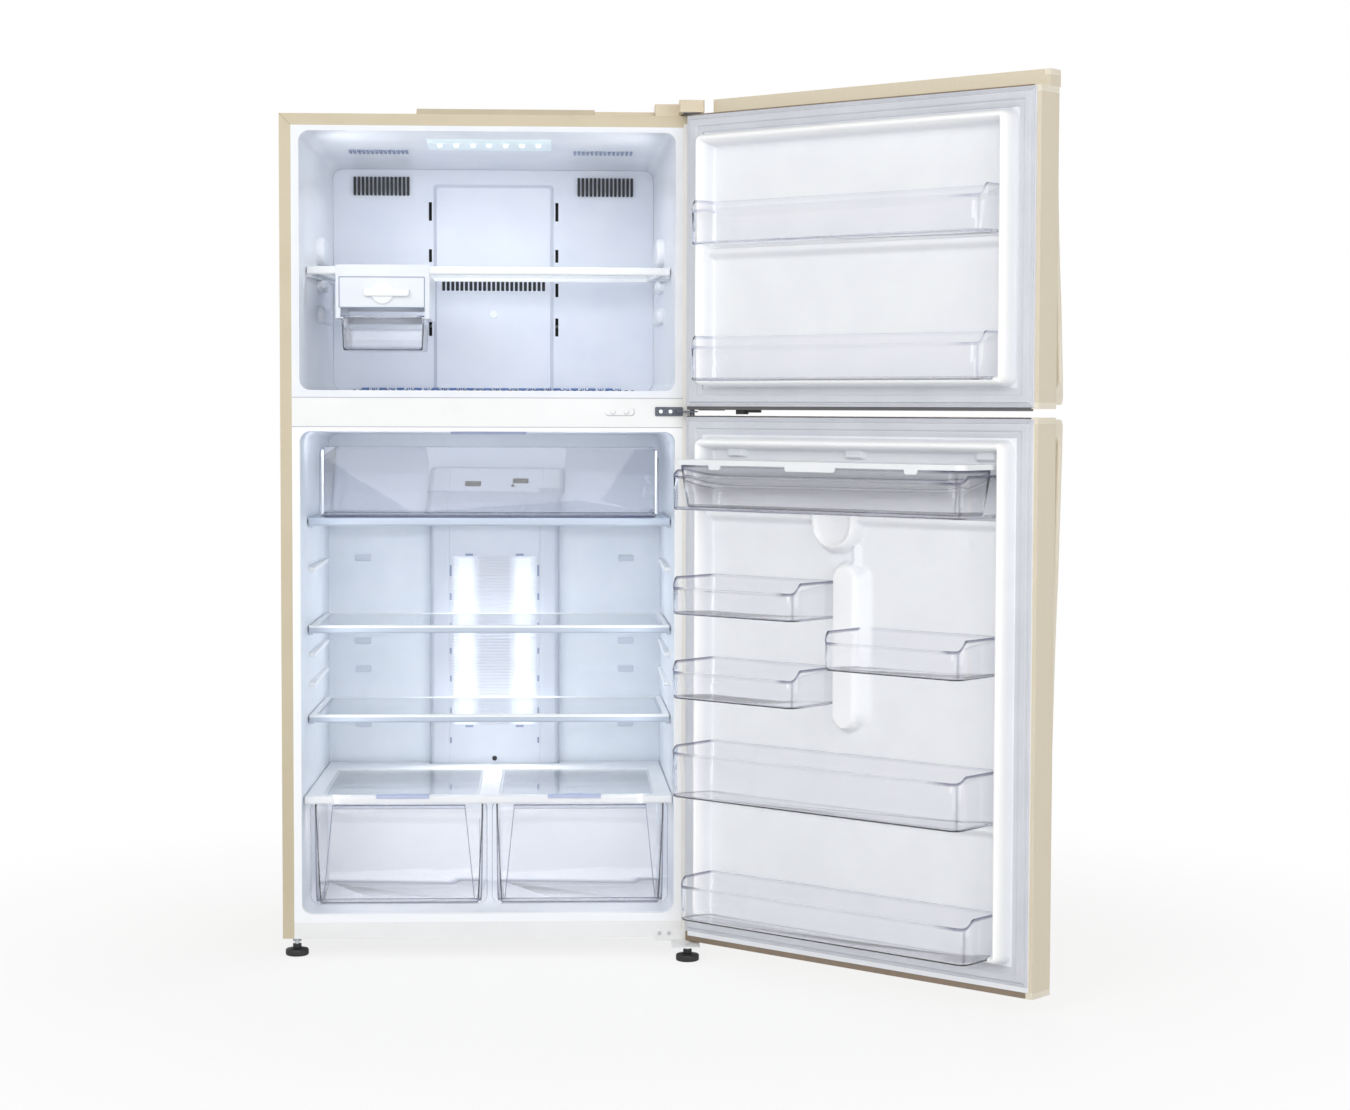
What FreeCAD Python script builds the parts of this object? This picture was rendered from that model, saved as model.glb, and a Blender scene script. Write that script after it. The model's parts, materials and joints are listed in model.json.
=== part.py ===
import FreeCAD, Part
import math
import os
from collections import namedtuple

# Fridge freezer with the freezer compartment on top and both doors standing open.
# Millimetres, x to the right, y into the cabinet, z up. Every piece is drawn in cabinet
# coordinates: x = 0 in the cabinet's middle plane, y = 0 on its front flange, z = 0 on the floor.
# Door pieces are drawn with the door shut and then swung open about the hinge line. At the end
# all pieces move to the point of the floor under the middle of the open appliance.

# Cabinet
CABINET_WIDTH = 860.0
CABINET_DEPTH = 650.0
CABINET_BOTTOM = 38.0
SHEET = 1.0
FRONT_FLANGE = 24.0
LINER_WALL = 2.0
REAR_WALL = 50.0
LINER_CORNER = 22.0
SIDE_WALL = 40.0
FLOOR_WALL = 51.0
FRIDGE_HEIGHT = 1013.0
MULLION = 85.0
FREEZER_HEIGHT = 535.0
TOP_WALL = 35.0
FREEZER_SIDE_DRAFT = 32.0
FREEZER_TOP_DRAFT = 39.0
FRIDGE_SIDE_DRAFT = 8.0
FRIDGE_TOP_DRAFT = 12.0
FRIDGE_LIP = 9.0
FREEZER_LIP = 15.0
BASE_LIP = 17.0
LEDGE_WIDTH = 10.0
LEDGE_HEIGHT = 8.0

# Machine compartment behind the crispers
MACHINE_DEPTH = 205.0
STEP_RISE = 156.0
STEP_SLOPE = 50.0
STEP_FOAM = 45.0
STEP_TOP_FOAM = 40.0
BASE_HEIGHT = 45.0
BASE_SHEET = 2.0

# Fits
SEAT_GAP = 0.3
RUNNING_GAP = 0.05
PANE_GAP = 0.2

# Doors, as shut
DOOR_OPEN_ANGLE = 137.1
HINGE_INSET = 5.2
HINGE_FORWARD = 22.4
SEAL_GAP = 1.0
GASKET_THICK = 9.0
GASKET_WIDTH = 36.0
DOOR_THICK = 65.0
DOOR_GAP = 16.0
DOOR_EDGE_RADIUS = 6.0
DOOR_RETURN = 9.0
CAP_HEIGHT = 12.0
DOOR_TOP_DROP = 2.0
CREST_HEIGHT = 32.0
CREST_BACK = 40.0
CREST_HINGE_GAP = 45.0
CREST_BLOCK = 13.0
CREST_BLOCK_HEIGHT = 11.0
PANEL_RISE = 2.6
DIKE_RISE = 44.6
DIKE_WIDTH = 25.0
DIKE_INSET = 8.0
DIKE_CORNER = 45.0
DIKE_GAP = 3.7

# Hinges and their screws
PIN_RADIUS = 5.0
PIN_REACH = 10.0
HINGE_PLATE = 3.0
TOP_PLATE_WIDTH = 74.0
TOP_PLATE_REAR = 58.0
TOP_ARM_LEFT = 20.0
TOP_ARM_RIGHT = 15.0
TOP_ARM_FRONT = 15.0
MIDDLE_PLATE_WIDTH = 82.0
MIDDLE_PLATE_HEIGHT = 19.2
MIDDLE_ARM_LEFT = 34.0
MIDDLE_ARM_RIGHT = 11.0
MIDDLE_ARM_FRONT = 13.0
LOWER_PLATE_RISE = 16.0
LOWER_ARM_LEFT = 46.0
LOWER_ARM_RIGHT = 12.0
SCREW_HEAD = 4.0
SCREW_EDGE = 12.0
SCREW_PITCH = 20.0

# Door bins
BIN_WALL = 2.5
BIN_CORNER = 26.0
BIN_END_RUN = 55.0
FREEZER_BIN_REACH = 80.6
FRIDGE_BIN_REACH = 135.6
LOW_BIN_REACH = 107.6
FREEZER_BIN_LEVEL = 20.0
FREEZER_BIN_PITCH = 275.0
FREEZER_BIN_FRONT = 78.0
FREEZER_BIN_END = 92.0
RIGHT_BIN_DROP = 212.0
RIGHT_BIN_PITCH = 171.0
LEFT_BIN_DROP = 301.0
HALF_BIN_FRONT = 64.0
HALF_BIN_END = 76.0
WIDE_BIN_DROP = 584.0
WIDE_BIN_FRONT = 92.0
WIDE_BIN_END = 104.0
LOW_BIN_LEVEL = 17.0
LOW_BIN_FRONT = 72.0
LOW_BIN_END = 88.0
RIDGE_X = 2.0
RIDGE_HALF = 32.0
RIDGE_RISE = 28.0
RIDGE_DRAFT = 6.0
RIDGE_GAP = 96.0
RIDGE_LENGTH = 338.0

# Water tank and dispenser in the fridge door
DISPENSER_X = 30.0
ALCOVE_HALF = 75.0
ALCOVE_DROP = 12.0
ALCOVE_HEIGHT = 245.0
ALCOVE_DEPTH = 45.0
ALCOVE_WALL = 2.5
BEZEL = 10.0
BEZEL_THICK = 2.0
LEVER_HALF = 26.0
LEVER_DROP = 95.0
LEVER_THICK = 4.0
LEVER_PIN = 2.5
BULGE_HALF = 60.0
BULGE_DROP = 82.0
BULGE_RISE = 32.0
TANK_BIN_DROP = 155.0
TANK_BIN_FRONT = 69.0
TANK_BIN_END = 81.0
TANK_HEIGHT = 88.0
TANK_SLOPE = 16.0
TANK_END_GAP = 11.0
TANK_OUTLET = 12.0
LID_THICK = 10.0
LID_REACH = 131.0
LID_TAB_DROP = 9.0
LID_TAB_HALF = 15.0
LID_TAB_INSET = 117.0
LID_NOTCH_HALF = 61.0

# Shelves
SHELF_THICK = 12.0
SHELF_SIDE_GAP = 2.5
SHELF_BORDER = 18.0
SHELF_RABBET = 12.0
PANE_THICK = 4.0
PANE_DROP = 1.0
RAIL_DEPTH = 14.0
RAIL_OVERHANG = 4.0
RAIL_DROP = 15.0
RAIL_RISE = 2.0
RAIL_RADIUS = 5.0
SHELF_CLEAR = 5.0
SHELF_REAR_GAP = 59.0
LOWER_SHELF_DROP = 192.0
UPPER_SHELF_DROP = 230.0
CHILLER_SHELF_DROP = 188.0
FREEZER_SHELF = 259.0
FREEZER_SHELF_FRONT = 95.0
FREEZER_SHELF_GAP = 47.0
COVER_TOP = 242.0
COVER_THICK = 8.0
COVER_CLEAR = 2.0
COVER_REAR_GAP = 3.0
COVER_BACK = 127.0
COVER_MIDDLE = 20.0
COVER_SIDE = 38.0
COVER_RAIL = 28.0
SLIDER_INSET = 209.0
SLIDER_LENGTH = 96.0
SLIDER_WIDTH = 11.0
SLIDER_TRAVEL = 15.0
SLIDER_SINK = 2.5

# Drawers
DRAWER_WALL = 2.5
CHILLER_SIDE_GAP = 28.0
CHILLER_HEIGHT = 152.0
CHILLER_BOX_HEIGHT = 130.0
CHILLER_REAR_GAP = 24.0
CHILLER_NOTCH_GAP = 6.0
CHILLER_NOTCH_LEVEL = 46.0
CRISPER_SIDE_GAP = 8.0
CRISPER_MIDDLE_GAP = 5.0
CRISPER_FRONT = 112.0
CRISPER_REAR_GAP = 8.0
CRISPER_TOP_GAP = 3.0
CRISPER_TAPER = 12.0
CRISPER_FACE = 4.0
CRISPER_BOX_INSET = 9.0
CRISPER_LIP = 13.0

# Freezer rear panel
EVAPORATOR_SPACE = 83.0
DUCT_PANEL_THICK = 3.0
DUCT_PANEL_RISE = 8.0
DUCT_MIDDLE_HALF = 136.0
DUCT_MIDDLE_DROP = 67.0
VENT_SIDE_GAP = 73.0
VENT_WIDTH = 129.0
VENT_DROP = 51.0
VENT_HEIGHT = 42.0
VENT_SLOTS = 14
LOW_VENT_HALF = 118.0
LOW_VENT_LOW = 228.0
LOW_VENT_HIGH = 249.0
LOW_VENT_SLOTS = 23
FLOOR_VENT_SIDE_GAP = 67.0
FLOOR_VENT_SLOTS = 44
SIDE_SLOT_WIDTH = 7.0
SIDE_SLOTS = ((386.0, 428.0), (293.0, 322.0), (215.0, 246.0), (126.0, 167.0))
LIGHT_HALF = 131.0
LIGHT_FRONT = 99.0
LIGHT_REAR = 219.0
LIGHT_DROP = 8.0

# Ice maker under the freezer shelf
ICE_SIDE_GAP = 68.0
ICE_WIDTH = 197.0
ICE_CHEEK = 10.0
ICE_REAR = 330.0
ICE_WALL = 3.0
ICE_CHEEK_DROP = 92.0
ICE_FACE_DROP = 70.0
ICE_AXIS_DROP = 38.0
ICE_TRAY_HALF = 31.0
ICE_TRAY_DEPTH = 24.0
ICE_CELLS = 6
KNOB_RADIUS = 22.0
KNOB_SHAFT = 6.0
KNOB_GRIP = 45.0
ICE_BIN_DROP = 73.0
ICE_RUNNER = 6.0

# Fridge rear duct and lamp
DUCT_HALF = 149.0
DUCT_FACE_HALF = 120.0
DUCT_DEPTH = 36.0
DUCT_TOP_GAP = 101.0
DUCT_WALL = 2.5
LED_HALF = 98.0
LED_LOW = 332.0
LED_TOP_GAP = 191.0
LED_COLUMN_X = 52.0
LED_COLUMN_HALF = 15.0
LED_RISE = 3.0
DUCT_VENT_X = 51.0
DUCT_VENT_HALF = 18.0
DUCT_VENT_DROP = 25.0
DUCT_VENT_HEIGHT = 9.0

# Feet and rollers
FOOT_RADIUS = 24.5
FOOT_PAD = 16.0
STUD_RADIUS = 5.0
FOOT_BOSS = 9.0
LEFT_FOOT_INSET = 28.0
LEFT_FOOT_Y = 20.0
RIGHT_FOOT_INSET = 13.5
RIGHT_FOOT_Y = -60.0
ROLLER_RADIUS = 20.0
ROLLER_HALF = 9.0
ROLLER_INSET = 50.0
ROLLER_BACK = 40.0
AXLE_RADIUS = 4.0

# Cabinet top
MULLION_CAP_LEFT = 186.0
MULLION_CAP_RIGHT = 126.0
COVER_LOW_INSET = 208.0
COVER_LOW_WIDTH = 370.0
COVER_LOW_HEIGHT = 14.5
COVER_LOW_FRONT = 20.0
COVER_LOW_DEPTH = 110.0
CHANNEL_HEIGHT = 9.0
CHANNEL_DEPTH = 40.0
HINGE_COVER_WIDTH = 48.0
HINGE_COVER_HEIGHT = 24.0
HINGE_COVER_DEPTH = 70.0
HINGE_COVER_LEFT = 84.0
PIN_COVER_LEFT = 29.8
PIN_COVER_RIGHT = 22.2
PIN_COVER_FRONT = 24.0
PIN_COVER_HEIGHT = 28.0

# Handles
HANDLE_INSET = 6.0
HANDLE_WIDTH = 34.0
HANDLE_THICK_END = 35.0
HANDLE_THIN_END = 8.0
HANDLE_FOOT = 30.0
HANDLE_GRIP = 15.0
FREEZER_HANDLE_LENGTH = 412.0
FRIDGE_HANDLE_LENGTH = 625.0
HANDLE_END_GAP = 8.0

# Machinery
COMPRESSOR_INSET = 250.0
COMPRESSOR_RADIUS = 76.0
COMPRESSOR_HEIGHT = 160.0
CONDENSER_INSET = 40.0
CONDENSER_LENGTH = 200.0
CONDENSER_RUNS = 6
CONDENSER_PITCH = 30.0
TUBE_RADIUS = 4.0
FAN_GAP = 115.0
FAN_RADIUS = 72.0
FAN_HUB = 16.0
FAN_BLADES = 5
FAN_WIDTH = 22.0
FAN_PITCH = 38.0
CONDENSER_MOTOR = 44.0
EVAPORATOR_MOTOR = 22.0
EVAPORATOR_SIDE_GAP = 130.0
EVAPORATOR_LOW = 45.0
EVAPORATOR_RUNS = 5
EVAPORATOR_FINS = 11
EVAPORATOR_FAN_LEVEL = 385.0
EVAPORATOR_FAN_RADIUS = 52.0
DRAIN_PAN_INSET = 140.0
DRAIN_PAN_HEIGHT = 34.0
MACHINE_VENT_SLOTS = 12
CORD_HOLE = 8.0

# Floor point under the middle of the appliance as it stands open
ORIGIN_X = 338.0
ORIGIN_Y = -4.5

# Values worked out from the sizes above
HALF = CABINET_WIDTH / 2
LINER_DEPTH = CABINET_DEPTH - REAR_WALL
FRIDGE_FLOOR = CABINET_BOTTOM + FLOOR_WALL
FRIDGE_CEILING = FRIDGE_FLOOR + FRIDGE_HEIGHT
FREEZER_FLOOR = FRIDGE_CEILING + MULLION
FREEZER_CEILING = FREEZER_FLOOR + FREEZER_HEIGHT
CABINET_TOP = FREEZER_CEILING + TOP_WALL
OPENING_HALF = HALF - SIDE_WALL
FLANGE_INNER = HALF - FRONT_FLANGE
PARTING = FRIDGE_CEILING + MULLION / 2
MULLION_LOW = FRIDGE_CEILING + FRIDGE_LIP
MULLION_HIGH = FREEZER_FLOOR - FREEZER_LIP
BASE_STRIP_TOP = FRIDGE_FLOOR - BASE_LIP
MACHINE_FRONT = CABINET_DEPTH - MACHINE_DEPTH
STEP_FRONT = MACHINE_FRONT - STEP_FOAM
STEP_LEVEL = FRIDGE_FLOOR + STEP_RISE + STEP_SLOPE
MACHINE_TOP = STEP_LEVEL - STEP_TOP_FOAM
BASE_TOP = BASE_HEIGHT + BASE_SHEET
HINGE_X = HALF - HINGE_INSET
HINGE_Y = -HINGE_FORWARD
DOOR_IN = -SEAL_GAP - GASKET_THICK
DOOR_OUT = DOOR_IN - DOOR_THICK
PANEL_Y = DOOR_IN + PANEL_RISE
DIKE_Y = DOOR_IN + DIKE_RISE
FRIDGE_DOOR_LOW = CABINET_BOTTOM - DOOR_TOP_DROP
FRIDGE_DOOR_HIGH = PARTING - DOOR_GAP / 2
FREEZER_DOOR_LOW = PARTING + DOOR_GAP / 2
FREEZER_DOOR_HIGH = CABINET_TOP - DOOR_TOP_DROP
DIKE_HALF = HALF - DOOR_RETURN - GASKET_WIDTH - DIKE_GAP
BIN_HALF = DIKE_HALF - DIKE_WIDTH - SEAT_GAP
BIN_BACK = PANEL_Y + SEAT_GAP
SHELF_FRONT = FRIDGE_BIN_REACH + SHELF_CLEAR
COVER_FRONT = DIKE_Y + RAIL_OVERHANG + COVER_CLEAR
HINGE_LEVEL = PARTING - HINGE_PLATE / 2
LOWER_PLATE_TOP = FRIDGE_DOOR_LOW - HINGE_PLATE
TANK_BIN_LOW = FRIDGE_CEILING - TANK_BIN_DROP
RIDGE_HIGH = TANK_BIN_LOW - RIDGE_GAP
RIDGE_LOW = RIDGE_HIGH - RIDGE_LENGTH
BULGE_LOW = TANK_BIN_LOW - BULGE_DROP
ALCOVE_HIGH = TANK_BIN_LOW - ALCOVE_DROP
ALCOVE_LOW = ALCOVE_HIGH - ALCOVE_HEIGHT
LID_TAB_X = BIN_HALF - LID_TAB_INSET
SHELF_REAR = LINER_DEPTH - DUCT_DEPTH - SHELF_REAR_GAP
CHILLER_SHELF = FRIDGE_HEIGHT - CHILLER_SHELF_DROP
UPPER_SHELF = CHILLER_SHELF - UPPER_SHELF_DROP
LOWER_SHELF = UPPER_SHELF - LOWER_SHELF_DROP
COVER_REAR = LINER_DEPTH - COVER_REAR_GAP
COVER_WINDOW_REAR = COVER_REAR - COVER_BACK
SLIDER_X = OPENING_HALF - SLIDER_INSET
CHILLER_HALF = OPENING_HALF - CHILLER_SIDE_GAP
CHILLER_REAR = LINER_DEPTH - DUCT_DEPTH - CHILLER_REAR_GAP
CHILLER_NOTCH_HALF = DUCT_HALF + CHILLER_NOTCH_GAP
CRISPER_REAR = STEP_FRONT - CRISPER_REAR_GAP
CRISPER_HEIGHT = COVER_TOP - RAIL_DROP - CRISPER_TOP_GAP
DUCT_PANEL_Y = LINER_DEPTH - EVAPORATOR_SPACE
DUCT_MIDDLE_TOP = FREEZER_HEIGHT - DUCT_MIDDLE_DROP
FREEZER_SHELF_REAR = DUCT_PANEL_Y - FREEZER_SHELF_GAP
VENT_OUTER = OPENING_HALF - VENT_SIDE_GAP
VENT_INNER = VENT_OUTER - VENT_WIDTH
VENT_HIGH = FREEZER_HEIGHT - VENT_DROP
VENT_LOW = VENT_HIGH - VENT_HEIGHT
FLOOR_VENT_HALF = OPENING_HALF - FLOOR_VENT_SIDE_GAP
ICE_LEFT = ICE_SIDE_GAP - OPENING_HALF
DUCT_TOP = FRIDGE_HEIGHT - DUCT_TOP_GAP
LED_HIGH = DUCT_TOP - LED_TOP_GAP
DUCT_VENT_LEVEL = DUCT_TOP - DUCT_VENT_DROP
CREST_END = HALF - CREST_HINGE_GAP
ROLLER_Y = CABINET_DEPTH - ROLLER_BACK
COVER_LOW_RIGHT = HALF - COVER_LOW_INSET
COVER_LOW_LEFT = COVER_LOW_RIGHT - COVER_LOW_WIDTH
COMPRESSOR_X = HALF - COMPRESSOR_INSET
CONDENSER_LEFT = CONDENSER_INSET - HALF
CONDENSER_RIGHT = CONDENSER_LEFT + CONDENSER_LENGTH
FAN_X = CONDENSER_RIGHT + FAN_GAP
EVAPORATOR_HALF = OPENING_HALF - EVAPORATOR_SIDE_GAP
DRAIN_PAN_LEFT = HALF - DRAIN_PAN_INSET

Cavity = namedtuple("Cavity", "side_draft floor ceiling top_draft")
FREEZER = Cavity(FREEZER_SIDE_DRAFT, FREEZER_FLOOR, FREEZER_CEILING, FREEZER_TOP_DRAFT)
FRIDGE = Cavity(FRIDGE_SIDE_DRAFT, FRIDGE_FLOOR, FRIDGE_CEILING, FRIDGE_TOP_DRAFT)


# Shape helpers

def vector(x, y, z):
    return FreeCAD.Vector(x, y, z)


def block(x0, x1, y0, y1, z0, z1):
    return Part.makeBox(x1 - x0, y1 - y0, z1 - z0, vector(x0, y0, z0))


def cylinder(start, radius, length, axis):
    return Part.makeCylinder(radius, length, vector(*start), vector(*axis))


def face_of(points):
    return Part.Face(Part.makePolygon(points + points[:1]))


def prism_x(outline, x0, x1):
    """Extrude an outline of (y, z) points from x0 to x1."""
    return face_of([vector(x0, y, z) for y, z in outline]).extrude(vector(x1 - x0, 0, 0))


def prism_y(outline, y0, y1):
    """Extrude an outline of (x, z) points from y0 to y1."""
    return face_of([vector(x, y0, z) for x, z in outline]).extrude(vector(0, y1 - y0, 0))


def prism_z(outline, z0, z1):
    """Extrude an outline of (x, y) points from z0 to z1."""
    return face_of([vector(x, y, z0) for x, y in outline]).extrude(vector(0, 0, z1 - z0))


def fuse(shapes):
    return shapes[0].multiFuse(shapes[1:]).removeSplitter()


def mirrored(shape):
    return shape.mirror(vector(0, 0, 0), vector(1, 0, 0))


def rounded_wire(place, a0, a1, b0, b1, radius):
    """Rectangle with round corners; place turns (a, b) into a point."""
    turn = radius * (1 - math.sqrt(0.5))
    corners = ((a1, b0, -1, 1), (a1, b1, -1, -1), (a0, b1, 1, -1), (a0, b0, 1, 1))
    starts = []
    for i, (a, b, da, db) in enumerate(corners):
        along_a = (a + da * radius, b)
        along_b = (a, b + db * radius)
        middle = (a + da * turn, b + db * turn)
        first, last = (along_a, along_b) if i % 2 == 0 else (along_b, along_a)
        starts.append((first, middle, last))
    edges = []
    for i, (first, middle, last) in enumerate(starts):
        edges.append(Part.Arc(place(*first), place(*middle), place(*last)).toShape())
        edges.append(Part.makeLine(place(*last), place(*starts[(i + 1) % 4][0])))
    return Part.Wire(edges)


def rounded_prism_x(y0, y1, z0, z1, radius, x0, x1):
    wire = rounded_wire(lambda y, z: vector(x0, y, z), y0, y1, z0, z1, radius)
    return Part.Face(wire).extrude(vector(x1 - x0, 0, 0))


def rounded_prism_y(x0, x1, z0, z1, radius, y0, y1):
    wire = rounded_wire(lambda x, z: vector(x, y0, z), x0, x1, z0, z1, radius)
    return Part.Face(wire).extrude(vector(0, y1 - y0, 0))


def rounded_prism_z(x0, x1, y0, y1, radius, z0, z1):
    wire = rounded_wire(lambda x, y: vector(x, y, z0), x0, x1, y0, y1, radius)
    return Part.Face(wire).extrude(vector(0, 0, z1 - z0))


def tapered_prism_z(low, high, radius, z0, z1):
    """Solid between two rounded rectangles (x0, x1, y0, y1), one at z0 and one at z1."""
    wires = []
    for (x0, x1, y0, y1), z in ((low, z0), (high, z1)):
        wires.append(rounded_wire(lambda x, y, z=z: vector(x, y, z), x0, x1, y0, y1, radius))
    return Part.makeLoft(wires, True, True)


def tapered_prism_y(low, high, radii, y0, y1):
    """Solid between two rounded rectangles (x0, x1, z0, z1), one at y0 and one at y1."""
    wires = []
    for (x0, x1, z0, z1), radius, y in ((low, radii[0], y0), (high, radii[1], y1)):
        wires.append(rounded_wire(lambda x, z, y=y: vector(x, y, z), x0, x1, z0, z1, radius))
    return Part.makeLoft(wires, True, True)


def picture_frame(x0, x1, z0, z1, profile):
    """Mitred frame round a rectangle; profile holds (inset from the rectangle, y) points."""
    def corners(inset, y):
        low, high = (x0 + inset, z0 + inset), (x1 - inset, z1 - inset)
        spots = (low, (high[0], low[1]), high, (low[0], high[1]))
        return [vector(x, y, z) for x, z in spots]
    faces = []
    for i, start in enumerate(profile):
        here, there = corners(*start), corners(*profile[(i + 1) % len(profile)])
        for k in range(4):
            m = (k + 1) % 4
            faces.append(face_of([here[k], here[m], there[m], there[k]]))
    solid = Part.Solid(Part.Shell(faces))
    if solid.Volume < 0:
        solid.reverse()
    return solid


def round_frame(x0, x1, z0, z1, radius, rise, fall):
    """Tray with round corners; rise and fall hold its outer and inner side as (inset, y) points."""
    def stack(points):
        solids = []
        for (a, y0), (b, y1) in zip(points, points[1:]):
            solids.append(tapered_prism_y((x0 + a, x1 - a, z0 + a, z1 - a), (x0 + b, x1 - b, z0 + b, z1 - b),
                                          (radius - a, radius - b), y0, y1))
        return fuse(solids)
    return stack(rise).cut(stack(fall))


def revolve_z(outline, x, y):
    """Turn an outline of (radius, z) points about the vertical line through x, y."""
    face = face_of([vector(r, 0, z) for r, z in outline])
    solid = face.revolve(vector(0, 0, 0), vector(0, 0, 1), 360)
    solid.translate(vector(x, y, 0))
    return solid


# Cabinet

def cavity_half(cavity, y):
    return OPENING_HALF - cavity.side_draft * y / LINER_DEPTH


def cavity_ceiling(cavity, y):
    return cavity.ceiling - cavity.top_draft * y / LINER_DEPTH


def cavity_solid(cavity, y0, y1, grow):
    """The drafted inside of a compartment, grown by a wall thickness."""
    ends = []
    for y in (y0, y1):
        half = cavity_half(cavity, y) + grow
        ends.append((-half, half, cavity.floor - grow, cavity_ceiling(cavity, y) + grow))
    radius = LINER_CORNER + grow
    return tapered_prism_y(ends[0], ends[1], (radius, radius), y0, y1)


def ledges(cavity, y0, y1, top):
    """A shelf ledge on each side wall."""
    outer, inner = LINER_WALL / 2, -LEDGE_WIDTH
    outline = [(cavity_half(cavity, y) + side, y)
               for y, side in ((y0, outer), (y1, outer), (y1, inner), (y0, inner))]
    right = prism_z(outline, top - LEDGE_HEIGHT, top)
    return [right, mirrored(right)]


def liner_lip(low, high):
    return block(-FLANGE_INNER, FLANGE_INNER, 0, LINER_WALL, low, high)


def cabinet_shell():
    outer = block(-HALF, HALF, 0, CABINET_DEPTH, CABINET_BOTTOM, CABINET_TOP)
    inner = block(-HALF + SHEET, HALF - SHEET, -SHEET, CABINET_DEPTH + SHEET,
                  CABINET_BOTTOM - SHEET, CABINET_TOP - SHEET)
    front = block(-HALF, HALF, 0, SHEET, CABINET_BOTTOM, CABINET_TOP)
    opening = block(-FLANGE_INNER, FLANGE_INNER, -SHEET, 2 * SHEET,
                    CABINET_BOTTOM - SHEET, CABINET_TOP - FRONT_FLANGE)
    return fuse([outer.cut(inner), front.cut(opening)])


def pan_line(offset):
    """Bent line of the bottom pan in (y, z), moved out of the machine compartment by an offset."""
    bend = offset * math.tan(math.pi / 8)
    rise = MACHINE_TOP - STEP_SLOPE
    return [(LINER_WALL, CABINET_BOTTOM + offset), (MACHINE_FRONT - offset, CABINET_BOTTOM + offset),
            (MACHINE_FRONT - offset, rise + bend), (MACHINE_FRONT + STEP_SLOPE - bend, MACHINE_TOP + offset),
            (CABINET_DEPTH - SHEET, MACHINE_TOP + offset)]


def bottom_pan():
    pan = prism_x(pan_line(0) + pan_line(SHEET)[::-1], -HALF + SHEET, HALF - SHEET)
    x, low = -HALF + LEFT_FOOT_INSET, LOWER_PLATE_TOP - HINGE_PLATE
    boss = cylinder((x, LEFT_FOOT_Y, low), FOOT_BOSS, CABINET_BOTTOM - low, (0, 0, 1))
    bore = cylinder((x, LEFT_FOOT_Y, low), STUD_RADIUS + RUNNING_GAP, CABINET_BOTTOM - low, (0, 0, 1))
    return fuse([pan, boss]).cut(bore)


def rear_panel():
    return block(-HALF + SHEET, HALF - SHEET, CABINET_DEPTH - SHEET, CABINET_DEPTH,
                 MACHINE_TOP + SHEET, CABINET_TOP - SHEET)


def insulation_foam():
    back = CABINET_DEPTH - SHEET
    outline = pan_line(SHEET) + [(back, CABINET_TOP - SHEET), (LINER_WALL, CABINET_TOP - SHEET)]
    foam = prism_x(outline, -HALF + SHEET, HALF - SHEET)
    freezer = cavity_solid(FREEZER, 0, LINER_DEPTH + LINER_WALL, LINER_WALL)
    return foam.cut(freezer).cut(fridge_cavity(0, LINER_WALL))


def freezer_liner():
    lip = liner_lip(MULLION_HIGH, CABINET_TOP - FRONT_FLANGE)
    tub = cavity_solid(FREEZER, 0, LINER_DEPTH + LINER_WALL, LINER_WALL)
    hollow = cavity_solid(FREEZER, -LINER_WALL, LINER_DEPTH, 0)
    shelf_top = FREEZER_FLOOR + FREEZER_SHELF - SHELF_THICK
    supports = ledges(FREEZER, FREEZER_SHELF_FRONT + RAIL_DEPTH, FREEZER_SHELF_REAR, shelf_top)
    return fuse([fuse([tub, lip]).cut(hollow)] + supports)


def fridge_cavity(front, grow):
    """Inside of the fridge with the step over the machine compartment, grown by a wall."""
    tub = cavity_solid(FRIDGE, front, LINER_DEPTH + grow, grow)
    bend = grow * math.tan(math.pi / 8)
    step = STEP_FRONT + grow
    far, low = LINER_DEPTH + CABINET_DEPTH, -CABINET_DEPTH
    wedge = prism_x([(step, low), (step, FRIDGE_FLOOR + STEP_RISE - bend),
                     (STEP_FRONT + STEP_SLOPE + bend, STEP_LEVEL - grow), (far, STEP_LEVEL - grow),
                     (far, low)], -HALF, HALF)
    return tub.cut(wedge)


def fridge_liner():
    lip = liner_lip(BASE_STRIP_TOP, MULLION_LOW)
    tub = fuse([fridge_cavity(0, LINER_WALL), lip]).cut(fridge_cavity(-LINER_WALL, 0))
    supports = []
    for level in (LOWER_SHELF, UPPER_SHELF, CHILLER_SHELF):
        supports += ledges(FRIDGE, SHELF_FRONT + RAIL_DEPTH, SHELF_REAR,
                           FRIDGE_FLOOR + level - SHELF_THICK)
    supports += ledges(FRIDGE, CRISPER_FRONT + 2 * CRISPER_BOX_INSET, COVER_REAR,
                       FRIDGE_FLOOR + COVER_TOP - COVER_THICK)
    return fuse([tub] + supports)


def front_strips():
    mullion = block(-FLANGE_INNER, FLANGE_INNER, 0, LINER_WALL, MULLION_LOW, MULLION_HIGH)
    base = block(-FLANGE_INNER, FLANGE_INNER, 0, LINER_WALL, CABINET_BOTTOM, BASE_STRIP_TOP)
    low, high = PARTING - DOOR_GAP / 2, PARTING + DOOR_GAP / 2
    left, right = HALF - MULLION_CAP_LEFT, HALF - MULLION_CAP_RIGHT
    cap = rounded_prism_y(left, right, low, high, DOOR_GAP / 2 - SHEET, -LINER_WALL, 0)
    bosses = [cylinder((x, -LINER_WALL, PARTING), PIN_RADIUS, LINER_WALL, (0, -1, 0))
              for x in (left + DOOR_GAP, right - DOOR_GAP)]
    return Part.makeCompound([mullion, base, fuse([cap] + bosses)])


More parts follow.
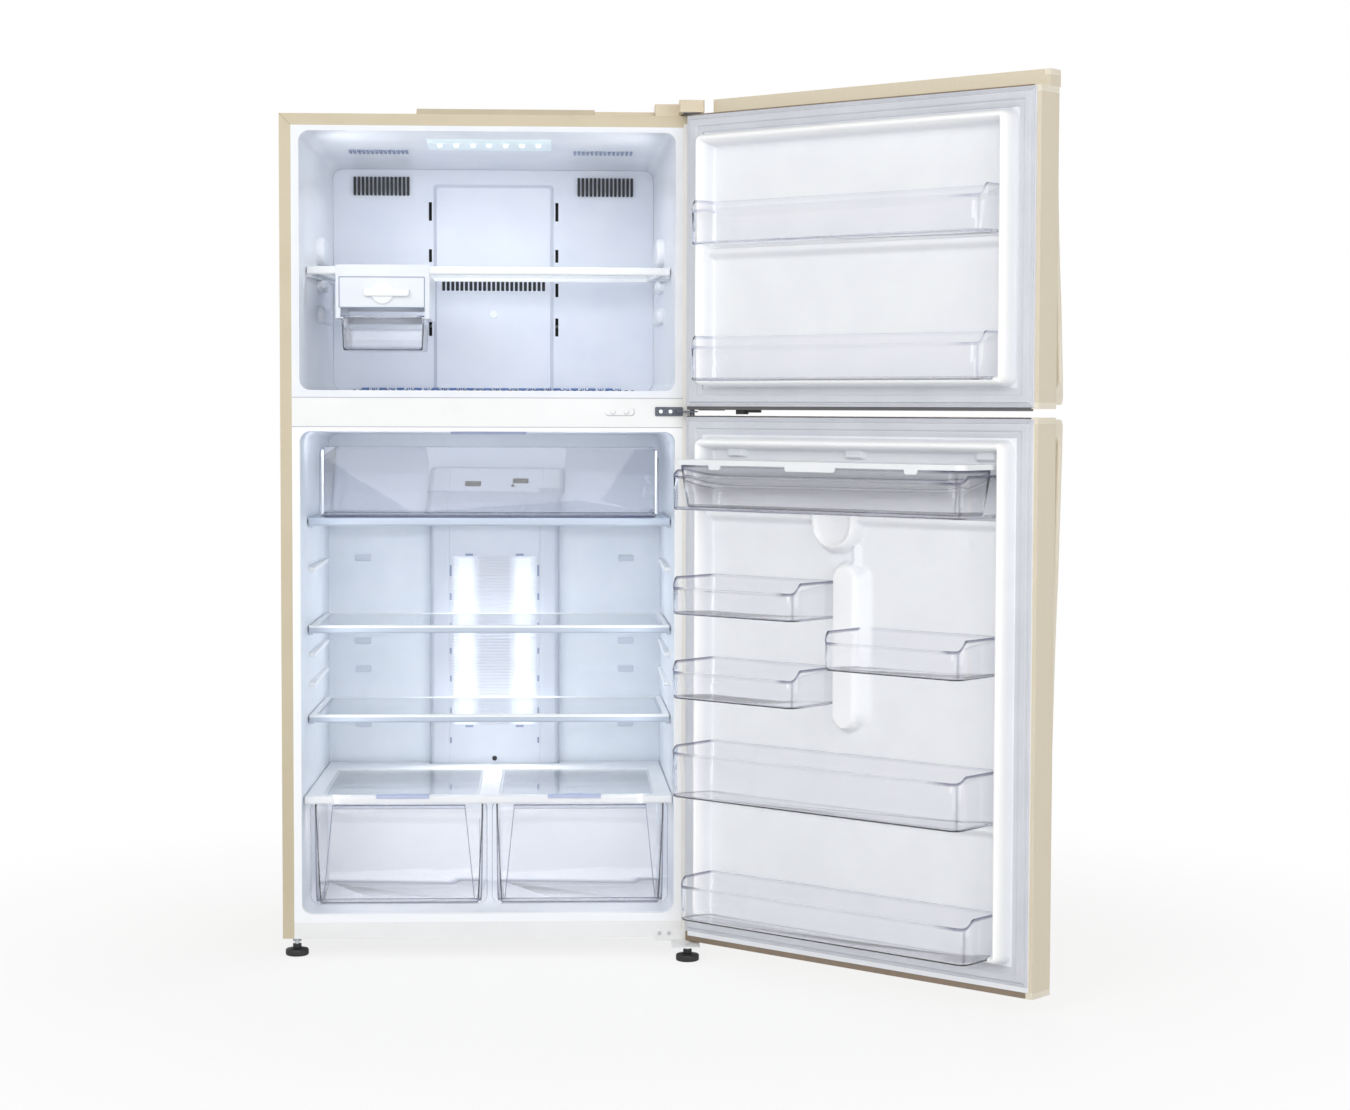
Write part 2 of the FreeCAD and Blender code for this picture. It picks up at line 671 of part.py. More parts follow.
def slot_row(half, count, low, high, y0, y1, middle):
    """A row of upright slots, half as wide as their pitch."""
    pitch = 2 * half / count
    slots = []
    for i in range(count):
        x = middle - half + (i + 0.25) * pitch
        slots.append(block(x, x + pitch / 2, y0, y1, low, high))
    return slots


def freezer_duct_panel():
    rear = DUCT_PANEL_Y + DUCT_PANEL_THICK
    front = DUCT_PANEL_Y - DUCT_PANEL_RISE
    half = cavity_half(FREEZER, rear) - SEAT_GAP
    top = cavity_ceiling(FREEZER, rear) - SEAT_GAP
    low = FREEZER_FLOOR + SEAT_GAP
    plate = rounded_prism_y(-half, half, low, top, LINER_CORNER, DUCT_PANEL_Y, rear)
    raised = tapered_prism_y(
        (-DUCT_MIDDLE_HALF + DUCT_PANEL_RISE, DUCT_MIDDLE_HALF - DUCT_PANEL_RISE,
         low + DUCT_PANEL_RISE, FREEZER_FLOOR + DUCT_MIDDLE_TOP - DUCT_PANEL_RISE),
        (-DUCT_MIDDLE_HALF, DUCT_MIDDLE_HALF, low, FREEZER_FLOOR + DUCT_MIDDLE_TOP),
        (DUCT_PANEL_RISE, DUCT_PANEL_RISE), front, DUCT_PANEL_Y)
    hollow = block(-DUCT_MIDDLE_HALF + 2 * DUCT_PANEL_RISE, DUCT_MIDDLE_HALF - 2 * DUCT_PANEL_RISE,
                   DUCT_PANEL_Y - DUCT_PANEL_RISE + DUCT_PANEL_THICK, rear,
                   low + 2 * DUCT_PANEL_RISE, FREEZER_FLOOR + DUCT_MIDDLE_TOP - 2 * DUCT_PANEL_RISE)
    vent_half = (VENT_OUTER - VENT_INNER) / 2
    cuts = [hollow]
    for side in (-1, 1):
        cuts += slot_row(vent_half, VENT_SLOTS, FREEZER_FLOOR + VENT_LOW, FREEZER_FLOOR + VENT_HIGH,
                         front, rear, side * (VENT_INNER + vent_half))
        slot = side * (DUCT_MIDDLE_HALF + SIDE_SLOT_WIDTH)
        for z0, z1 in SIDE_SLOTS:
            cuts.append(block(slot - SIDE_SLOT_WIDTH / 2, slot + SIDE_SLOT_WIDTH / 2, front, rear,
                              FREEZER_FLOOR + z0, FREEZER_FLOOR + z1))
    cuts += slot_row(LOW_VENT_HALF, LOW_VENT_SLOTS, FREEZER_FLOOR + LOW_VENT_LOW,
                     FREEZER_FLOOR + LOW_VENT_HIGH, front, rear, 0)
    cuts += slot_row(FLOOR_VENT_HALF, FLOOR_VENT_SLOTS, low - SEAT_GAP, low + DUCT_PANEL_RISE / 2,
                     front, rear, 0)
    return fuse([plate, raised]).cut(cuts)


def freezer_light():
    outline = [(LIGHT_FRONT, cavity_ceiling(FREEZER, LIGHT_FRONT)),
               (LIGHT_REAR, cavity_ceiling(FREEZER, LIGHT_REAR)),
               (LIGHT_REAR, cavity_ceiling(FREEZER, LIGHT_REAR) - LIGHT_DROP / 2),
               (LIGHT_FRONT + LIGHT_DROP, cavity_ceiling(FREEZER, LIGHT_FRONT) - LIGHT_DROP),
               (LIGHT_FRONT, cavity_ceiling(FREEZER, LIGHT_FRONT) - LIGHT_DROP / 2)]
    return prism_x(outline, -LIGHT_HALF, LIGHT_HALF)


# Shelves

def shelf_plan(cavity, y0, y1, inset):
    return [(side * (cavity_half(cavity, y) - inset), y)
            for side, y in ((-1, y0), (1, y0), (1, y1), (-1, y1))]


def shelf_frame(cavity, y0, y1, top):
    low = top - SHELF_THICK
    inset = SHELF_SIDE_GAP + SHELF_BORDER
    plate = prism_z(shelf_plan(cavity, y0, y1, SHELF_SIDE_GAP), low, top)
    window = prism_z(shelf_plan(cavity, y0 + SHELF_BORDER, y1 - SHELF_BORDER, inset), low, top)
    rabbet = prism_z(shelf_plan(cavity, y0 + SHELF_RABBET, y1 - SHELF_RABBET,
                                SHELF_SIDE_GAP + SHELF_RABBET), top - PANE_DROP - PANE_THICK, top)
    half = cavity_half(cavity, y0 + RAIL_DEPTH) - SHELF_SIDE_GAP
    rail = rounded_prism_x(y0 - RAIL_OVERHANG, y0 - RAIL_OVERHANG + RAIL_DEPTH, top - RAIL_DROP,
                           top + RAIL_RISE, RAIL_RADIUS, -half, half)
    return fuse([plate.cut([window, rabbet]), rail])


def shelf_pane(cavity, y0, y1, top):
    edge = SHELF_RABBET + PANE_GAP
    plan = shelf_plan(cavity, y0 + edge, y1 - edge, SHELF_SIDE_GAP + edge)
    return prism_z(plan, top - PANE_DROP - PANE_THICK, top - PANE_DROP)


def shelf_places():
    """Cavity, front, rear and top of each shelf."""
    return ((FREEZER, FREEZER_SHELF_FRONT, FREEZER_SHELF_REAR, FREEZER_FLOOR + FREEZER_SHELF),
            (FRIDGE, SHELF_FRONT, SHELF_REAR, FRIDGE_FLOOR + UPPER_SHELF),
            (FRIDGE, SHELF_FRONT, SHELF_REAR, FRIDGE_FLOOR + LOWER_SHELF),
            (FRIDGE, SHELF_FRONT, SHELF_REAR, FRIDGE_FLOOR + CHILLER_SHELF))


def cover_window(side, edge):
    """Outline of one crisper cover window, narrowed by an edge."""
    inner, outer = COVER_MIDDLE + edge, OPENING_HALF - COVER_SIDE - edge
    front, rear = COVER_FRONT + COVER_RAIL + edge, COVER_WINDOW_REAR - edge
    return [(side * inner, front), (side * outer, front), (side * outer, rear), (side * inner, rear)]


def crisper_cover():
    top = FRIDGE_FLOOR + COVER_TOP
    plate = prism_z(shelf_plan(FRIDGE, COVER_FRONT, COVER_REAR, SHELF_SIDE_GAP), top - COVER_THICK, top)
    half = cavity_half(FRIDGE, COVER_FRONT + COVER_RAIL) - SHELF_SIDE_GAP
    rail = rounded_prism_x(COVER_FRONT - RAIL_OVERHANG, COVER_FRONT - RAIL_OVERHANG + COVER_RAIL,
                           top - RAIL_DROP, top + RAIL_RISE, RAIL_RADIUS, -half, half)
    cuts = []
    for side in (-1, 1):
        cuts.append(prism_z(cover_window(side, SHELF_BORDER - SHELF_RABBET), top - COVER_THICK, top))
        cuts.append(prism_z(cover_window(side, 0), top - PANE_DROP - PANE_THICK, top))
        cuts.append(slider_block(side, SLIDER_TRAVEL + SEAT_GAP, SEAT_GAP, 2 * SLIDER_SINK))
    duct = DUCT_HALF + SEAT_GAP
    cuts.append(block(-duct, duct, LINER_DEPTH - DUCT_DEPTH - SEAT_GAP, COVER_REAR, top - COVER_THICK, top))
    return fuse([plate, rail]).cut(cuts)


def slider_block(side, end_room, room, height):
    """The humidity slider's box, grown to the size of its track by the given rooms."""
    top = FRIDGE_FLOOR + COVER_TOP + RAIL_RISE
    middle = COVER_FRONT - RAIL_OVERHANG + COVER_RAIL / 2
    x, half = side * SLIDER_X, SLIDER_LENGTH / 2 + end_room
    width = SLIDER_WIDTH / 2 + room
    return block(x - half, x + half, middle - width, middle + width, top - SLIDER_SINK - room,
                 top - SLIDER_SINK + height)


def humidity_slider(side):
    top = FRIDGE_FLOOR + COVER_TOP + RAIL_RISE
    middle = COVER_FRONT - RAIL_OVERHANG + COVER_RAIL / 2
    plate = slider_block(side, 0, 0, SLIDER_SINK + SHEET)
    grip = rounded_prism_z(side * SLIDER_X - SLIDER_WIDTH, side * SLIDER_X + SLIDER_WIDTH,
                           middle - SLIDER_WIDTH / 3, middle + SLIDER_WIDTH / 3, SLIDER_SINK,
                           top, top + SLIDER_SINK)
    return fuse([plate, grip])


def shelf_glass():
    panes = [shelf_pane(*place) for place in shelf_places()]
    top = FRIDGE_FLOOR + COVER_TOP
    for side in (-1, 1):
        panes.append(prism_z(cover_window(side, PANE_GAP), top - PANE_DROP - PANE_THICK, top - PANE_DROP))
    return Part.makeCompound(panes)


# Drawers

def chiller_drawer():
    low = FRIDGE_FLOOR + CHILLER_SHELF + RAIL_RISE + SEAT_GAP
    face_back = SHELF_FRONT + DRAWER_WALL
    half = CHILLER_HALF - DRAWER_WALL
    box = (-half, half, face_back, CHILLER_REAR)
    foot = (-half + DRAWER_WALL, half - DRAWER_WALL, face_back, CHILLER_REAR - DRAWER_WALL)
    tub = tapered_prism_z(foot, box, DRAWER_WALL * 2, low, low + CHILLER_BOX_HEIGHT)
    t = DRAWER_WALL
    hollow = tapered_prism_z((foot[0] + t, foot[1] - t, foot[2] + t, foot[3] - t),
                             (box[0] + t, box[1] - t, box[2] + t, box[3] - t), DRAWER_WALL,
                             low + t, low + CHILLER_BOX_HEIGHT)
    notch = block(-CHILLER_NOTCH_HALF, CHILLER_NOTCH_HALF, CHILLER_REAR - 4 * t, CHILLER_REAR + t,
                  low + CHILLER_NOTCH_LEVEL, low + CHILLER_HEIGHT)
    face = rounded_prism_y(-CHILLER_HALF, CHILLER_HALF, low, low + CHILLER_HEIGHT, 2 * LEDGE_HEIGHT,
                           SHELF_FRONT, face_back + t)
    return fuse([tub.cut([hollow, notch]), face])


def crisper(side):
    low, high = FRIDGE_FLOOR + SEAT_GAP, FRIDGE_FLOOR + CRISPER_HEIGHT
    inner, outer = CRISPER_MIDDLE_GAP, OPENING_HALF - CRISPER_SIDE_GAP
    t, taper, inset = DRAWER_WALL, CRISPER_TAPER, CRISPER_BOX_INSET
    back = CRISPER_FRONT + CRISPER_FACE
    top = (inner + inset, outer - inset, back - t, CRISPER_REAR)
    foot = (top[0] + taper, top[1] - taper, back - t, CRISPER_REAR - taper)
    tub = tapered_prism_z(foot, top, inset, low, high - inset)
    hollow = tapered_prism_z((foot[0] + t, foot[1] - t, back, foot[3] - t),
                             (top[0] + t, top[1] - t, back, top[3] - t), inset - t,
                             low + t, high - inset)
    corner = LINER_CORNER - CRISPER_SIDE_GAP / 2
    face = rounded_prism_y(inner, outer, low, high, corner, CRISPER_FRONT, back)
    lip = rounded_prism_x(CRISPER_FRONT - CRISPER_LIP, back, high - 2 * inset, high - inset,
                          CRISPER_FACE - SHEET, inner + 4 * inset, outer - 4 * inset)
    drawer = fuse([tub.cut(hollow), face, lip])
    return drawer if side > 0 else mirrored(drawer)


# Ice maker

def ice_levels():
    """Underside of the freezer shelf's rail and the top of that rail."""
    top = FREEZER_FLOOR + FREEZER_SHELF
    return top - RAIL_DROP - SEAT_GAP, top + RAIL_RISE


def ice_axis():
    return ICE_LEFT + ICE_WIDTH / 2, ice_levels()[0] - ICE_AXIS_DROP


def ice_face():
    """Front and back y of the ice maker's front panel."""
    front = FREEZER_SHELF_FRONT - RAIL_OVERHANG - SEAT_GAP - ICE_WALL
    return front, front + ICE_WALL


def ice_maker_frame():
    roof, rail_top = ice_levels()
    right = ICE_LEFT + ICE_WIDTH
    rail_front = FREEZER_SHELF_FRONT - RAIL_OVERHANG - SEAT_GAP
    front = rail_front - ICE_WALL
    face_front, face_back = ice_face()
    x, z = ice_axis()
    strip = block(ICE_LEFT, right, front, rail_front, roof - ICE_WALL, rail_top + SEAT_GAP + ICE_WALL)
    hook = block(ICE_LEFT, right, front, rail_front + RAIL_DEPTH / 2, rail_top + SEAT_GAP,
                 rail_top + SEAT_GAP + ICE_WALL)
    plate = block(ICE_LEFT, right, front, ICE_REAR, roof - ICE_WALL, roof)
    pieces = [strip, hook, plate]
    foot = roof - ICE_CHEEK_DROP
    for x0, lip in ((ICE_LEFT, ICE_CHEEK), (right - ICE_CHEEK, -ICE_RUNNER)):
        pieces.append(block(x0, x0 + ICE_CHEEK, front, ICE_REAR, foot, roof))
        pieces.append(block(x0 + lip, x0 + lip + ICE_RUNNER, face_back, ICE_REAR, foot, foot + ICE_WALL))
    low = roof - ICE_FACE_DROP
    pieces.append(block(ICE_LEFT, right, face_front, face_back, low, roof))
    pieces.append(block(ICE_LEFT, right, ICE_REAR - ICE_WALL, ICE_REAR, low, roof))
    bore = cylinder((x, face_front, z), KNOB_SHAFT + RUNNING_GAP, ICE_WALL, (0, 1, 0))
    rear_bore = cylinder((x, ICE_REAR - ICE_WALL, z), AXLE_RADIUS + RUNNING_GAP, ICE_WALL, (0, 1, 0))
    return fuse(pieces).cut([bore, rear_bore])


def ice_tray():
    x, z = ice_axis()
    front, rear = ice_face()[1] + 2 * ICE_WALL, ICE_REAR - 2 * ICE_WALL
    low, high = z - ICE_TRAY_DEPTH / 2, z + ICE_TRAY_DEPTH / 2
    body = block(x - ICE_TRAY_HALF, x + ICE_TRAY_HALF, front, rear, low, high)
    wall = SHEET * 2
    pitch = (rear - front - 4 * wall) / ICE_CELLS
    cells = []
    for i in range(ICE_CELLS):
        y0 = front + 2 * wall + i * pitch + wall / 2
        for x0, x1 in ((x - ICE_TRAY_HALF + wall, x - wall / 2), (x + wall / 2, x + ICE_TRAY_HALF - wall)):
            top = (x0, x1, y0, y0 + pitch - wall)
            foot = (x0 + wall, x1 - wall, y0 + wall, y0 + pitch - 2 * wall)
            cells.append(tapered_prism_z(foot, top, wall, low + wall, high))
    pin = cylinder((x, rear, z), AXLE_RADIUS, 2 * ICE_WALL - SHEET, (0, 1, 0))
    return fuse([body.cut(cells), pin])


def ice_knob():
    x, z = ice_axis()
    face_front, face_back = ice_face()
    disc = cylinder((x, face_front - SEAT_GAP, z), KNOB_RADIUS, ICE_WALL * 2, (0, -1, 0))
    shaft_end = face_back + 2 * ICE_WALL
    shaft = cylinder((x, face_front - SEAT_GAP, z), KNOB_SHAFT, shaft_end - face_front + SEAT_GAP, (0, 1, 0))
    grip = rounded_prism_y(x - KNOB_GRIP, x + KNOB_GRIP, z - KNOB_SHAFT, z + KNOB_SHAFT, KNOB_SHAFT - SHEET,
                           face_front - SEAT_GAP - 4 * ICE_WALL, face_front - SEAT_GAP)
    return fuse([disc, shaft, grip])


def ice_bin():
    roof = ice_levels()[0]
    flange_low = roof - ICE_CHEEK_DROP + ICE_WALL + SEAT_GAP
    left, right = ICE_LEFT + ICE_CHEEK + SEAT_GAP * 2, ICE_LEFT + ICE_WIDTH - ICE_CHEEK - SEAT_GAP * 2
    front, rear = ice_face()[1] + SEAT_GAP, ICE_REAR - ICE_WALL - SEAT_GAP
    t, inset = DRAWER_WALL, ICE_RUNNER + SEAT_GAP
    low = flange_low - ICE_BIN_DROP + t
    high = flange_low + t
    flange = block(left, right, front, rear, flange_low, high)
    top = (left + inset, right - inset, front, rear)
    foot = (top[0] + 2 * t, top[1] - 2 * t, front + 2 * t, rear - 2 * t)
    tub = tapered_prism_z(foot, top, 2 * t, low, flange_low)
    hollow = tapered_prism_z((foot[0] + t, foot[1] - t, foot[2] + t, foot[3] - t),
                             (top[0] + t, top[1] - t, top[2] + t, top[3] - t), t, low + t, high)
    return fuse([flange, tub]).cut(hollow)


# Fridge rear duct

def duct_outline(wall):
    slope = (DUCT_HALF - DUCT_FACE_HALF) / DUCT_DEPTH
    face = LINER_DEPTH - DUCT_DEPTH + wall
    half = DUCT_HALF - wall * 2
    return [(-half, LINER_DEPTH), (-half + slope * (DUCT_DEPTH - wall), face),
            (half - slope * (DUCT_DEPTH - wall), face), (half, LINER_DEPTH)]


def led_outline(gap):
    return (-LED_HALF + gap, LED_HALF - gap, FRIDGE_FLOOR + LED_LOW + gap, FRIDGE_FLOOR + LED_HIGH - gap)


def fridge_duct_cover():
    low, high = STEP_LEVEL, FRIDGE_FLOOR + DUCT_TOP
    cover = prism_z(duct_outline(0), low, high)
    hollow = prism_z(duct_outline(DUCT_WALL), low, high - DUCT_WALL)
    face = LINER_DEPTH - DUCT_DEPTH
    window = rounded_prism_y(*led_outline(0), LEDGE_HEIGHT, face, face + DUCT_WALL)
    level = FRIDGE_FLOOR + DUCT_VENT_LEVEL
    vents = []
    for side in (-1, 1):
        x = side * DUCT_VENT_X
        vents.append(block(x - DUCT_VENT_HALF, x + DUCT_VENT_HALF, face, face + DUCT_WALL,
                           level - DUCT_VENT_HEIGHT / 2, level + DUCT_VENT_HEIGHT / 2))
    return cover.cut([hollow, window] + vents)


def led_panel():
    face = LINER_DEPTH - DUCT_DEPTH
    plate = rounded_prism_y(*led_outline(PANE_GAP), LEDGE_HEIGHT - PANE_GAP, face - SHEET, face + DUCT_WALL)
    x0, x1, z0, z1 = led_outline(LED_COLUMN_HALF)
    columns = []
    for side in (-1, 1):
        x = side * LED_COLUMN_X
        columns.append(tapered_prism_y(
            (x - LED_COLUMN_HALF + LED_RISE, x + LED_COLUMN_HALF - LED_RISE, z0 + LED_RISE, z1 - LED_RISE),
            (x - LED_COLUMN_HALF, x + LED_COLUMN_HALF, z0, z1), (LED_RISE, LED_RISE),
            face - SHEET - LED_RISE, face - SHEET))
    return fuse([plate] + columns)


# Machine compartment

def compressor_base():
    plate = block(-HALF + SHEET, HALF - SHEET, MACHINE_FRONT, CABINET_DEPTH, BASE_HEIGHT, BASE_TOP)
    pieces = [plate]
    cheek = ROLLER_HALF + SEAT_GAP + BASE_SHEET
    for side in (-1, 1):
        x = side * (HALF - ROLLER_INSET)
        for x0 in (x - cheek, x + cheek - BASE_SHEET):
            pieces.append(block(x0, x0 + BASE_SHEET, ROLLER_Y - ROLLER_RADIUS, ROLLER_Y + ROLLER_RADIUS,
                                ROLLER_RADIUS - 2 * AXLE_RADIUS, BASE_HEIGHT))
        pieces.append(cylinder((x - cheek, ROLLER_Y, ROLLER_RADIUS), AXLE_RADIUS, 2 * cheek, (1, 0, 0)))
    return fuse(pieces)


def roller(side):
    start = (side * (HALF - ROLLER_INSET) - ROLLER_HALF, ROLLER_Y, ROLLER_RADIUS)
    wheel = cylinder(start, ROLLER_RADIUS, 2 * ROLLER_HALF, (1, 0, 0))
    return wheel.cut(cylinder(start, AXLE_RADIUS + RUNNING_GAP, 2 * ROLLER_HALF, (1, 0, 0)))


def machine_middle():
    return (MACHINE_FRONT + CABINET_DEPTH) / 2


def compressor():
    y, r = machine_middle(), COMPRESSOR_RADIUS
    low = BASE_TOP + 3 * STUD_RADIUS
    high = low + COMPRESSOR_HEIGHT
    seam = low + COMPRESSOR_HEIGHT * 0.55
    bead = HINGE_PLATE
    pot = revolve_z([(0, low), (r * 0.72, low), (r * 0.94, low + r * 0.3), (r, seam - bead),
                     (r + bead, seam - bead), (r + bead, seam + bead), (r, seam + bead),
                     (r * 0.9, high - r * 0.45), (r * 0.6, high - r * 0.12), (0, high)], COMPRESSOR_X, y)
    reach = r * 0.86
    plate = block(COMPRESSOR_X - r - STUD_RADIUS, COMPRESSOR_X + r + STUD_RADIUS, y - reach, y + reach,
                  low - bead, low + bead)
    feet = []
    for sx in (-1, 1):
        for sy in (-1, 1):
            feet.append(cylinder((COMPRESSOR_X + sx * (r - STUD_RADIUS), y + sy * (reach - 2 * STUD_RADIUS),
                                  BASE_TOP), 2 * STUD_RADIUS, low - bead - BASE_TOP, (0, 0, 1)))
    box = block(COMPRESSOR_X - r - 5 * STUD_RADIUS, COMPRESSOR_X - r * 0.8, y - r / 3, y + r / 3,
                seam - r * 0.6, seam - 2 * bead)
    return fuse([pot, plate, box] + feet)


def serpentine(x0, x1, y, z0, pitch, runs, radius):
    """Tube that runs to and fro along x, climbing one pitch at each half-round bend."""
    pieces = []
    for i in range(runs):
        z = z0 + i * pitch
        pieces.append(cylinder((x0, y, z), radius, x1 - x0, (1, 0, 0)))
        if i + 1 < runs:
            end = x1 if i % 2 == 0 else x0
            bend = Part.makeTorus(pitch / 2, radius, vector(end, y, z + pitch / 2), vector(0, 1, 0))
            side = 1 if i % 2 == 0 else -1
            reach = pitch / 2 + 2 * radius
            keep = block(min(end, end + side * reach), max(end, end + side * reach), y - 2 * radius,
                         y + 2 * radius, z - 2 * radius, z + pitch + 2 * radius)
            pieces.append(bend.common(keep))
    return fuse(pieces)


def condenser():
    y, low = machine_middle(), BASE_TOP + CONDENSER_PITCH / 2
    tube = serpentine(CONDENSER_LEFT, CONDENSER_RIGHT, y, low, CONDENSER_PITCH, CONDENSER_RUNS, TUBE_RADIUS)
    high = low + (CONDENSER_RUNS - 1) * CONDENSER_PITCH + 2 * TUBE_RADIUS
    plates = []
    for x in (CONDENSER_LEFT + CONDENSER_PITCH, CONDENSER_RIGHT - CONDENSER_PITCH):
        plates.append(block(x, x + BASE_SHEET, y - CONDENSER_PITCH, y + CONDENSER_PITCH, BASE_TOP, high))
    return fuse([tube] + plates)


def fan_rotor(radius, hub, width):
    """Axial fan on the z axis, from z = 0 to the width, with pitched blades and a bore in the hub."""
    blades = []
    for i in range(FAN_BLADES):
        blade = block(0, radius, -width * 0.75, width * 0.75, -SHEET, SHEET)
        blade.rotate(vector(0, 0, 0), vector(1, 0, 0), FAN_PITCH)
        blade.translate(vector(0, 0, width / 2))
        blade.rotate(vector(0, 0, 0), vector(0, 0, 1), 360 * i / FAN_BLADES)
        blades.append(blade)
    limit = cylinder((0, 0, 0), radius, width, (0, 0, 1))
    core = cylinder((0, 0, 0), hub, width, (0, 0, 1))
    bore = cylinder((0, 0, 0), AXLE_RADIUS + RUNNING_GAP, width, (0, 0, 1))
    return fuse([core] + [blade.common(limit) for blade in blades]).cut(bore)


def fan_motor(hub, length, width):
    """Motor on the z axis below z = 0 with a shaft that carries a fan of the given width."""
    can = cylinder((0, 0, -SHEET - length), hub * 1.4, length, (0, 0, 1))
    shaft = cylinder((0, 0, -SHEET), AXLE_RADIUS, SHEET + width - SHEET, (0, 0, 1))
    return fuse([can, shaft])


def evaporator_fan_place(shape):
    """Turn a fan piece from the z axis to face the front of the freezer."""
    shape.rotate(vector(0, 0, 0), vector(1, 0, 0), 90)
    shape.translate(vector(0, LINER_DEPTH - EVAPORATOR_MOTOR - SHEET, FREEZER_FLOOR + EVAPORATOR_FAN_LEVEL))
    return shape


def condenser_fan_place(shape):
    """Turn a fan piece from the z axis to blow along the machine compartment."""
    shape.rotate(vector(0, 0, 0), vector(0, 1, 0), -90)
    shape.translate(vector(FAN_X, machine_middle(), BASE_TOP + FAN_RADIUS + 2 * STUD_RADIUS))
    return shape


def evaporator_fan():
    return evaporator_fan_place(fan_rotor(EVAPORATOR_FAN_RADIUS, FAN_HUB, FAN_WIDTH))


def condenser_fan():
    return condenser_fan_place(fan_rotor(FAN_RADIUS, FAN_HUB, FAN_WIDTH))


def fan_motors():
    cold = evaporator_fan_place(fan_motor(FAN_HUB, EVAPORATOR_MOTOR, FAN_WIDTH))
    warm = condenser_fan_place(fan_motor(FAN_HUB, CONDENSER_MOTOR, FAN_WIDTH))
    y, x = machine_middle(), FAN_X + SHEET + CONDENSER_MOTOR / 2
    leg = block(x - 2 * HINGE_PLATE, x + 2 * HINGE_PLATE, y - FAN_HUB, y + FAN_HUB, BASE_TOP,
                BASE_TOP + FAN_RADIUS + 2 * STUD_RADIUS)
    return Part.makeCompound([cold, fuse([warm, leg])])


def evaporator():
    y = LINER_DEPTH - CONDENSER_PITCH
    low, pitch = FREEZER_FLOOR + EVAPORATOR_LOW, CONDENSER_PITCH
    tube = serpentine(-EVAPORATOR_HALF, EVAPORATOR_HALF, y, low + pitch / 2, pitch, EVAPORATOR_RUNS,
                      TUBE_RADIUS)
    high = low + EVAPORATOR_RUNS * pitch
    fins = []
    step = 2 * (EVAPORATOR_HALF - pitch) / (EVAPORATOR_FINS - 1)
    for i in range(EVAPORATOR_FINS):
        x = -EVAPORATOR_HALF + pitch + i * step
        last = LINER_DEPTH if i in (0, EVAPORATOR_FINS - 1) else y + pitch * 0.7
        fins.append(block(x - SHEET, x + SHEET, y - pitch * 0.7, last, low, high))
    return fuse([tube] + fins)


def drain_pan():
    right = HALF - SHEET - ROLLER_HALF
    front, rear = MACHINE_FRONT + ROLLER_RADIUS, CABINET_DEPTH - ROLLER_RADIUS
    t = DRAWER_WALL
    pan = block(DRAIN_PAN_LEFT, right, front, rear, BASE_TOP, BASE_TOP + DRAIN_PAN_HEIGHT)
    return pan.cut(block(DRAIN_PAN_LEFT + t, right - t, front + t, rear - t, BASE_TOP + t,
                         BASE_TOP + DRAIN_PAN_HEIGHT))


def machine_cover():
    rear = CABINET_DEPTH
    cover = block(-HALF + SHEET, HALF - SHEET, rear - SHEET, rear, BASE_TOP, MACHINE_TOP + SHEET)
    span = (MACHINE_TOP - BASE_TOP) / 2
    middle = BASE_TOP + span
    cuts = []
    for side in (-1, 1):
        cuts += slot_row(HALF / 4, MACHINE_VENT_SLOTS, middle - span / 2, middle + span / 2, rear - SHEET,
                         rear, side * HALF / 2)
    cuts.append(cylinder((HALF - ROLLER_INSET, rear - SHEET, middle), CORD_HOLE, SHEET, (0, 1, 0)))
    return cover.cut(cuts)


# Hinges, covers and feet

def hinge_pin(z0, z1):
    return cylinder((HINGE_X, HINGE_Y, z0), PIN_RADIUS, z1 - z0, (0, 0, 1))


def pin_bore(z0, z1):
    return cylinder((HINGE_X, HINGE_Y, z0), PIN_RADIUS + RUNNING_GAP, z1 - z0, (0, 0, 1))


def screw_spots():
    """Screws of the three hinges as (point on the plate, direction of the head)."""
    top, front = CABINET_TOP + HINGE_PLATE, -HINGE_PLATE
    rear = TOP_PLATE_REAR - SCREW_EDGE
    left = HALF - TOP_PLATE_WIDTH + SCREW_EDGE
    spots = [((left, rear - SCREW_PITCH, top), (0, 0, 1)), ((left, rear, top), (0, 0, 1)),
             ((HALF - 2 * SCREW_EDGE, rear, top), (0, 0, 1))]
    left = HALF - MIDDLE_PLATE_WIDTH + SCREW_EDGE
    for z in (PARTING, CABINET_BOTTOM + LOWER_PLATE_RISE / 2):
        for x in (left, left + SCREW_PITCH):
            spots.append(((x, front, z), (0, -1, 0)))
    return spots


def hinge_screws():
    heads = [cylinder(spot, SCREW_HEAD, HINGE_PLATE - SHEET, axis) for spot, axis in screw_spots()]
    return Part.makeCompound(heads)


def top_hinge_plate():
    low, high = CABINET_TOP, CABINET_TOP + HINGE_PLATE
    back = block(HALF - TOP_PLATE_WIDTH, HALF - BASE_SHEET, PIN_RADIUS, TOP_PLATE_REAR, low, high)
    arm = rounded_prism_z(HINGE_X - TOP_ARM_LEFT, HINGE_X + TOP_ARM_RIGHT, HINGE_Y - TOP_ARM_FRONT,
                          3 * PIN_RADIUS, PIN_RADIUS, low, high)
    return fuse([back, arm])


def top_hinge():
    return fuse([top_hinge_plate(), hinge_pin(FREEZER_DOOR_HIGH - PIN_REACH, CABINET_TOP)])


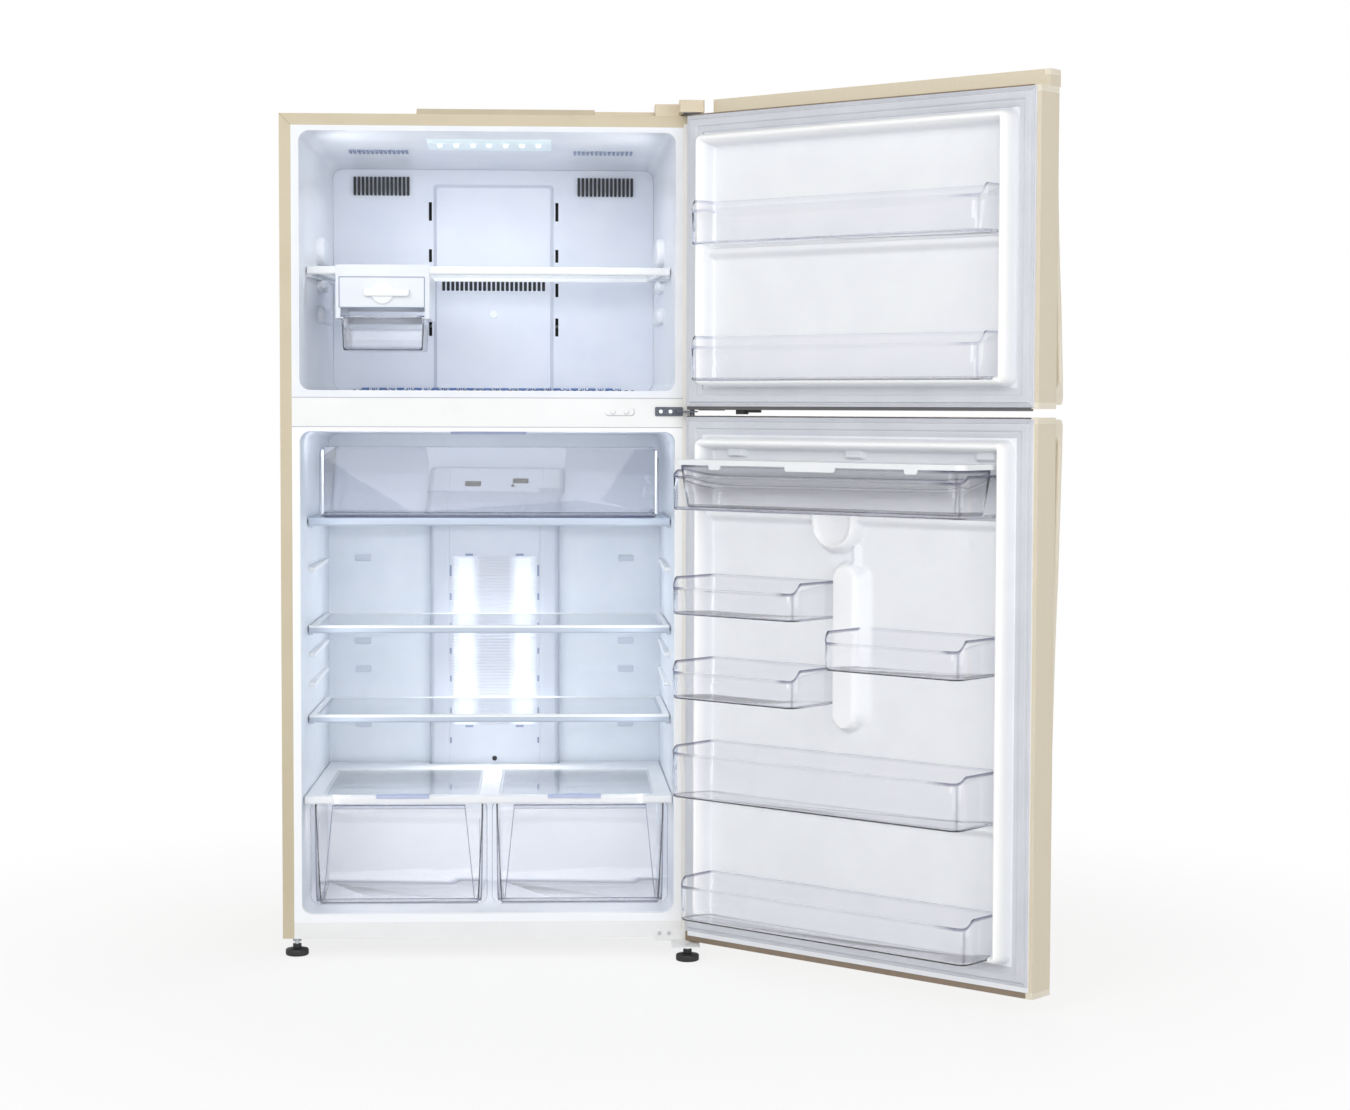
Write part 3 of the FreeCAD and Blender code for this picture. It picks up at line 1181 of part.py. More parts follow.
def middle_hinge():
    half = MIDDLE_PLATE_HEIGHT / 2
    plate = rounded_prism_y(HALF - MIDDLE_PLATE_WIDTH, FLANGE_INNER, PARTING - half, PARTING + half,
                            HINGE_PLATE, -HINGE_PLATE, 0)
    arm = rounded_prism_z(HINGE_X - MIDDLE_ARM_LEFT, HINGE_X + MIDDLE_ARM_RIGHT, HINGE_Y - MIDDLE_ARM_FRONT,
                          0, PIN_RADIUS / 2, HINGE_LEVEL, HINGE_LEVEL + HINGE_PLATE)
    pin = hinge_pin(FRIDGE_DOOR_HIGH - PIN_REACH, FREEZER_DOOR_LOW + PIN_REACH)
    return fuse([plate, arm, pin])


def lower_hinge():
    top, low = LOWER_PLATE_TOP, LOWER_PLATE_TOP - HINGE_PLATE
    back = rounded_prism_y(HALF - MIDDLE_PLATE_WIDTH, HALF - BASE_SHEET, low,
                           CABINET_BOTTOM + LOWER_PLATE_RISE, HINGE_PLATE, -HINGE_PLATE, 0)
    arm = rounded_prism_z(HALF - LOWER_ARM_LEFT, HALF + LOWER_ARM_RIGHT, RIGHT_FOOT_Y - FOOT_RADIUS, 0,
                          2 * PIN_RADIUS, low, top)
    bracket = fuse([back, arm, hinge_pin(top, FRIDGE_DOOR_LOW + PIN_REACH)])
    bore = cylinder((HALF - RIGHT_FOOT_INSET, RIGHT_FOOT_Y, low), STUD_RADIUS + RUNNING_GAP, HINGE_PLATE,
                    (0, 0, 1))
    return bracket.cut(bore)


def foot(x, y, stud_top):
    pad = revolve_z([(0, 0), (FOOT_RADIUS - HINGE_PLATE, 0), (FOOT_RADIUS, HINGE_PLATE),
                     (FOOT_RADIUS, FOOT_PAD - HINGE_PLATE), (FOOT_RADIUS - HINGE_PLATE, FOOT_PAD),
                     (STUD_RADIUS, FOOT_PAD), (STUD_RADIUS, stud_top), (0, stud_top)], x, y)
    return pad


def foot_left():
    return foot(-HALF + LEFT_FOOT_INSET, LEFT_FOOT_Y, CABINET_BOTTOM - SEAT_GAP)


def foot_right():
    return foot(HALF - RIGHT_FOOT_INSET, RIGHT_FOOT_Y, LOWER_PLATE_TOP)


def top_covers():
    z = CABINET_TOP
    front, rear = COVER_LOW_FRONT, COVER_LOW_FRONT + COVER_LOW_DEPTH
    outline = [(front, z), (front + COVER_LOW_HEIGHT, z + COVER_LOW_HEIGHT),
               (rear - COVER_LOW_HEIGHT, z + COVER_LOW_HEIGHT), (rear, z)]
    low = prism_x(outline, COVER_LOW_LEFT, COVER_LOW_RIGHT)
    block_left = HALF - HINGE_COVER_LEFT
    channel = block(COVER_LOW_RIGHT, block_left, front, front + CHANNEL_DEPTH, z, z + CHANNEL_HEIGHT)
    cover = rounded_prism_z(block_left, block_left + HINGE_COVER_WIDTH + CHANNEL_HEIGHT, SHEET,
                            HINGE_COVER_DEPTH, PIN_RADIUS, z, z + HINGE_COVER_HEIGHT)
    pin_cover = rounded_prism_z(HINGE_X - PIN_COVER_LEFT, HINGE_X + PIN_COVER_RIGHT,
                                HINGE_Y - PIN_COVER_FRONT, 2 * PIN_RADIUS, PIN_RADIUS, z + HINGE_PLATE,
                                z + PIN_COVER_HEIGHT)
    screws = [cylinder(spot, SCREW_HEAD + SHEET, HINGE_PLATE, axis) for spot, axis in screw_spots()[:3]]
    hinge_cover = fuse([cover, pin_cover]).cut([top_hinge_plate()] + screws)
    return Part.makeCompound([fuse([low, channel]), hinge_cover])


# Doors, drawn shut

def door_plan(inset, z0, z1, inner):
    """Door section with rounded outer edges, shrunk by an inset and ending at y = inner."""
    left, right, front = -HALF + inset, HALF - inset, DOOR_OUT + inset
    r = DOOR_EDGE_RADIUS - inset
    turn = r * (1 - math.sqrt(0.5))
    p = [vector(left, inner, z0), vector(left, front + r, z0), vector(left + r, front, z0),
         vector(right - r, front, z0), vector(right, front + r, z0), vector(right, inner, z0)]
    edges = [Part.makeLine(p[0], p[1]),
             Part.Arc(p[1], vector(left + turn, front + turn, z0), p[2]).toShape(),
             Part.makeLine(p[2], p[3]),
             Part.Arc(p[3], vector(right - turn, front + turn, z0), p[4]).toShape(),
             Part.makeLine(p[4], p[5]), Part.makeLine(p[5], p[0])]
    return Part.Face(Part.Wire(edges)).extrude(vector(0, 0, z1 - z0))


def door_skin(z0, z1):
    """Sheet wrap: front, both edges and the narrow returns on the inner side."""
    outside = door_plan(0, z0, z1, DOOR_IN)
    inside = door_plan(SHEET, z0, z1, DOOR_IN - SHEET)
    mouth = block(-HALF + DOOR_RETURN, HALF - DOOR_RETURN, DOOR_IN - 2 * SHEET, DOOR_IN, z0, z1)
    return outside.cut([inside, mouth])


def liner_sheet(z0, z1):
    """Flat of the inner liner, tucked behind the skin's returns."""
    tucked = block(-HALF + SHEET, HALF - SHEET, DOOR_IN - SHEET - LINER_WALL, DOOR_IN - SHEET, z0, z1)
    face = block(-HALF + DOOR_RETURN, HALF - DOOR_RETURN, DOOR_IN - SHEET, DOOR_IN, z0, z1)
    return [tucked, face]


def door_foam(z0, z1):
    return door_plan(SHEET, z0 + CAP_HEIGHT, z1 - CAP_HEIGHT, DOOR_IN - SHEET - LINER_WALL)


def bin_pocket(low):
    """Room in the dike's lower run for the bin that stands lowest in the door."""
    half = BIN_HALF + SEAT_GAP
    return block(-half, half, PANEL_Y, DIKE_Y + SHEET, low - SEAT_GAP, low + 2 * DIKE_WIDTH)


def dike(z0, z1):
    """Raised wall round the door's inner panel, with the panel itself."""
    w = DIKE_WIDTH
    shoulder, brow = DIKE_Y - w * 0.34, DIKE_Y - w * 0.06
    rise = [(0, DOOR_IN), (w * 0.2, shoulder), (w * 0.34, brow), (w * 0.46, DIKE_Y)]
    fall = [(w, PANEL_Y), (w * 0.82, shoulder), (w * 0.7, brow), (w * 0.58, DIKE_Y)]
    return round_frame(-DIKE_HALF, DIKE_HALF, z0, z1, DIKE_CORNER, rise, fall)


def gasket(z0, z1):
    """Magnetic seal round the dike: a foot, a bellows groove and a face bead, mitred at the corners."""
    w, face = GASKET_WIDTH, DOOR_IN + GASKET_THICK
    profile = [(0, DOOR_IN), (0, DOOR_IN + GASKET_THICK * 0.4), (w * 0.12, face - GASKET_THICK * 0.12),
               (w * 0.2, face), (w * 0.62, face), (w * 0.7, face - GASKET_THICK * 0.12),
               (w * 0.76, DOOR_IN + GASKET_THICK * 0.35), (w * 0.84, DOOR_IN + GASKET_THICK * 0.35),
               (w * 0.9, DOOR_IN + GASKET_THICK * 0.6), (w, DOOR_IN + GASKET_THICK * 0.4), (w, DOOR_IN)]
    out = DIKE_GAP + GASKET_WIDTH
    return picture_frame(-DIKE_HALF - out, DIKE_HALF + out, z0 - out, z1 + out, profile)


def door_cap(z0, z1):
    return door_plan(0, z0, z1, DOOR_IN)


def crest_outline(inset):
    """Plan of the taller outer edge on top of the freezer door."""
    return [(-HALF + inset, DOOR_OUT + inset), (CREST_END - inset, DOOR_OUT + inset),
            (CREST_END - inset, -CREST_BACK - inset), (-HALF + inset, -CREST_BACK - inset)]


def freezer_door_skin():
    low, high = FREEZER_DOOR_LOW + CAP_HEIGHT, FREEZER_DOOR_HIGH - CAP_HEIGHT
    crest_top = FREEZER_DOOR_HIGH + CREST_HEIGHT
    crest = prism_z(crest_outline(0), FREEZER_DOOR_HIGH, crest_top)
    hollow = prism_z(crest_outline(SHEET), FREEZER_DOOR_HIGH, crest_top - SHEET)
    return Part.makeCompound([door_skin(low, high), crest.cut([hollow, crest_block()])])


def crest_block():
    top = FREEZER_DOOR_HIGH + CREST_HEIGHT
    return block(-HALF, -HALF + CREST_BLOCK, DOOR_OUT, -CREST_BACK, top - CREST_BLOCK_HEIGHT, top)


def freezer_door_caps():
    low, high = FREEZER_DOOR_LOW, FREEZER_DOOR_HIGH
    bottom = door_cap(low, low + CAP_HEIGHT).cut(pin_bore(low, low + PIN_REACH + SHEET))
    top = door_cap(high - CAP_HEIGHT, high).cut(pin_bore(high - PIN_REACH - SHEET, high))
    return Part.makeCompound([bottom, top, crest_block()])


def freezer_dike():
    """Lowest and highest z of the freezer door's dike."""
    return FREEZER_FLOOR + DIKE_INSET, FREEZER_CEILING - DIKE_INSET


def freezer_door_liner():
    sheet = liner_sheet(FREEZER_DOOR_LOW + CAP_HEIGHT, FREEZER_DOOR_HIGH - CAP_HEIGHT)
    return fuse(sheet + [dike(*freezer_dike())]).cut(bin_pocket(FREEZER_FLOOR + FREEZER_BIN_LEVEL))


def freezer_door_foam():
    return door_foam(FREEZER_DOOR_LOW, FREEZER_DOOR_HIGH)


def freezer_gasket():
    return gasket(*freezer_dike())


def handle(thick, thin):
    """Tapered bar with a finger gap; thick and thin are the z of its two ends."""
    way = 1 if thin > thick else -1
    length = abs(thin - thick)
    def at(share, rise):
        return (DOOR_OUT - rise, thick + way * share)
    bar = prism_x([at(0, 0), at(0, HANDLE_THICK_END * 0.8), at(HANDLE_FOOT * 0.3, HANDLE_THICK_END),
                   at(length * 0.5, HANDLE_THICK_END * 0.66), at(length, HANDLE_THIN_END), at(length, 0)],
                  -HALF + HANDLE_INSET, -HALF + HANDLE_INSET + HANDLE_WIDTH)
    depth = HANDLE_THICK_END - HANDLE_GRIP
    gap = prism_x([at(HANDLE_FOOT, 0), at(HANDLE_FOOT * 1.4, depth), at(length * 0.5, depth * 0.5),
                   at(length * 0.62, 0)], -HALF + HANDLE_INSET, -HALF + HANDLE_INSET + HANDLE_WIDTH)
    return bar.cut(gap)


def freezer_handle():
    start = FREEZER_DOOR_LOW + HANDLE_END_GAP
    return handle(start, start + FREEZER_HANDLE_LENGTH)


def fridge_handle():
    start = FRIDGE_DOOR_HIGH - HANDLE_END_GAP / 2
    return handle(start, start - FRIDGE_HANDLE_LENGTH)


def bin_plan(x0, x1, reach, inset, z0, z1):
    """Bin section: square at the door, rounded at the two front corners."""
    left, right, back, front = x0 + inset, x1 - inset, BIN_BACK + inset, reach - inset
    r = BIN_CORNER - inset
    turn = r * (1 - math.sqrt(0.5))
    p = [vector(left, back, z0), vector(right, back, z0), vector(right, front - r, z0),
         vector(right - r, front, z0), vector(left + r, front, z0), vector(left, front - r, z0)]
    edges = [Part.makeLine(p[0], p[1]), Part.makeLine(p[1], p[2]),
             Part.Arc(p[2], vector(right - turn, front - turn, z0), p[3]).toShape(),
             Part.makeLine(p[3], p[4]),
             Part.Arc(p[4], vector(left + turn, front - turn, z0), p[5]).toShape(),
             Part.makeLine(p[5], p[0])]
    return Part.Face(Part.Wire(edges)).extrude(vector(0, 0, z1 - z0))


def door_bin(x0, x1, reach, low, front_height, end_height):
    """Clear tray whose front dips between its higher ends."""
    tray = bin_plan(x0, x1, reach, 0, low, low + end_height)
    hollow = bin_plan(x0, x1, reach, BIN_WALL, low + BIN_WALL, low + end_height)
    dip = low + front_height
    run = BIN_END_RUN
    rise = end_height - front_height
    opening = prism_y([(x0 + run + rise, dip), (x1 - run - rise, dip), (x1 - run, low + end_height),
                       (x0 + run, low + end_height)], reach - 2 * BIN_WALL, reach + BIN_WALL)
    return tray.cut([hollow, opening])


def freezer_bins():
    low = FREEZER_FLOOR + FREEZER_BIN_LEVEL
    return Part.makeCompound([door_bin(-BIN_HALF, BIN_HALF, FREEZER_BIN_REACH, level, FREEZER_BIN_FRONT,
                                       FREEZER_BIN_END) for level in (low, low + FREEZER_BIN_PITCH)])


def half_bins():
    right_start, left_end = RIDGE_X + RIDGE_HALF + SEAT_GAP, RIDGE_X - RIDGE_HALF - SEAT_GAP
    right_high = TANK_BIN_LOW - RIGHT_BIN_DROP
    places = [(right_high, right_start, BIN_HALF), (right_high - RIGHT_BIN_PITCH, right_start, BIN_HALF),
              (TANK_BIN_LOW - LEFT_BIN_DROP, -BIN_HALF, left_end)]
    return Part.makeCompound([door_bin(x0, x1, FRIDGE_BIN_REACH, low, HALF_BIN_FRONT, HALF_BIN_END)
                              for low, x0, x1 in places])


def wide_bins():
    tank = door_bin(-BIN_HALF, BIN_HALF, FRIDGE_BIN_REACH, TANK_BIN_LOW, TANK_BIN_FRONT, TANK_BIN_END)
    tank = tank.cut(outlet(TANK_OUTLET + SHEET, TANK_BIN_LOW, TANK_BIN_LOW + BIN_WALL))
    upper = door_bin(-BIN_HALF, BIN_HALF, FRIDGE_BIN_REACH, TANK_BIN_LOW - WIDE_BIN_DROP, WIDE_BIN_FRONT,
                     WIDE_BIN_END)
    lower = door_bin(-BIN_HALF, BIN_HALF, LOW_BIN_REACH, FRIDGE_FLOOR + LOW_BIN_LEVEL, LOW_BIN_FRONT,
                     LOW_BIN_END)
    return Part.makeCompound([tank, upper, lower])


def fridge_door_skin():
    return door_skin(FRIDGE_DOOR_LOW + CAP_HEIGHT, FRIDGE_DOOR_HIGH - CAP_HEIGHT).cut(alcove_box())


def fridge_door_caps():
    low, high = FRIDGE_DOOR_LOW, FRIDGE_DOOR_HIGH
    bottom = door_cap(low, low + CAP_HEIGHT).cut(pin_bore(low, low + PIN_REACH + SHEET))
    top = door_cap(high - CAP_HEIGHT, high).cut(pin_bore(high - PIN_REACH - SHEET, high))
    return Part.makeCompound([bottom, top])


def ridge():
    """Raised rib between the half-width bins."""
    low, high, r = RIDGE_LOW, RIDGE_HIGH, RIDGE_HALF - RIDGE_DRAFT - SHEET
    d = RIDGE_DRAFT
    return tapered_prism_y((RIDGE_X - RIDGE_HALF, RIDGE_X + RIDGE_HALF, low, high),
                           (RIDGE_X - RIDGE_HALF + d, RIDGE_X + RIDGE_HALF - d, low + d, high - d),
                           (r + d, r), DOOR_IN, DOOR_IN + RIDGE_RISE)


def bulge():
    """Rounded housing behind the dispenser's valve, under the water tank."""
    high = TANK_BIN_LOW - SEAT_GAP
    d, r = 2 * RIDGE_DRAFT, BULGE_HALF * 0.6
    body = tapered_prism_y((DISPENSER_X - BULGE_HALF, DISPENSER_X + BULGE_HALF, BULGE_LOW, high + BULGE_HALF),
                           (DISPENSER_X - BULGE_HALF + d, DISPENSER_X + BULGE_HALF - d, BULGE_LOW + d,
                            high + BULGE_HALF - d), (r + d / 2, r), DOOR_IN, DOOR_IN + BULGE_RISE)
    above = block(-HALF, HALF, PANEL_Y, DOOR_IN + BULGE_RISE, high, high + 2 * BULGE_HALF)
    return body.cut(above)


def alcove_box():
    """The dispenser alcove's outer box."""
    return block(DISPENSER_X - ALCOVE_HALF, DISPENSER_X + ALCOVE_HALF, DOOR_OUT, DOOR_OUT + ALCOVE_DEPTH,
                 ALCOVE_LOW, ALCOVE_HIGH)


def fridge_dike():
    """Lowest and highest z of the fridge door's dike."""
    return FRIDGE_FLOOR + DIKE_INSET, FRIDGE_CEILING - DIKE_INSET


def fridge_door_liner():
    sheet = liner_sheet(FRIDGE_DOOR_LOW + CAP_HEIGHT, FRIDGE_DOOR_HIGH - CAP_HEIGHT)
    pocket = bin_pocket(FRIDGE_FLOOR + LOW_BIN_LEVEL)
    return fuse(sheet + [ridge(), bulge(), dike(*fridge_dike())]).cut(pocket)


def fridge_door_foam():
    return door_foam(FRIDGE_DOOR_LOW, FRIDGE_DOOR_HIGH).cut(alcove_box())


def fridge_gasket():
    return gasket(*fridge_dike())


def lever_axis():
    """y and z of the dispenser lever's pivot."""
    return DOOR_OUT + ALCOVE_DEPTH * 0.62, ALCOVE_HIGH - 6 * LEVER_PIN


def dispenser_alcove():
    t = ALCOVE_WALL
    box = alcove_box()
    bezel = rounded_prism_y(DISPENSER_X - ALCOVE_HALF - BEZEL, DISPENSER_X + ALCOVE_HALF + BEZEL,
                            ALCOVE_LOW - BEZEL, ALCOVE_HIGH + BEZEL, 2 * BEZEL, DOOR_OUT - BEZEL_THICK,
                            DOOR_OUT)
    hollow = block(DISPENSER_X - ALCOVE_HALF + t, DISPENSER_X + ALCOVE_HALF - t, DOOR_OUT - BEZEL_THICK,
                   DOOR_OUT + ALCOVE_DEPTH - t, ALCOVE_LOW + t, ALCOVE_HIGH - t)
    y, z = lever_axis()
    ears = []
    for side in (-1, 1):
        x = DISPENSER_X + side * (LEVER_HALF + SEAT_GAP + t / 2)
        ears.append(block(x - t / 2, x + t / 2, y - 2 * LEVER_PIN, DOOR_OUT + ALCOVE_DEPTH - t / 2,
                          z - 2 * LEVER_PIN, ALCOVE_HIGH - t / 2))
    bore = cylinder((DISPENSER_X - ALCOVE_HALF, y, z), LEVER_PIN + RUNNING_GAP, 2 * ALCOVE_HALF - t,
                    (1, 0, 0))
    shell = fuse([box, bezel]).cut(hollow)
    return fuse([shell] + [ear.cut(bore) for ear in ears])


def dispenser_lever():
    y, z = lever_axis()
    plate = rounded_prism_y(DISPENSER_X - LEVER_HALF, DISPENSER_X + LEVER_HALF, z - LEVER_DROP, z + LEVER_PIN,
                            2 * LEVER_PIN, y - LEVER_THICK / 2, y + LEVER_THICK / 2)
    reach = LEVER_HALF + SEAT_GAP + ALCOVE_WALL
    pin = cylinder((DISPENSER_X - reach, y, z), LEVER_PIN, 2 * reach, (1, 0, 0))
    return fuse([plate, pin])


def outlet(radius, z0, z1):
    return cylinder((DISPENSER_X, BIN_BACK + 3 * TANK_OUTLET, z0), radius, z1 - z0, (0, 0, 1))


def tank_low():
    return TANK_BIN_LOW + BIN_WALL + SEAT_GAP


def water_tank():
    low, high = tank_low(), tank_low() + TANK_HEIGHT
    half = BIN_HALF - TANK_END_GAP
    t, s = DRAWER_WALL, TANK_SLOPE
    top = (-half, half, BIN_BACK + 2 * BIN_WALL, FRIDGE_BIN_REACH - 3 * BIN_WALL)
    foot = (-half + s, half - s, top[2] + t, top[3] - s)
    body = tapered_prism_z(foot, top, 2 * s, low, high)
    hollow = tapered_prism_z((foot[0] + t, foot[1] - t, foot[2] + t, foot[3] - t),
                             (top[0] + t, top[1] - t, top[2] + t, top[3] - t), 2 * s - t, low + t, high)
    spout = outlet(TANK_OUTLET, TANK_BIN_LOW, low + t)
    return fuse([body.cut(hollow), spout])


def lid_axis():
    """y and z of the round rear bead that the lid lifts about."""
    return PANEL_Y + 3 * BIN_WALL + LID_THICK / 2, tank_low() + TANK_HEIGHT + SEAT_GAP + LID_THICK / 2


def tank_lid():
    y, z = lid_axis()
    low, half = z - LID_THICK / 2, BIN_HALF - 2 * LID_THICK
    plate = rounded_prism_z(-BIN_HALF, BIN_HALF, y, LID_REACH, 2 * LID_THICK, low, low + LID_THICK)
    bead = cylinder((-half, y, z), LID_THICK / 2, 2 * half, (1, 0, 0))
    pieces = [plate, bead]
    tabs = ((-LID_TAB_X, LID_TAB_HALF), (0, LID_NOTCH_HALF), (LID_TAB_X, LID_TAB_HALF))
    for x, half in tabs:
        pieces.append(rounded_prism_y(x - half, x + half, low - LID_TAB_DROP, low + LID_THICK / 2,
                                      2 * BIN_WALL, LID_REACH - BIN_WALL, LID_REACH))
    return fuse(pieces)


# Assembly

def fixed_and_sliding_pieces():
    return {
        "cabinet_shell": cabinet_shell(), "rear_panel": rear_panel(), "bottom_pan": bottom_pan(),
        "insulation_foam": insulation_foam(), "freezer_liner": freezer_liner(),
        "fridge_liner": fridge_liner(), "front_strips": front_strips(),
        "freezer_duct_panel": freezer_duct_panel(), "evaporator": evaporator(),
        "freezer_light": freezer_light(), "fridge_duct_cover": fridge_duct_cover(),
        "led_panel": led_panel(),
        "shelf_frames": Part.makeCompound([shelf_frame(*place) for place in shelf_places()]),
        "crisper_cover": crisper_cover(),
        "shelf_glass": shelf_glass(), "compressor_base": compressor_base(),
        "compressor": compressor(), "condenser": condenser(), "drain_pan": drain_pan(),
        "machine_cover": machine_cover(), "fan_motors": fan_motors(), "top_hinge": top_hinge(),
        "middle_hinge": middle_hinge(), "lower_hinge": lower_hinge(),
        "hinge_screws": hinge_screws(), "top_covers": top_covers(),
        "evaporator_fan": evaporator_fan(), "condenser_fan": condenser_fan(),
        "foot_left": foot_left(), "foot_right": foot_right(),
        "roller_left": roller(-1), "roller_right": roller(1),
        "ice_maker_frame": ice_maker_frame(), "ice_tray": ice_tray(), "ice_knob": ice_knob(),
        "ice_bin": ice_bin(), "chiller_drawer": chiller_drawer(),
        "humidity_slider_left": humidity_slider(-1), "humidity_slider_right": humidity_slider(1),
        "crisper_left": crisper(-1), "crisper_right": crisper(1),
    }


def door_pieces():
    return {
        "freezer_door_skin": freezer_door_skin(), "freezer_door_caps": freezer_door_caps(),
        "freezer_door_liner": freezer_door_liner(), "freezer_door_foam": freezer_door_foam(),
        "freezer_gasket": freezer_gasket(), "freezer_handle": freezer_handle(),
        "freezer_bins": freezer_bins(),
        "fridge_door_skin": fridge_door_skin(), "fridge_door_caps": fridge_door_caps(),
        "fridge_door_liner": fridge_door_liner(), "fridge_door_foam": fridge_door_foam(),
        "fridge_gasket": fridge_gasket(), "fridge_handle": fridge_handle(), "water_tank": water_tank(),
        "tank_lid": tank_lid(), "half_bins": half_bins(), "wide_bins": wide_bins(),
        "dispenser_alcove": dispenser_alcove(), "dispenser_lever": dispenser_lever(),
    }


def main():
    os.makedirs("parts", exist_ok=True)
    pieces = fixed_and_sliding_pieces()
    for name, shape in door_pieces().items():
        shape.rotate(vector(HINGE_X, HINGE_Y, 0), vector(0, 0, 1), DOOR_OPEN_ANGLE)
        pieces[name] = shape
    for name, shape in pieces.items():
        shape.translate(vector(-ORIGIN_X, -ORIGIN_Y, 0))
        shape.exportStep("parts/" + name + ".step")
        box = shape.BoundBox
        print(name, len(shape.Solids), shape.isValid(), round(shape.Volume / 1000, 1),
              [round(v, 1) for v in (box.XMin, box.XMax, box.YMin, box.YMax, box.ZMin, box.ZMax)])


main()
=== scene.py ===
"""Fridge freezer with both doors open, dressed for a plain studio picture."""

import json
import logging
import math
from collections.abc import Callable
from dataclasses import dataclass
from enum import Enum

import bmesh
import bpy
import numpy as np
from mathutils import Matrix, Vector


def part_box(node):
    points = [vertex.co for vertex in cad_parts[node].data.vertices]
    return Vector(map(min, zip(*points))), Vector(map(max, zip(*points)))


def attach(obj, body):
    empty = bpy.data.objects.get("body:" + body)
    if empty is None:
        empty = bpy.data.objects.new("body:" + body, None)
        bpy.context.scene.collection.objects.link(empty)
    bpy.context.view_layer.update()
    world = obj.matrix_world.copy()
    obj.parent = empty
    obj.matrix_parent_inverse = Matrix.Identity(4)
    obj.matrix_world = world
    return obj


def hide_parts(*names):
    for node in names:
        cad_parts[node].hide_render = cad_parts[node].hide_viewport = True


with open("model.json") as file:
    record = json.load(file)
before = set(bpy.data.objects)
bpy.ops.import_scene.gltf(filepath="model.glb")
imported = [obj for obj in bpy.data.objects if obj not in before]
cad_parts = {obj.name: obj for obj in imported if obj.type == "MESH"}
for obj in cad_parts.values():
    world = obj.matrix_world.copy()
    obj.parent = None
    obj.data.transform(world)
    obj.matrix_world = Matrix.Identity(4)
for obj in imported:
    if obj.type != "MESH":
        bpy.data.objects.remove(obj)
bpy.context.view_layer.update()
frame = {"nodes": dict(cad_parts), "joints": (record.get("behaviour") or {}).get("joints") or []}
LOG = logging.getLogger("fridge_freezer")
MM = 0.001
SIDES = (-1, 1)

Tree = bpy.types.NodeTree
Socket = bpy.types.NodeSocket
Pair = tuple[float, float]
Triple = tuple[float, float, float]
Line = tuple[Pair, ...]


class Body(Enum):
    """The moving bodies that new pieces ride on."""

    CABINET = "cabinet"
    FREEZER_DOOR = "freezer_door"
    FRIDGE_DOOR = "fridge_door"
    CHILLER = "chiller_drawer"
    CRISPER_LEFT = "crisper_left"
    CRISPER_RIGHT = "crisper_right"
    SLIDER_LEFT = "humidity_slider_left"
    SLIDER_RIGHT = "humidity_slider_right"
    ICE_MAKER = "ice_maker"
    ICE_TWIST = "ice_twist"
    ICE_BIN = "ice_bin"
    FOOT_LEFT = "foot_left"
    FOOT_RIGHT = "foot_right"


class Slot(Enum):
    """Material slots of the record, passed along with each new piece's finish."""

    WHITE = "white_liner"
    CLEAR = "clear_plastic"
    SEAL = "seal"
    LENS = "lamp_lens"
    BLACK = "black_plastic"
    STEEL = "steel"
    CREAM = "cream_plastic"
    SLIDER = "slider_blue"


class Facing(Enum):
    """Which way a small form stands out: its directions across, up and out."""

    FRONT = ((1, 0, 0), (0, 0, 1), (0, -1, 0))
    INSIDE = ((1, 0, 0), (0, 0, 1), (0, 1, 0))
    LEFT_WALL = ((0, 1, 0), (0, 0, 1), (1, 0, 0))
    RIGHT_WALL = ((0, 1, 0), (0, 0, 1), (-1, 0, 0))
    DOWN = ((1, 0, 0), (0, 1, 0), (0, 0, -1))


WALLS = ((-1, Facing.LEFT_WALL), (1, Facing.RIGHT_WALL))


def linear(colour: str) -> tuple[float, float, float, float]:
    """Turn a hex sRGB colour into linear RGBA.

    Args:
        colour: six hex digits after a hash.

    Returns:
        The linear red, green, blue and an alpha of one.
    """
    values = np.array([int(colour[i:i + 2], 16) for i in (1, 3, 5)]) / 255
    bent = np.where(values <= 0.04045, values / 12.92, ((values + 0.055) / 1.055) ** 2.4)
    return (float(bent[0]), float(bent[1]), float(bent[2]), 1.0)


def add_node(tree: Tree, kind: str, inputs: dict | None = None, **settings) -> bpy.types.Node:
    """Add a shader node and fill its sockets.

    Args:
        tree: the node tree that gets the node.
        kind: the node's type name.
        inputs: socket name or number to a plain value or to a socket that is linked in.
        settings: properties of the node itself.

    Returns:
        The new node.
    """
    node = tree.nodes.new(kind)
    for key, value in settings.items():
        setattr(node, key, value)
    for key, value in (inputs or {}).items():
        if isinstance(value, Socket):
            tree.links.new(value, node.inputs[key])
        else:
            node.inputs[key].default_value = value
    return node


@dataclass(frozen=True)
class Finish:
    """A surface finish, made once and shared by every node and piece that has it."""

    name: str

    def material(self) -> bpy.types.Material:
        """Return the finish's material, building it on first use."""
        found = bpy.data.materials.get(self.name)
        if found:
            return found
        made = bpy.data.materials.new(self.name)
        made.use_nodes = True
        tree = made.node_tree
        tree.nodes.clear()
        spots = add_node(tree, "ShaderNodeTexCoord").outputs["Object"]
        add_node(tree, "ShaderNodeOutputMaterial", self.shade(tree, spots))
        return made

    def shade(self, tree: Tree, spots: Socket) -> dict[str, Socket]:
        """Build the finish's shader; each finish has its own.

        Args:
            tree: the material's node tree.
            spots: object coordinates in metres.

        Returns:
            What goes into the material output, by socket name.
        """
        raise NotImplementedError

    def dress(self, *nodes: str) -> None:
        """Put the finish on CAD nodes."""
        for node in nodes:
            slots = frame["nodes"][node].data.materials
            slots.clear()
            slots.append(self.material())


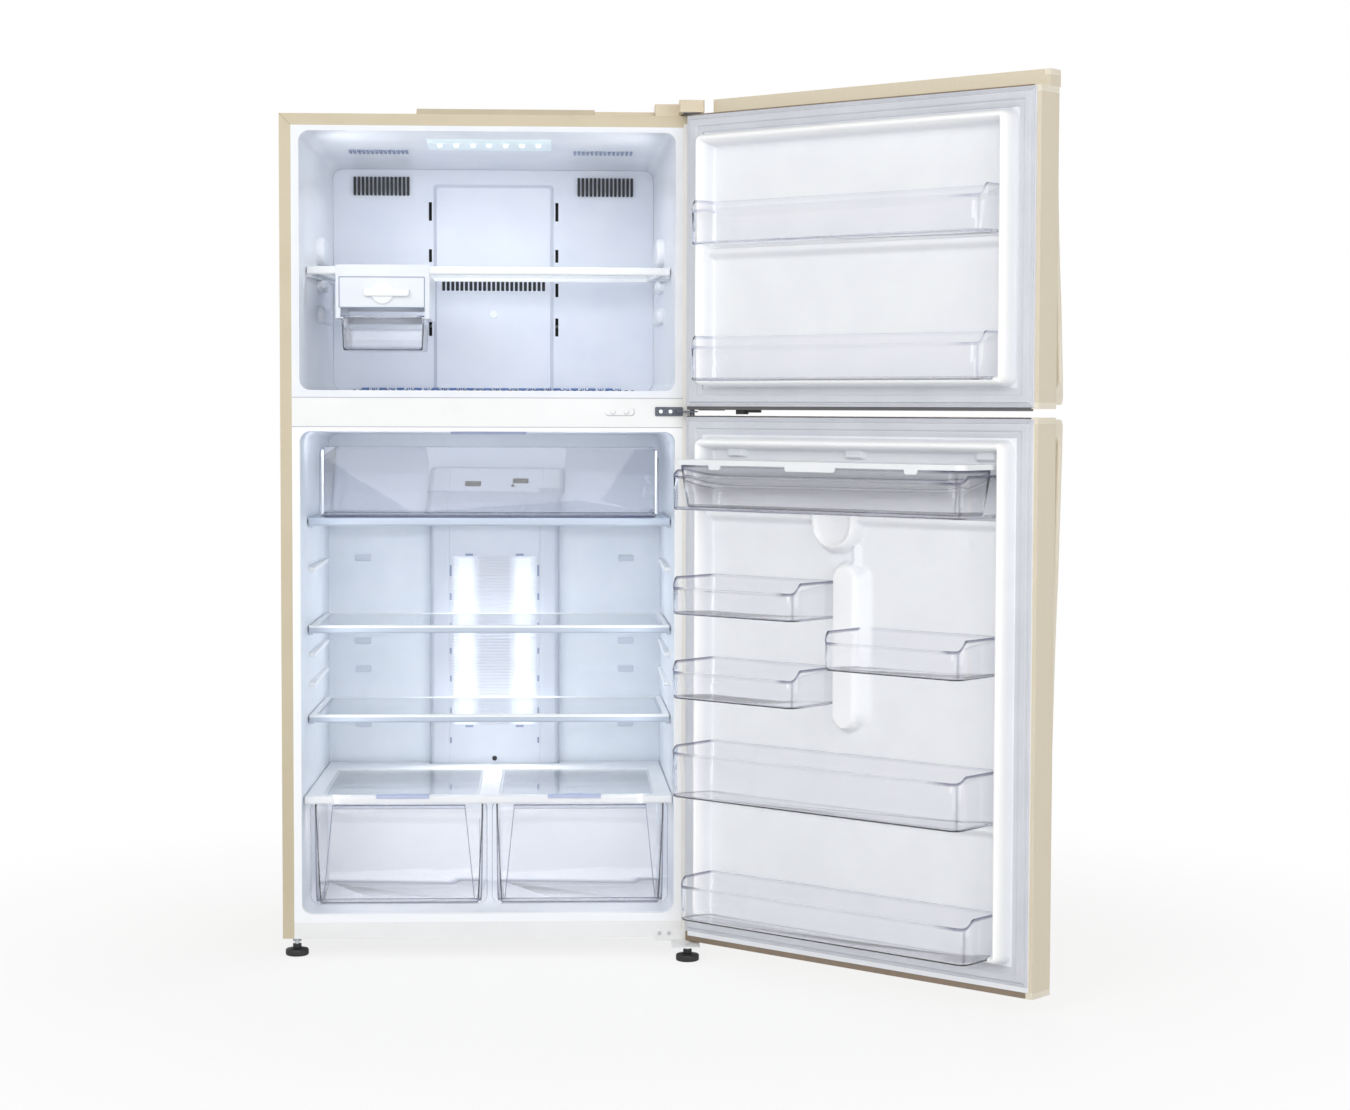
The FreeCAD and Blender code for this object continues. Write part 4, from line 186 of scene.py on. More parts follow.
def mottle(tree: Tree, spots: Socket, size: float, first: str, second: str) -> Socket:
    """Blend two close colours by a soft noise.

    Args:
        tree: the material's node tree.
        spots: object coordinates in metres.
        size: size of the patches in metres.
        first: hex colour of the most of the surface.
        second: hex colour of the patches.

    Returns:
        The colour socket.
    """
    noise = add_node(tree, "ShaderNodeTexNoise", {"Vector": spots, "Scale": 1 / size, "Detail": 3.0})
    share = add_node(tree, "ShaderNodeMapRange", {
        "Value": noise.outputs["Fac"], "From Min": 0.35, "From Max": 0.7})
    mix = add_node(tree, "ShaderNodeMix", {
        "Factor": share.outputs["Result"], "A": linear(first), "B": linear(second)}, data_type="RGBA")
    return mix.outputs["Result"]


def relief(tree: Tree, height: Socket, depth: float, strength: float) -> Socket:
    """Turn a height pattern into a bumped normal of a given depth in metres."""
    bump = add_node(tree, "ShaderNodeBump", {"Height": height, "Distance": depth, "Strength": strength})
    return bump.outputs["Normal"]


@dataclass(frozen=True)
class MouldedPlastic(Finish):
    """Opaque moulded plastic: faint mottling, spark-eroded grain and a soft gloss."""

    colour: str
    patch: str
    roughness: float
    grain: float = 0.6 * MM
    depth: float = 0.02 * MM
    glow: float = 0.0
    patch_size: float = 90 * MM
    wander: float = 0.06

    def paint(self, tree: Tree, spots: Socket) -> Socket:
        """Return the mottled colour of the plastic."""
        return mottle(tree, spots, self.patch_size, self.colour, self.patch)

    def shade(self, tree: Tree, spots: Socket) -> dict[str, Socket]:
        """Mottled colour under a fine grained bump, with roughness that wanders a little."""
        fine = add_node(tree, "ShaderNodeTexNoise", {"Vector": spots, "Scale": 1 / self.grain, "Detail": 2.0})
        wear = add_node(tree, "ShaderNodeTexNoise", {"Vector": spots, "Scale": 7.0, "Detail": 4.0})
        rough = add_node(tree, "ShaderNodeMapRange", {
            "Value": wear.outputs["Fac"],
            "To Min": self.roughness - self.wander, "To Max": self.roughness + self.wander})
        shader = add_node(tree, "ShaderNodeBsdfPrincipled", {
            "Base Color": self.paint(tree, spots), "Roughness": rough.outputs["Result"], "IOR": 1.5,
            "Normal": relief(tree, fine.outputs["Fac"], self.depth, 0.35),
            "Emission Color": linear(self.colour), "Emission Strength": self.glow})
        return {"Surface": shader.outputs[0]}


@dataclass(frozen=True)
class ZonedPlastic(MouldedPlastic):
    """Moulded plastic that takes a second colour in bands along an axis."""

    zone: str = "#000000"
    axis: str = "Y"
    bands: Line = ()
    soft: float = 1.5 * MM

    def paint(self, tree: Tree, spots: Socket) -> Socket:
        """Mix in the zone's colour within each band, with soft edges."""
        place = add_node(tree, "ShaderNodeSeparateXYZ", {0: spots}).outputs[self.axis]
        colour = super().paint(tree, spots)
        for start, stop in self.bands:
            enter = add_node(tree, "ShaderNodeMapRange", {
                "Value": place, "From Min": start, "From Max": start + self.soft})
            leave = add_node(tree, "ShaderNodeMapRange", {
                "Value": place, "From Min": stop, "From Max": stop + self.soft, "To Min": 1.0, "To Max": 0.0})
            share = add_node(tree, "ShaderNodeMath", {
                0: enter.outputs["Result"], 1: leave.outputs["Result"]}, operation="MULTIPLY")
            mix = add_node(tree, "ShaderNodeMix", {
                "Factor": share.outputs[0], "A": colour, "B": linear(self.zone)}, data_type="RGBA")
            colour = mix.outputs["Result"]
        return colour


@dataclass(frozen=True)
class CrestPlastic(MouldedPlastic):
    """Moulded plastic with a painted highlight, whiter where its marked crests stand out."""

    # Colour of the painted crest highlight
    crest: str = "#FFFFFF"

    def paint(self, tree: Tree, spots: Socket) -> Socket:
        """Mix in the painted crest highlight by the surface's own marks."""
        mark = add_node(tree, "ShaderNodeAttribute", attribute_name="edge").outputs["Fac"]
        mix = add_node(tree, "ShaderNodeMix", {
            "Factor": mark, "A": super().paint(tree, spots), "B": linear(self.crest)}, data_type="RGBA")
        return mix.outputs["Result"]


@dataclass(frozen=True)
class PaintedSteel(Finish):
    """Powder-coated sheet: orange-peel bump and a satin coat."""

    colour: str
    patch: str
    roughness: float = 0.38
    peel: float = 1.6 * MM
    depth: float = 0.03 * MM
    patch_size: float = 140 * MM

    def shade(self, tree: Tree, spots: Socket) -> dict[str, Socket]:
        """Mottled paint with a fine orange-peel bump."""
        peel = add_node(tree, "ShaderNodeTexNoise", {"Vector": spots, "Scale": 1 / self.peel, "Detail": 1.0})
        shader = add_node(tree, "ShaderNodeBsdfPrincipled", {
            "Base Color": mottle(tree, spots, self.patch_size, self.colour, self.patch),
            "Roughness": self.roughness, "Coat Weight": 0.15, "Coat Roughness": 0.2,
            "Normal": relief(tree, peel.outputs["Fac"], self.depth, 0.4)})
        return {"Surface": shader.outputs[0]}


@dataclass(frozen=True)
class GrainedSteel(Finish):
    """Pre-coated door sheet with a fine upright hairline and a pearl speckle."""

    colour: str
    patch: str
    roughness: float = 0.36
    line: float = 0.5 * MM
    stretch: float = 0.02
    depth: float = 0.02 * MM

    def shade(self, tree: Tree, spots: Socket) -> dict[str, Socket]:
        """Noise stretched along z gives the hairline in colour and bump, broken up by a fine speckle."""
        drawn = add_node(tree, "ShaderNodeMapping", {"Vector": spots, "Scale": (1.0, 1.0, self.stretch)})
        lines = add_node(tree, "ShaderNodeTexNoise", {
            "Vector": drawn.outputs[0], "Scale": 1 / self.line, "Detail": 3.0})
        speck = add_node(tree, "ShaderNodeTexNoise", {"Vector": spots, "Scale": 1 / self.line, "Detail": 1.0})
        share = add_node(tree, "ShaderNodeMath", {
            0: lines.outputs["Fac"], 1: speck.outputs["Fac"]}, operation="MULTIPLY")
        mix = add_node(tree, "ShaderNodeMix", {
            "Factor": share.outputs[0], "A": linear(self.colour), "B": linear(self.patch)}, data_type="RGBA")
        shader = add_node(tree, "ShaderNodeBsdfPrincipled", {
            "Base Color": mix.outputs["Result"], "Roughness": self.roughness, "Metallic": 0.15,
            "Coat Weight": 0.25, "Coat Roughness": 0.15,
            "Normal": relief(tree, lines.outputs["Fac"], self.depth, 0.3)})
        return {"Surface": shader.outputs[0]}


@dataclass(frozen=True)
class ClearPlastic(Finish):
    """Clear moulded plastic or glass: thin walls look clear, long paths take the tint, and marked edges take
    a painted edge shade.
    """

    tint: str
    # Colour of the painted edge shade
    edge: str = "#75758C"
    roughness: float = 0.03
    ior: float = 1.5
    density: float = 4.0
    flow: float = 40 * MM
    gloss: float = 0.3
    wall: str = "#FDFDFE"
    depth: float = 0.3 * MM

    def shade(self, tree: Tree, spots: Socket) -> dict[str, Socket]:
        """Refraction with faint flow waves; marked beads and corners take the painted edge shade; soft light
        goes through.
        """
        waves = add_node(tree, "ShaderNodeTexNoise", {"Vector": spots, "Scale": 1 / self.flow, "Detail": 2.0})
        # Painted edge shade: the surface's marks, where the base colour turns to the edge colour
        bead = add_node(tree, "ShaderNodeAttribute", attribute_name="edge").outputs["Fac"]
        colour = add_node(tree, "ShaderNodeMix", {
            "Factor": bead, "A": linear(self.wall), "B": linear(self.edge)}, data_type="RGBA")
        shader = add_node(tree, "ShaderNodeBsdfPrincipled", {
            "Base Color": colour.outputs["Result"], "Roughness": self.roughness, "IOR": self.ior,
            "Transmission Weight": 1.0, "Specular IOR Level": self.gloss,
            "Normal": relief(tree, waves.outputs["Fac"], self.depth, 0.25)})
        through = add_node(tree, "ShaderNodeBsdfTransparent", {"Color": (0.98, 0.98, 0.99, 1.0)})
        path = add_node(tree, "ShaderNodeLightPath").outputs
        ray = add_node(tree, "ShaderNodeMath", {
            0: path["Is Shadow Ray"], 1: path["Is Diffuse Ray"]}, operation="MAXIMUM")
        mix = add_node(tree, "ShaderNodeMixShader", {
            0: ray.outputs[0], 1: shader.outputs[0], 2: through.outputs[0]})
        volume = add_node(tree, "ShaderNodeVolumeAbsorption", {
            "Color": linear(self.tint), "Density": self.density})
        return {"Surface": mix.outputs[0], "Volume": volume.outputs[0]}


@dataclass(frozen=True)
class BareMetal(Finish):
    """Plated, galvanised or drawn metal with a brushed or spangled face."""

    colour: str
    patch: str
    roughness: float
    spangle: float = 9 * MM
    wander: float = 0.1

    def shade(self, tree: Tree, spots: Socket) -> dict[str, Socket]:
        """Voronoi spangle in colour with fine scratches in roughness."""
        cells = add_node(tree, "ShaderNodeTexVoronoi", {"Vector": spots, "Scale": 1 / self.spangle})
        mix = add_node(tree, "ShaderNodeMix", {
            "Factor": cells.outputs["Distance"], "A": linear(self.colour), "B": linear(self.patch)},
            data_type="RGBA")
        scratch = add_node(tree, "ShaderNodeTexNoise", {"Vector": spots, "Scale": 900.0, "Detail": 2.0})
        rough = add_node(tree, "ShaderNodeMapRange", {
            "Value": scratch.outputs["Fac"],
            "To Min": self.roughness - self.wander, "To Max": self.roughness + self.wander})
        shader = add_node(tree, "ShaderNodeBsdfPrincipled", {
            "Base Color": mix.outputs["Result"], "Metallic": 1.0, "Roughness": rough.outputs["Result"]})
        return {"Surface": shader.outputs[0]}


@dataclass(frozen=True)
class LampLens(Finish):
    """Frosted acrylic lens that glows in two upright columns, brighter at each lamp."""

    colour: str
    glow_colour: str
    dim: float
    bright: float
    middle: float
    spread: float
    half: float
    beat: float = 82 * MM
    core: float = 0.4
    fade: float = 1.8
    ebb: float = 0.72

    def shade(self, tree: Tree, spots: Socket) -> dict[str, Socket]:
        """Emission from the distance in x to the nearer of two columns, times a slow wave along z."""
        place = add_node(tree, "ShaderNodeSeparateXYZ", {0: spots}).outputs
        away = add_node(tree, "ShaderNodeMath", {0: place["X"], 1: self.middle}, operation="SUBTRACT")
        side = add_node(tree, "ShaderNodeMath", {0: away.outputs[0]}, operation="ABSOLUTE")
        off = add_node(tree, "ShaderNodeMath", {0: side.outputs[0], 1: self.spread}, operation="SUBTRACT")
        gap = add_node(tree, "ShaderNodeMath", {0: off.outputs[0]}, operation="ABSOLUTE")
        glow = add_node(tree, "ShaderNodeMapRange", {
            "Value": gap.outputs[0], "From Min": self.half * self.core, "From Max": self.half * self.fade,
            "To Min": self.bright, "To Max": self.dim}, interpolation_type="SMOOTHSTEP")
        turn = add_node(tree, "ShaderNodeMath", {
            0: place["Z"], 1: 2 * math.pi / self.beat}, operation="MULTIPLY")
        wave = add_node(tree, "ShaderNodeMath", {0: turn.outputs[0]}, operation="SINE")
        beat = add_node(tree, "ShaderNodeMapRange", {
            "Value": wave.outputs[0], "From Min": -1.0, "To Min": self.ebb})
        power = add_node(tree, "ShaderNodeMath", {
            0: glow.outputs["Result"], 1: beat.outputs["Result"]}, operation="MULTIPLY")
        shader = add_node(tree, "ShaderNodeBsdfPrincipled", {
            "Base Color": linear(self.colour), "Roughness": 0.3,
            "Emission Color": linear(self.glow_colour), "Emission Strength": power.outputs[0]})
        return {"Surface": shader.outputs[0]}


@dataclass(frozen=True)
class Foam(Finish):
    """Rigid polyurethane foam with open cells on its cut face."""

    colour: str
    patch: str
    depth: float = 0.5 * MM

    def shade(self, tree: Tree, spots: Socket) -> dict[str, Socket]:
        """Small Voronoi cells, 600 to the metre, in colour and bump."""
        cells = add_node(tree, "ShaderNodeTexVoronoi", {"Vector": spots, "Scale": 600.0})
        mix = add_node(tree, "ShaderNodeMix", {
            "Factor": cells.outputs["Distance"], "A": linear(self.colour), "B": linear(self.patch)},
            data_type="RGBA")
        shader = add_node(tree, "ShaderNodeBsdfPrincipled", {
            "Base Color": mix.outputs["Result"], "Roughness": 0.85,
            "Normal": relief(tree, cells.outputs["Distance"], self.depth, 0.6)})
        return {"Surface": shader.outputs[0]}


CABINET_MIDDLE = (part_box("cabinet_shell")[0].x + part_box("cabinet_shell")[1].x) / 2
CABINET_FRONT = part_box("cabinet_shell")[0].y


@dataclass(frozen=True)
class Seat:
    """Where a body stands: takes cabinet millimetres, doors shut, to metres at rest."""

    body: Body
    joint: str = ""

    def place(self, points: np.ndarray) -> np.ndarray:
        """Shift by the cabinet's place, then turn by the door's rest angle about its upright hinge line.

        Args:
            points: rows of x, y, z in millimetres from the middle of the cabinet's front.

        Returns:
            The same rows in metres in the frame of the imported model.
        """
        moved = points * MM + np.array((CABINET_MIDDLE, CABINET_FRONT, 0.0))
        if not self.joint:
            return moved
        hinge = next(joint for joint in frame["joints"] if joint["name"] == self.joint)
        angle = -math.radians(hinge["range_deg"][0])
        turn = np.array(((math.cos(angle), -math.sin(angle), 0.0), (math.sin(angle), math.cos(angle), 0.0),
                         (0.0, 0.0, 1.0)))
        pivot = np.array(hinge["pos_m"])
        return (moved - pivot) @ turn.T + pivot


CABINET_SEAT = Seat(Body.CABINET)
FREEZER_SEAT = Seat(Body.FREEZER_DOOR, "freezer_door_swing")
FRIDGE_SEAT = Seat(Body.FRIDGE_DOOR, "fridge_door_swing")


class Surface:
    """A closed surface gathered from grids of points, turned into one piece."""

    def __init__(self) -> None:
        """Start with no points."""
        self.points: list[np.ndarray] = []
        self.marks: list[np.ndarray] = []
        self.faces: list[list[int]] = []
        self.count = 0

    def grid(self, points: np.ndarray, along: bool = False, around: bool = False,
             marks: np.ndarray | None = None) -> np.ndarray:
        """Add a grid of points with a four-sided face between each two rows and columns.

        Args:
            points: rows by columns of x, y, z in millimetres.
            along: joins the last row to the first.
            around: joins the last column to the first.
            marks: share of painted light at each point, from 0 to 1: edge shade on clear finishes, crest
                highlight on door liners.

        Returns:
            The numbers of the grid's points, rows by columns.
        """
        rows, columns = points.shape[:2]
        numbers = self.count + np.arange(rows * columns).reshape(rows, columns)
        net = np.vstack([numbers, numbers[:1]]) if along else numbers
        net = np.hstack([net, net[:, :1]]) if around else net
        quads = np.stack([net[:-1, :-1], net[1:, :-1], net[1:, 1:], net[:-1, 1:]], -1)
        self.faces.extend(quads.reshape(-1, 4).tolist())
        self.points.append(points.reshape(-1, 3))
        self.marks.append(np.zeros(rows * columns) if marks is None else marks.reshape(-1))
        self.count += rows * columns
        return numbers

    def cap(self, ring: np.ndarray) -> None:
        """Close a ring of point numbers with one face."""
        self.faces.append(ring.tolist())

    def tube(self, points: np.ndarray, marks: np.ndarray | None = None) -> None:
        """Add a grid that is joined round, with one face over its first row and one over its last.

        Args:
            points: rows by columns of x, y, z in millimetres.
            marks: share of the painted edge shade at each point.
        """
        rings = self.grid(points, around=True, marks=marks)
        self.cap(rings[0])
        self.cap(rings[-1])

    def sheet(self, top: np.ndarray, *drops: Callable[[np.ndarray], np.ndarray],
              marks: np.ndarray | None = None) -> None:
        """Add a sheet and close it behind its border: rows of moved border points, then one face.

        Args:
            top: the sheet's points, rows by columns.
            drops: for each row behind it, a function of the border's points that gives the moved points.
            marks: share of the painted crest highlight at each point of the sheet.
        """
        numbers = self.grid(top, marks=marks)
        ring = np.concatenate([numbers[:-1, 0], numbers[-1, :-1], numbers[:0:-1, -1], numbers[0, :0:-1]])
        border = top.reshape(-1, 3)[ring - numbers[0, 0]]
        rows = self.grid(np.stack([drop(border) for drop in drops]), around=True)
        upper, lower = np.append(ring, ring[0]), np.append(rows[0], rows[0, 0])
        self.faces.extend(np.stack([upper[:-1], upper[1:], lower[1:], lower[:-1]], -1).tolist())
        self.cap(rows[-1])

    def piece(self, name: str, seat: Seat, slot: Slot, finish: Finish, *replaced: str,
              crease: float = 40.0) -> None:
        """Make the gathered surface a piece that rides on the seat's body.

        Args:
            name: the piece's name.
            seat: where the piece stands and what it rides on.
            slot: the record's material slot; not used.
            finish: the finish it gets.
            replaced: CAD nodes that the piece stands for.
            crease: angle in degrees past which an edge stays sharp.
        """
        mesh = bpy.data.meshes.new(name)
        mesh.from_pydata(seat.place(np.concatenate(self.points)).tolist(), [], self.faces)
        work = bmesh.new()
        work.from_mesh(mesh)
        bmesh.ops.recalc_face_normals(work, faces=work.faces)
        work.to_mesh(mesh)
        work.free()
        sides = np.empty(len(mesh.polygons), dtype=np.int32)
        mesh.polygons.foreach_get("loop_total", sides)
        mesh.polygons.foreach_set("use_smooth", sides == 4)
        mesh.set_sharp_from_angle(angle=math.radians(crease))
        # Painted light: the marks, read as edge shade by clear finishes and as crest highlight by door liners
        edge = mesh.attributes.new("edge", "FLOAT", "POINT")
        edge.data.foreach_set("value", np.concatenate(self.marks).astype(np.float32))
        mesh.materials.append(finish.material())
        piece = bpy.data.objects.new(name, mesh)
        piece.visible_shadow = not isinstance(finish, ClearPlastic)
        bpy.context.scene.collection.objects.link(piece)
        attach(piece, seat.body.value)
        if replaced:
            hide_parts(*replaced)
        LOG.info("%s: %d faces", name, len(mesh.polygons))


def softened(points: Line, softness: float, step: float = 0.25) -> np.ndarray:
    """Round a profile: straight runs between points, averaged with a bell-shaped weight.

    Args:
        points: distance and height pairs in millimetres, distances rising.
        softness: standard deviation of the weight.
        step: spacing of the rounded profile's rows.

    Returns:
        Rows of distance and rounded height.
    """
    places, heights = np.array(points).T
    reach = round(4 * softness / step)
    weight = np.exp(-0.5 * (np.arange(-reach, reach + 1) * step / softness) ** 2)
    table = np.arange(places[0] - 4 * softness, places[-1] + 4 * softness, step)
    padded = np.pad(np.interp(table, places, heights), reach, mode="edge")
    return np.stack([table, np.convolve(padded, weight / weight.sum(), mode="valid")], -1)


def rounded(points: Line, softness: float, at: np.ndarray) -> np.ndarray:
    """Heights of a softened profile at given distances, level beyond its ends."""
    return np.interp(at, *softened(points, softness).T)


def inset_from(x: np.ndarray, z: np.ndarray, middle: Pair, half: Pair, radius: float) -> np.ndarray:
    """Distance inward from the edge of a round-cornered rectangle, negative outside it.

    Args:
        x: distances across.
        z: heights.
        middle: the rectangle's middle.
        half: half its width and half its height.
        radius: its corner radius.

    Returns:
        The inward distance at each point.
    """
    across = np.abs(x - middle[0]) - half[0] + radius
    upward = np.abs(z - middle[1]) - half[1] + radius
    corner = np.hypot(np.maximum(across, 0), np.maximum(upward, 0))
    return radius - corner - np.minimum(np.maximum(across, upward), 0)


def ruled(*runs: Triple) -> np.ndarray:
    """Join runs of (start, end, spacing) into one rising row of grid lines."""
    lines = [np.linspace(a, b, max(2, math.ceil((b - a) / gap) + 1)) for a, b, gap in runs]
    return np.unique(np.round(np.concatenate(lines), 3))


def smoothstep(low: float, high: float, value: np.ndarray) -> np.ndarray:
    """Rise from 0 at low to 1 at high along a cubic with level ends."""
    share = np.clip((value - low) / (high - low), 0, 1)
    return share * share * (3 - 2 * share)


# Powder-coated steel of the cabinet wrap
CABINET_PAINT = PaintedSteel("powder_coated_steel_beige", "#CBBFA4", "#C6BA9E")
# Film-laminated steel of the door wraps
DOOR_SHEET = GrainedSteel("laminated_steel_champagne", "#E0D6C1", "#CABDA2")
# ABS of handles and door caps
CREAM_ABS = MouldedPlastic("abs_cream", "#EAE2D0", "#E4DBC7", 0.32)
# ABS of the covers on top, a shade deeper
BEIGE_ABS = MouldedPlastic("abs_beige", "#D8CBB2", "#D1C4AA", 0.36)
# Taupe: painted shade along the fridge door's foot, a thin line along the freezer door's top, and the mitre
# line of the front flange
TAUPE_LINE_AND_SHADE = MouldedPlastic("taupe_line_and_painted_shade", "#8D7C6B", "#847462", 0.45)
# Dark grey: painted shade along the freezer door's foot, and a thin line along the fridge door's top
SLATE_LINE_AND_SHADE = MouldedPlastic("slate_line_and_painted_shade", "#5F5D60", "#565458", 0.45)
# HIPS of the crisper cover, wall ribs, ice knob, tank lid and dispenser
WHITE_HIPS = MouldedPlastic("hips_white", "#F1F3F5", "#ECEFF2", 0.34)
# HIPS of the freezer's wall supports and plug mark, a little bluer
CABINET_HIPS = MouldedPlastic("hips_cool_white", "#ECEFF4", "#E6EAF1", 0.34)
# HIPS of the fridge's tub, white on the rim that shows at the front
FRIDGE_HIPS = ZonedPlastic("hips_cool_white_fridge", "#E2E8F0", "#DCE3EC", 0.34, zone="#F8FAFD",
                           bands=((CABINET_FRONT - 0.1, CABINET_FRONT + 14 * MM),))
# HIPS of the fridge's air duct, a shade greyer than the tub
DUCT_HIPS = MouldedPlastic("hips_air_duct", "#D2D7E0", "#CDD2DC", 0.36)
# HIPS of the freezer's rear panel
PANEL_HIPS = MouldedPlastic("hips_rear_panel", "#DDE2EC", "#D7DDE9", 0.36)
# The freezer's tub, with painted shade, near black, on its walls behind the rear panel where the evaporator
# space lies unlit
FREEZER_HIPS = ZonedPlastic("hips_cool_white_freezer", "#ECEFF4", "#E6EAF1", 0.34, zone="#0B0C0E",
                            bands=((0.526, 9.0),))
# HIPS shelf frames with smoky blue undersides; the chiller's shelf is smoky blue all over
SHELF_HIPS = ZonedPlastic("hips_shelf", "#F1F3F5", "#ECEFF2", 0.34, zone="#BCC7D6", axis="Z",
                          bands=((0.897, 0.917), (0.667, 0.680), (0.475, 0.488)))
# HIPS of the door liners, with a painted highlight on the dike's crest
DOOR_HIPS = CrestPlastic("hips_door_white", "#EFF1F4", "#EBEDF1", 0.34, crest="#FFFFFF")
# HIPS tabs and small marks on the rear wall
TAB_HIPS = MouldedPlastic("hips_tab_grey", "#CDD4DF", "#C8CFDB", 0.4)
# Dark pads: painted shade over the freezer's air slots, and the fridge's sensor
DARK_PP_AND_SLOT_SHADE = MouldedPlastic("pp_charcoal_and_slot_shade", "#15171C", "#1C1F26", 0.5)
# Blue-grey slots and louvres
LOUVRE_PP = MouldedPlastic("pp_blue_grey", "#8F9BB4", "#8692AC", 0.45)
# Lines of the blue floor vent
VENT_PP = MouldedPlastic("pp_vent_blue", "#5C7DB6", "#5272AA", 0.45)
# HIPS of the ice maker's face and frame
ICE_HIPS = MouldedPlastic("hips_ice_maker", "#E4E8EE", "#DFE4EB", 0.32)
# Painted steel of the front strips, the hinge side and the lower hinge
WHITE_STRIP = PaintedSteel("painted_steel_white", "#F0F1F1", "#EBECEC")
# Thin light grey lines along the seams of the strip between the tubs, and painted shadow round its cap and
# bosses
SEAM_LINE_AND_SHADOW = MouldedPlastic("seam_line_and_painted_shadow", "#B4B5BE", "#ADAEB8", 0.5)
# PVC magnetic gasket
GASKET_PVC = MouldedPlastic("pvc_grey", "#D2D4DA", "#CBCDD4", 0.5)
# General-purpose polystyrene, clear, in the fridge door's bins
CLEAR_GPPS = ClearPlastic("gpps_clear", "#8F8FA8", "#7A7A92")
# The same, in the freezer door's thinner bins
THIN_GPPS = ClearPlastic("gpps_clear_thin", "#A9A9BC", "#C8CBD8", density=2.5)
# The same, in the ice bin and the crispers, with less glare
DRAWER_GPPS = ClearPlastic("gpps_clear_drawer", "#A6A8BC", "#9698B0", density=3.0, gloss=0.1)
# The same in the chiller drawer, with greyer walls: partly smoky plastic, partly painted shade of the
# ceiling's shadow
CHILLER_GPPS = ClearPlastic("gpps_clear_chiller", "#A6A8BC", "#9698B0", density=3.0, gloss=0.1,
                            wall="#E0E3E9")
# SAN of the water tank, smoky
SMOKY_SAN = ClearPlastic("san_smoky", "#8B8F9A", density=3.0)
# Painted highlight: bright bars at the chiller drawer's side edges
CHILLER_EDGE_HIGHLIGHT = MouldedPlastic("painted_edge_highlight", "#F2F5FA", "#EDF1F7", 0.2)
# Tempered shelf glass, faint green edge
SHELF_GLASS = ClearPlastic("tempered_glass", "#8FB5A8", ior=1.52, density=8.0, flow=0.3)
# Acrylic lamp lenses
FRIDGE_LENS = LampLens("acrylic_lens_fridge", "#CDD0D8", "#E9F3FF", 0.0, 0.5, CABINET_MIDDLE,
                       68 * MM, 22 * MM)
FREEZER_LENS = LampLens("acrylic_lens_freezer", "#DFEBF0", "#E2F4F8", 0.16, 0.2, CABINET_MIDDLE,
                        0.0, 131 * MM)
# Clear lamp beads in the freezer's lens
LAMP_BEAD = MouldedPlastic("acrylic_bead", "#F4FCFF", "#EEF9FF", 0.2, glow=0.9)
# Polypropylene of the sliders and the fridge's ceiling strip
SLIDER_PP = MouldedPlastic("pp_lavender", "#B7C1DE", "#AFB9D8", 0.35)
# Polypropylene feet, rollers, fans, drain pan and door closers
BLACK_PP = MouldedPlastic("pp_black", "#1D1D1F", "#262628", 0.5)
# Zinc-plated screws and studs
ZINC_STEEL = BareMetal("zinc_plated_steel", "#C4C7CB", "#A9ADB2", 0.32, 4 * MM)
# Phosphated hinge plates
DARK_STEEL = BareMetal("phosphated_steel", "#5B5E66", "#4A4D54", 0.42, 4 * MM)
# Galvanised sheet at the back and underneath
GALVANISED = BareMetal("galvanised_steel", "#B4B7BA", "#9EA2A6", 0.45)
# Evaporator fins
FIN_ALUMINIUM = BareMetal("aluminium_fin", "#C9CBCD", "#B5B8BB", 0.3, 6 * MM)
# Compressor and condenser
BLACK_ENAMEL = PaintedSteel("enamelled_steel_black", "#131315", "#1B1B1D", 0.3)
# Insulation
FOAM = Foam("polyurethane_foam", "#E3CF9B", "#CDB67C")


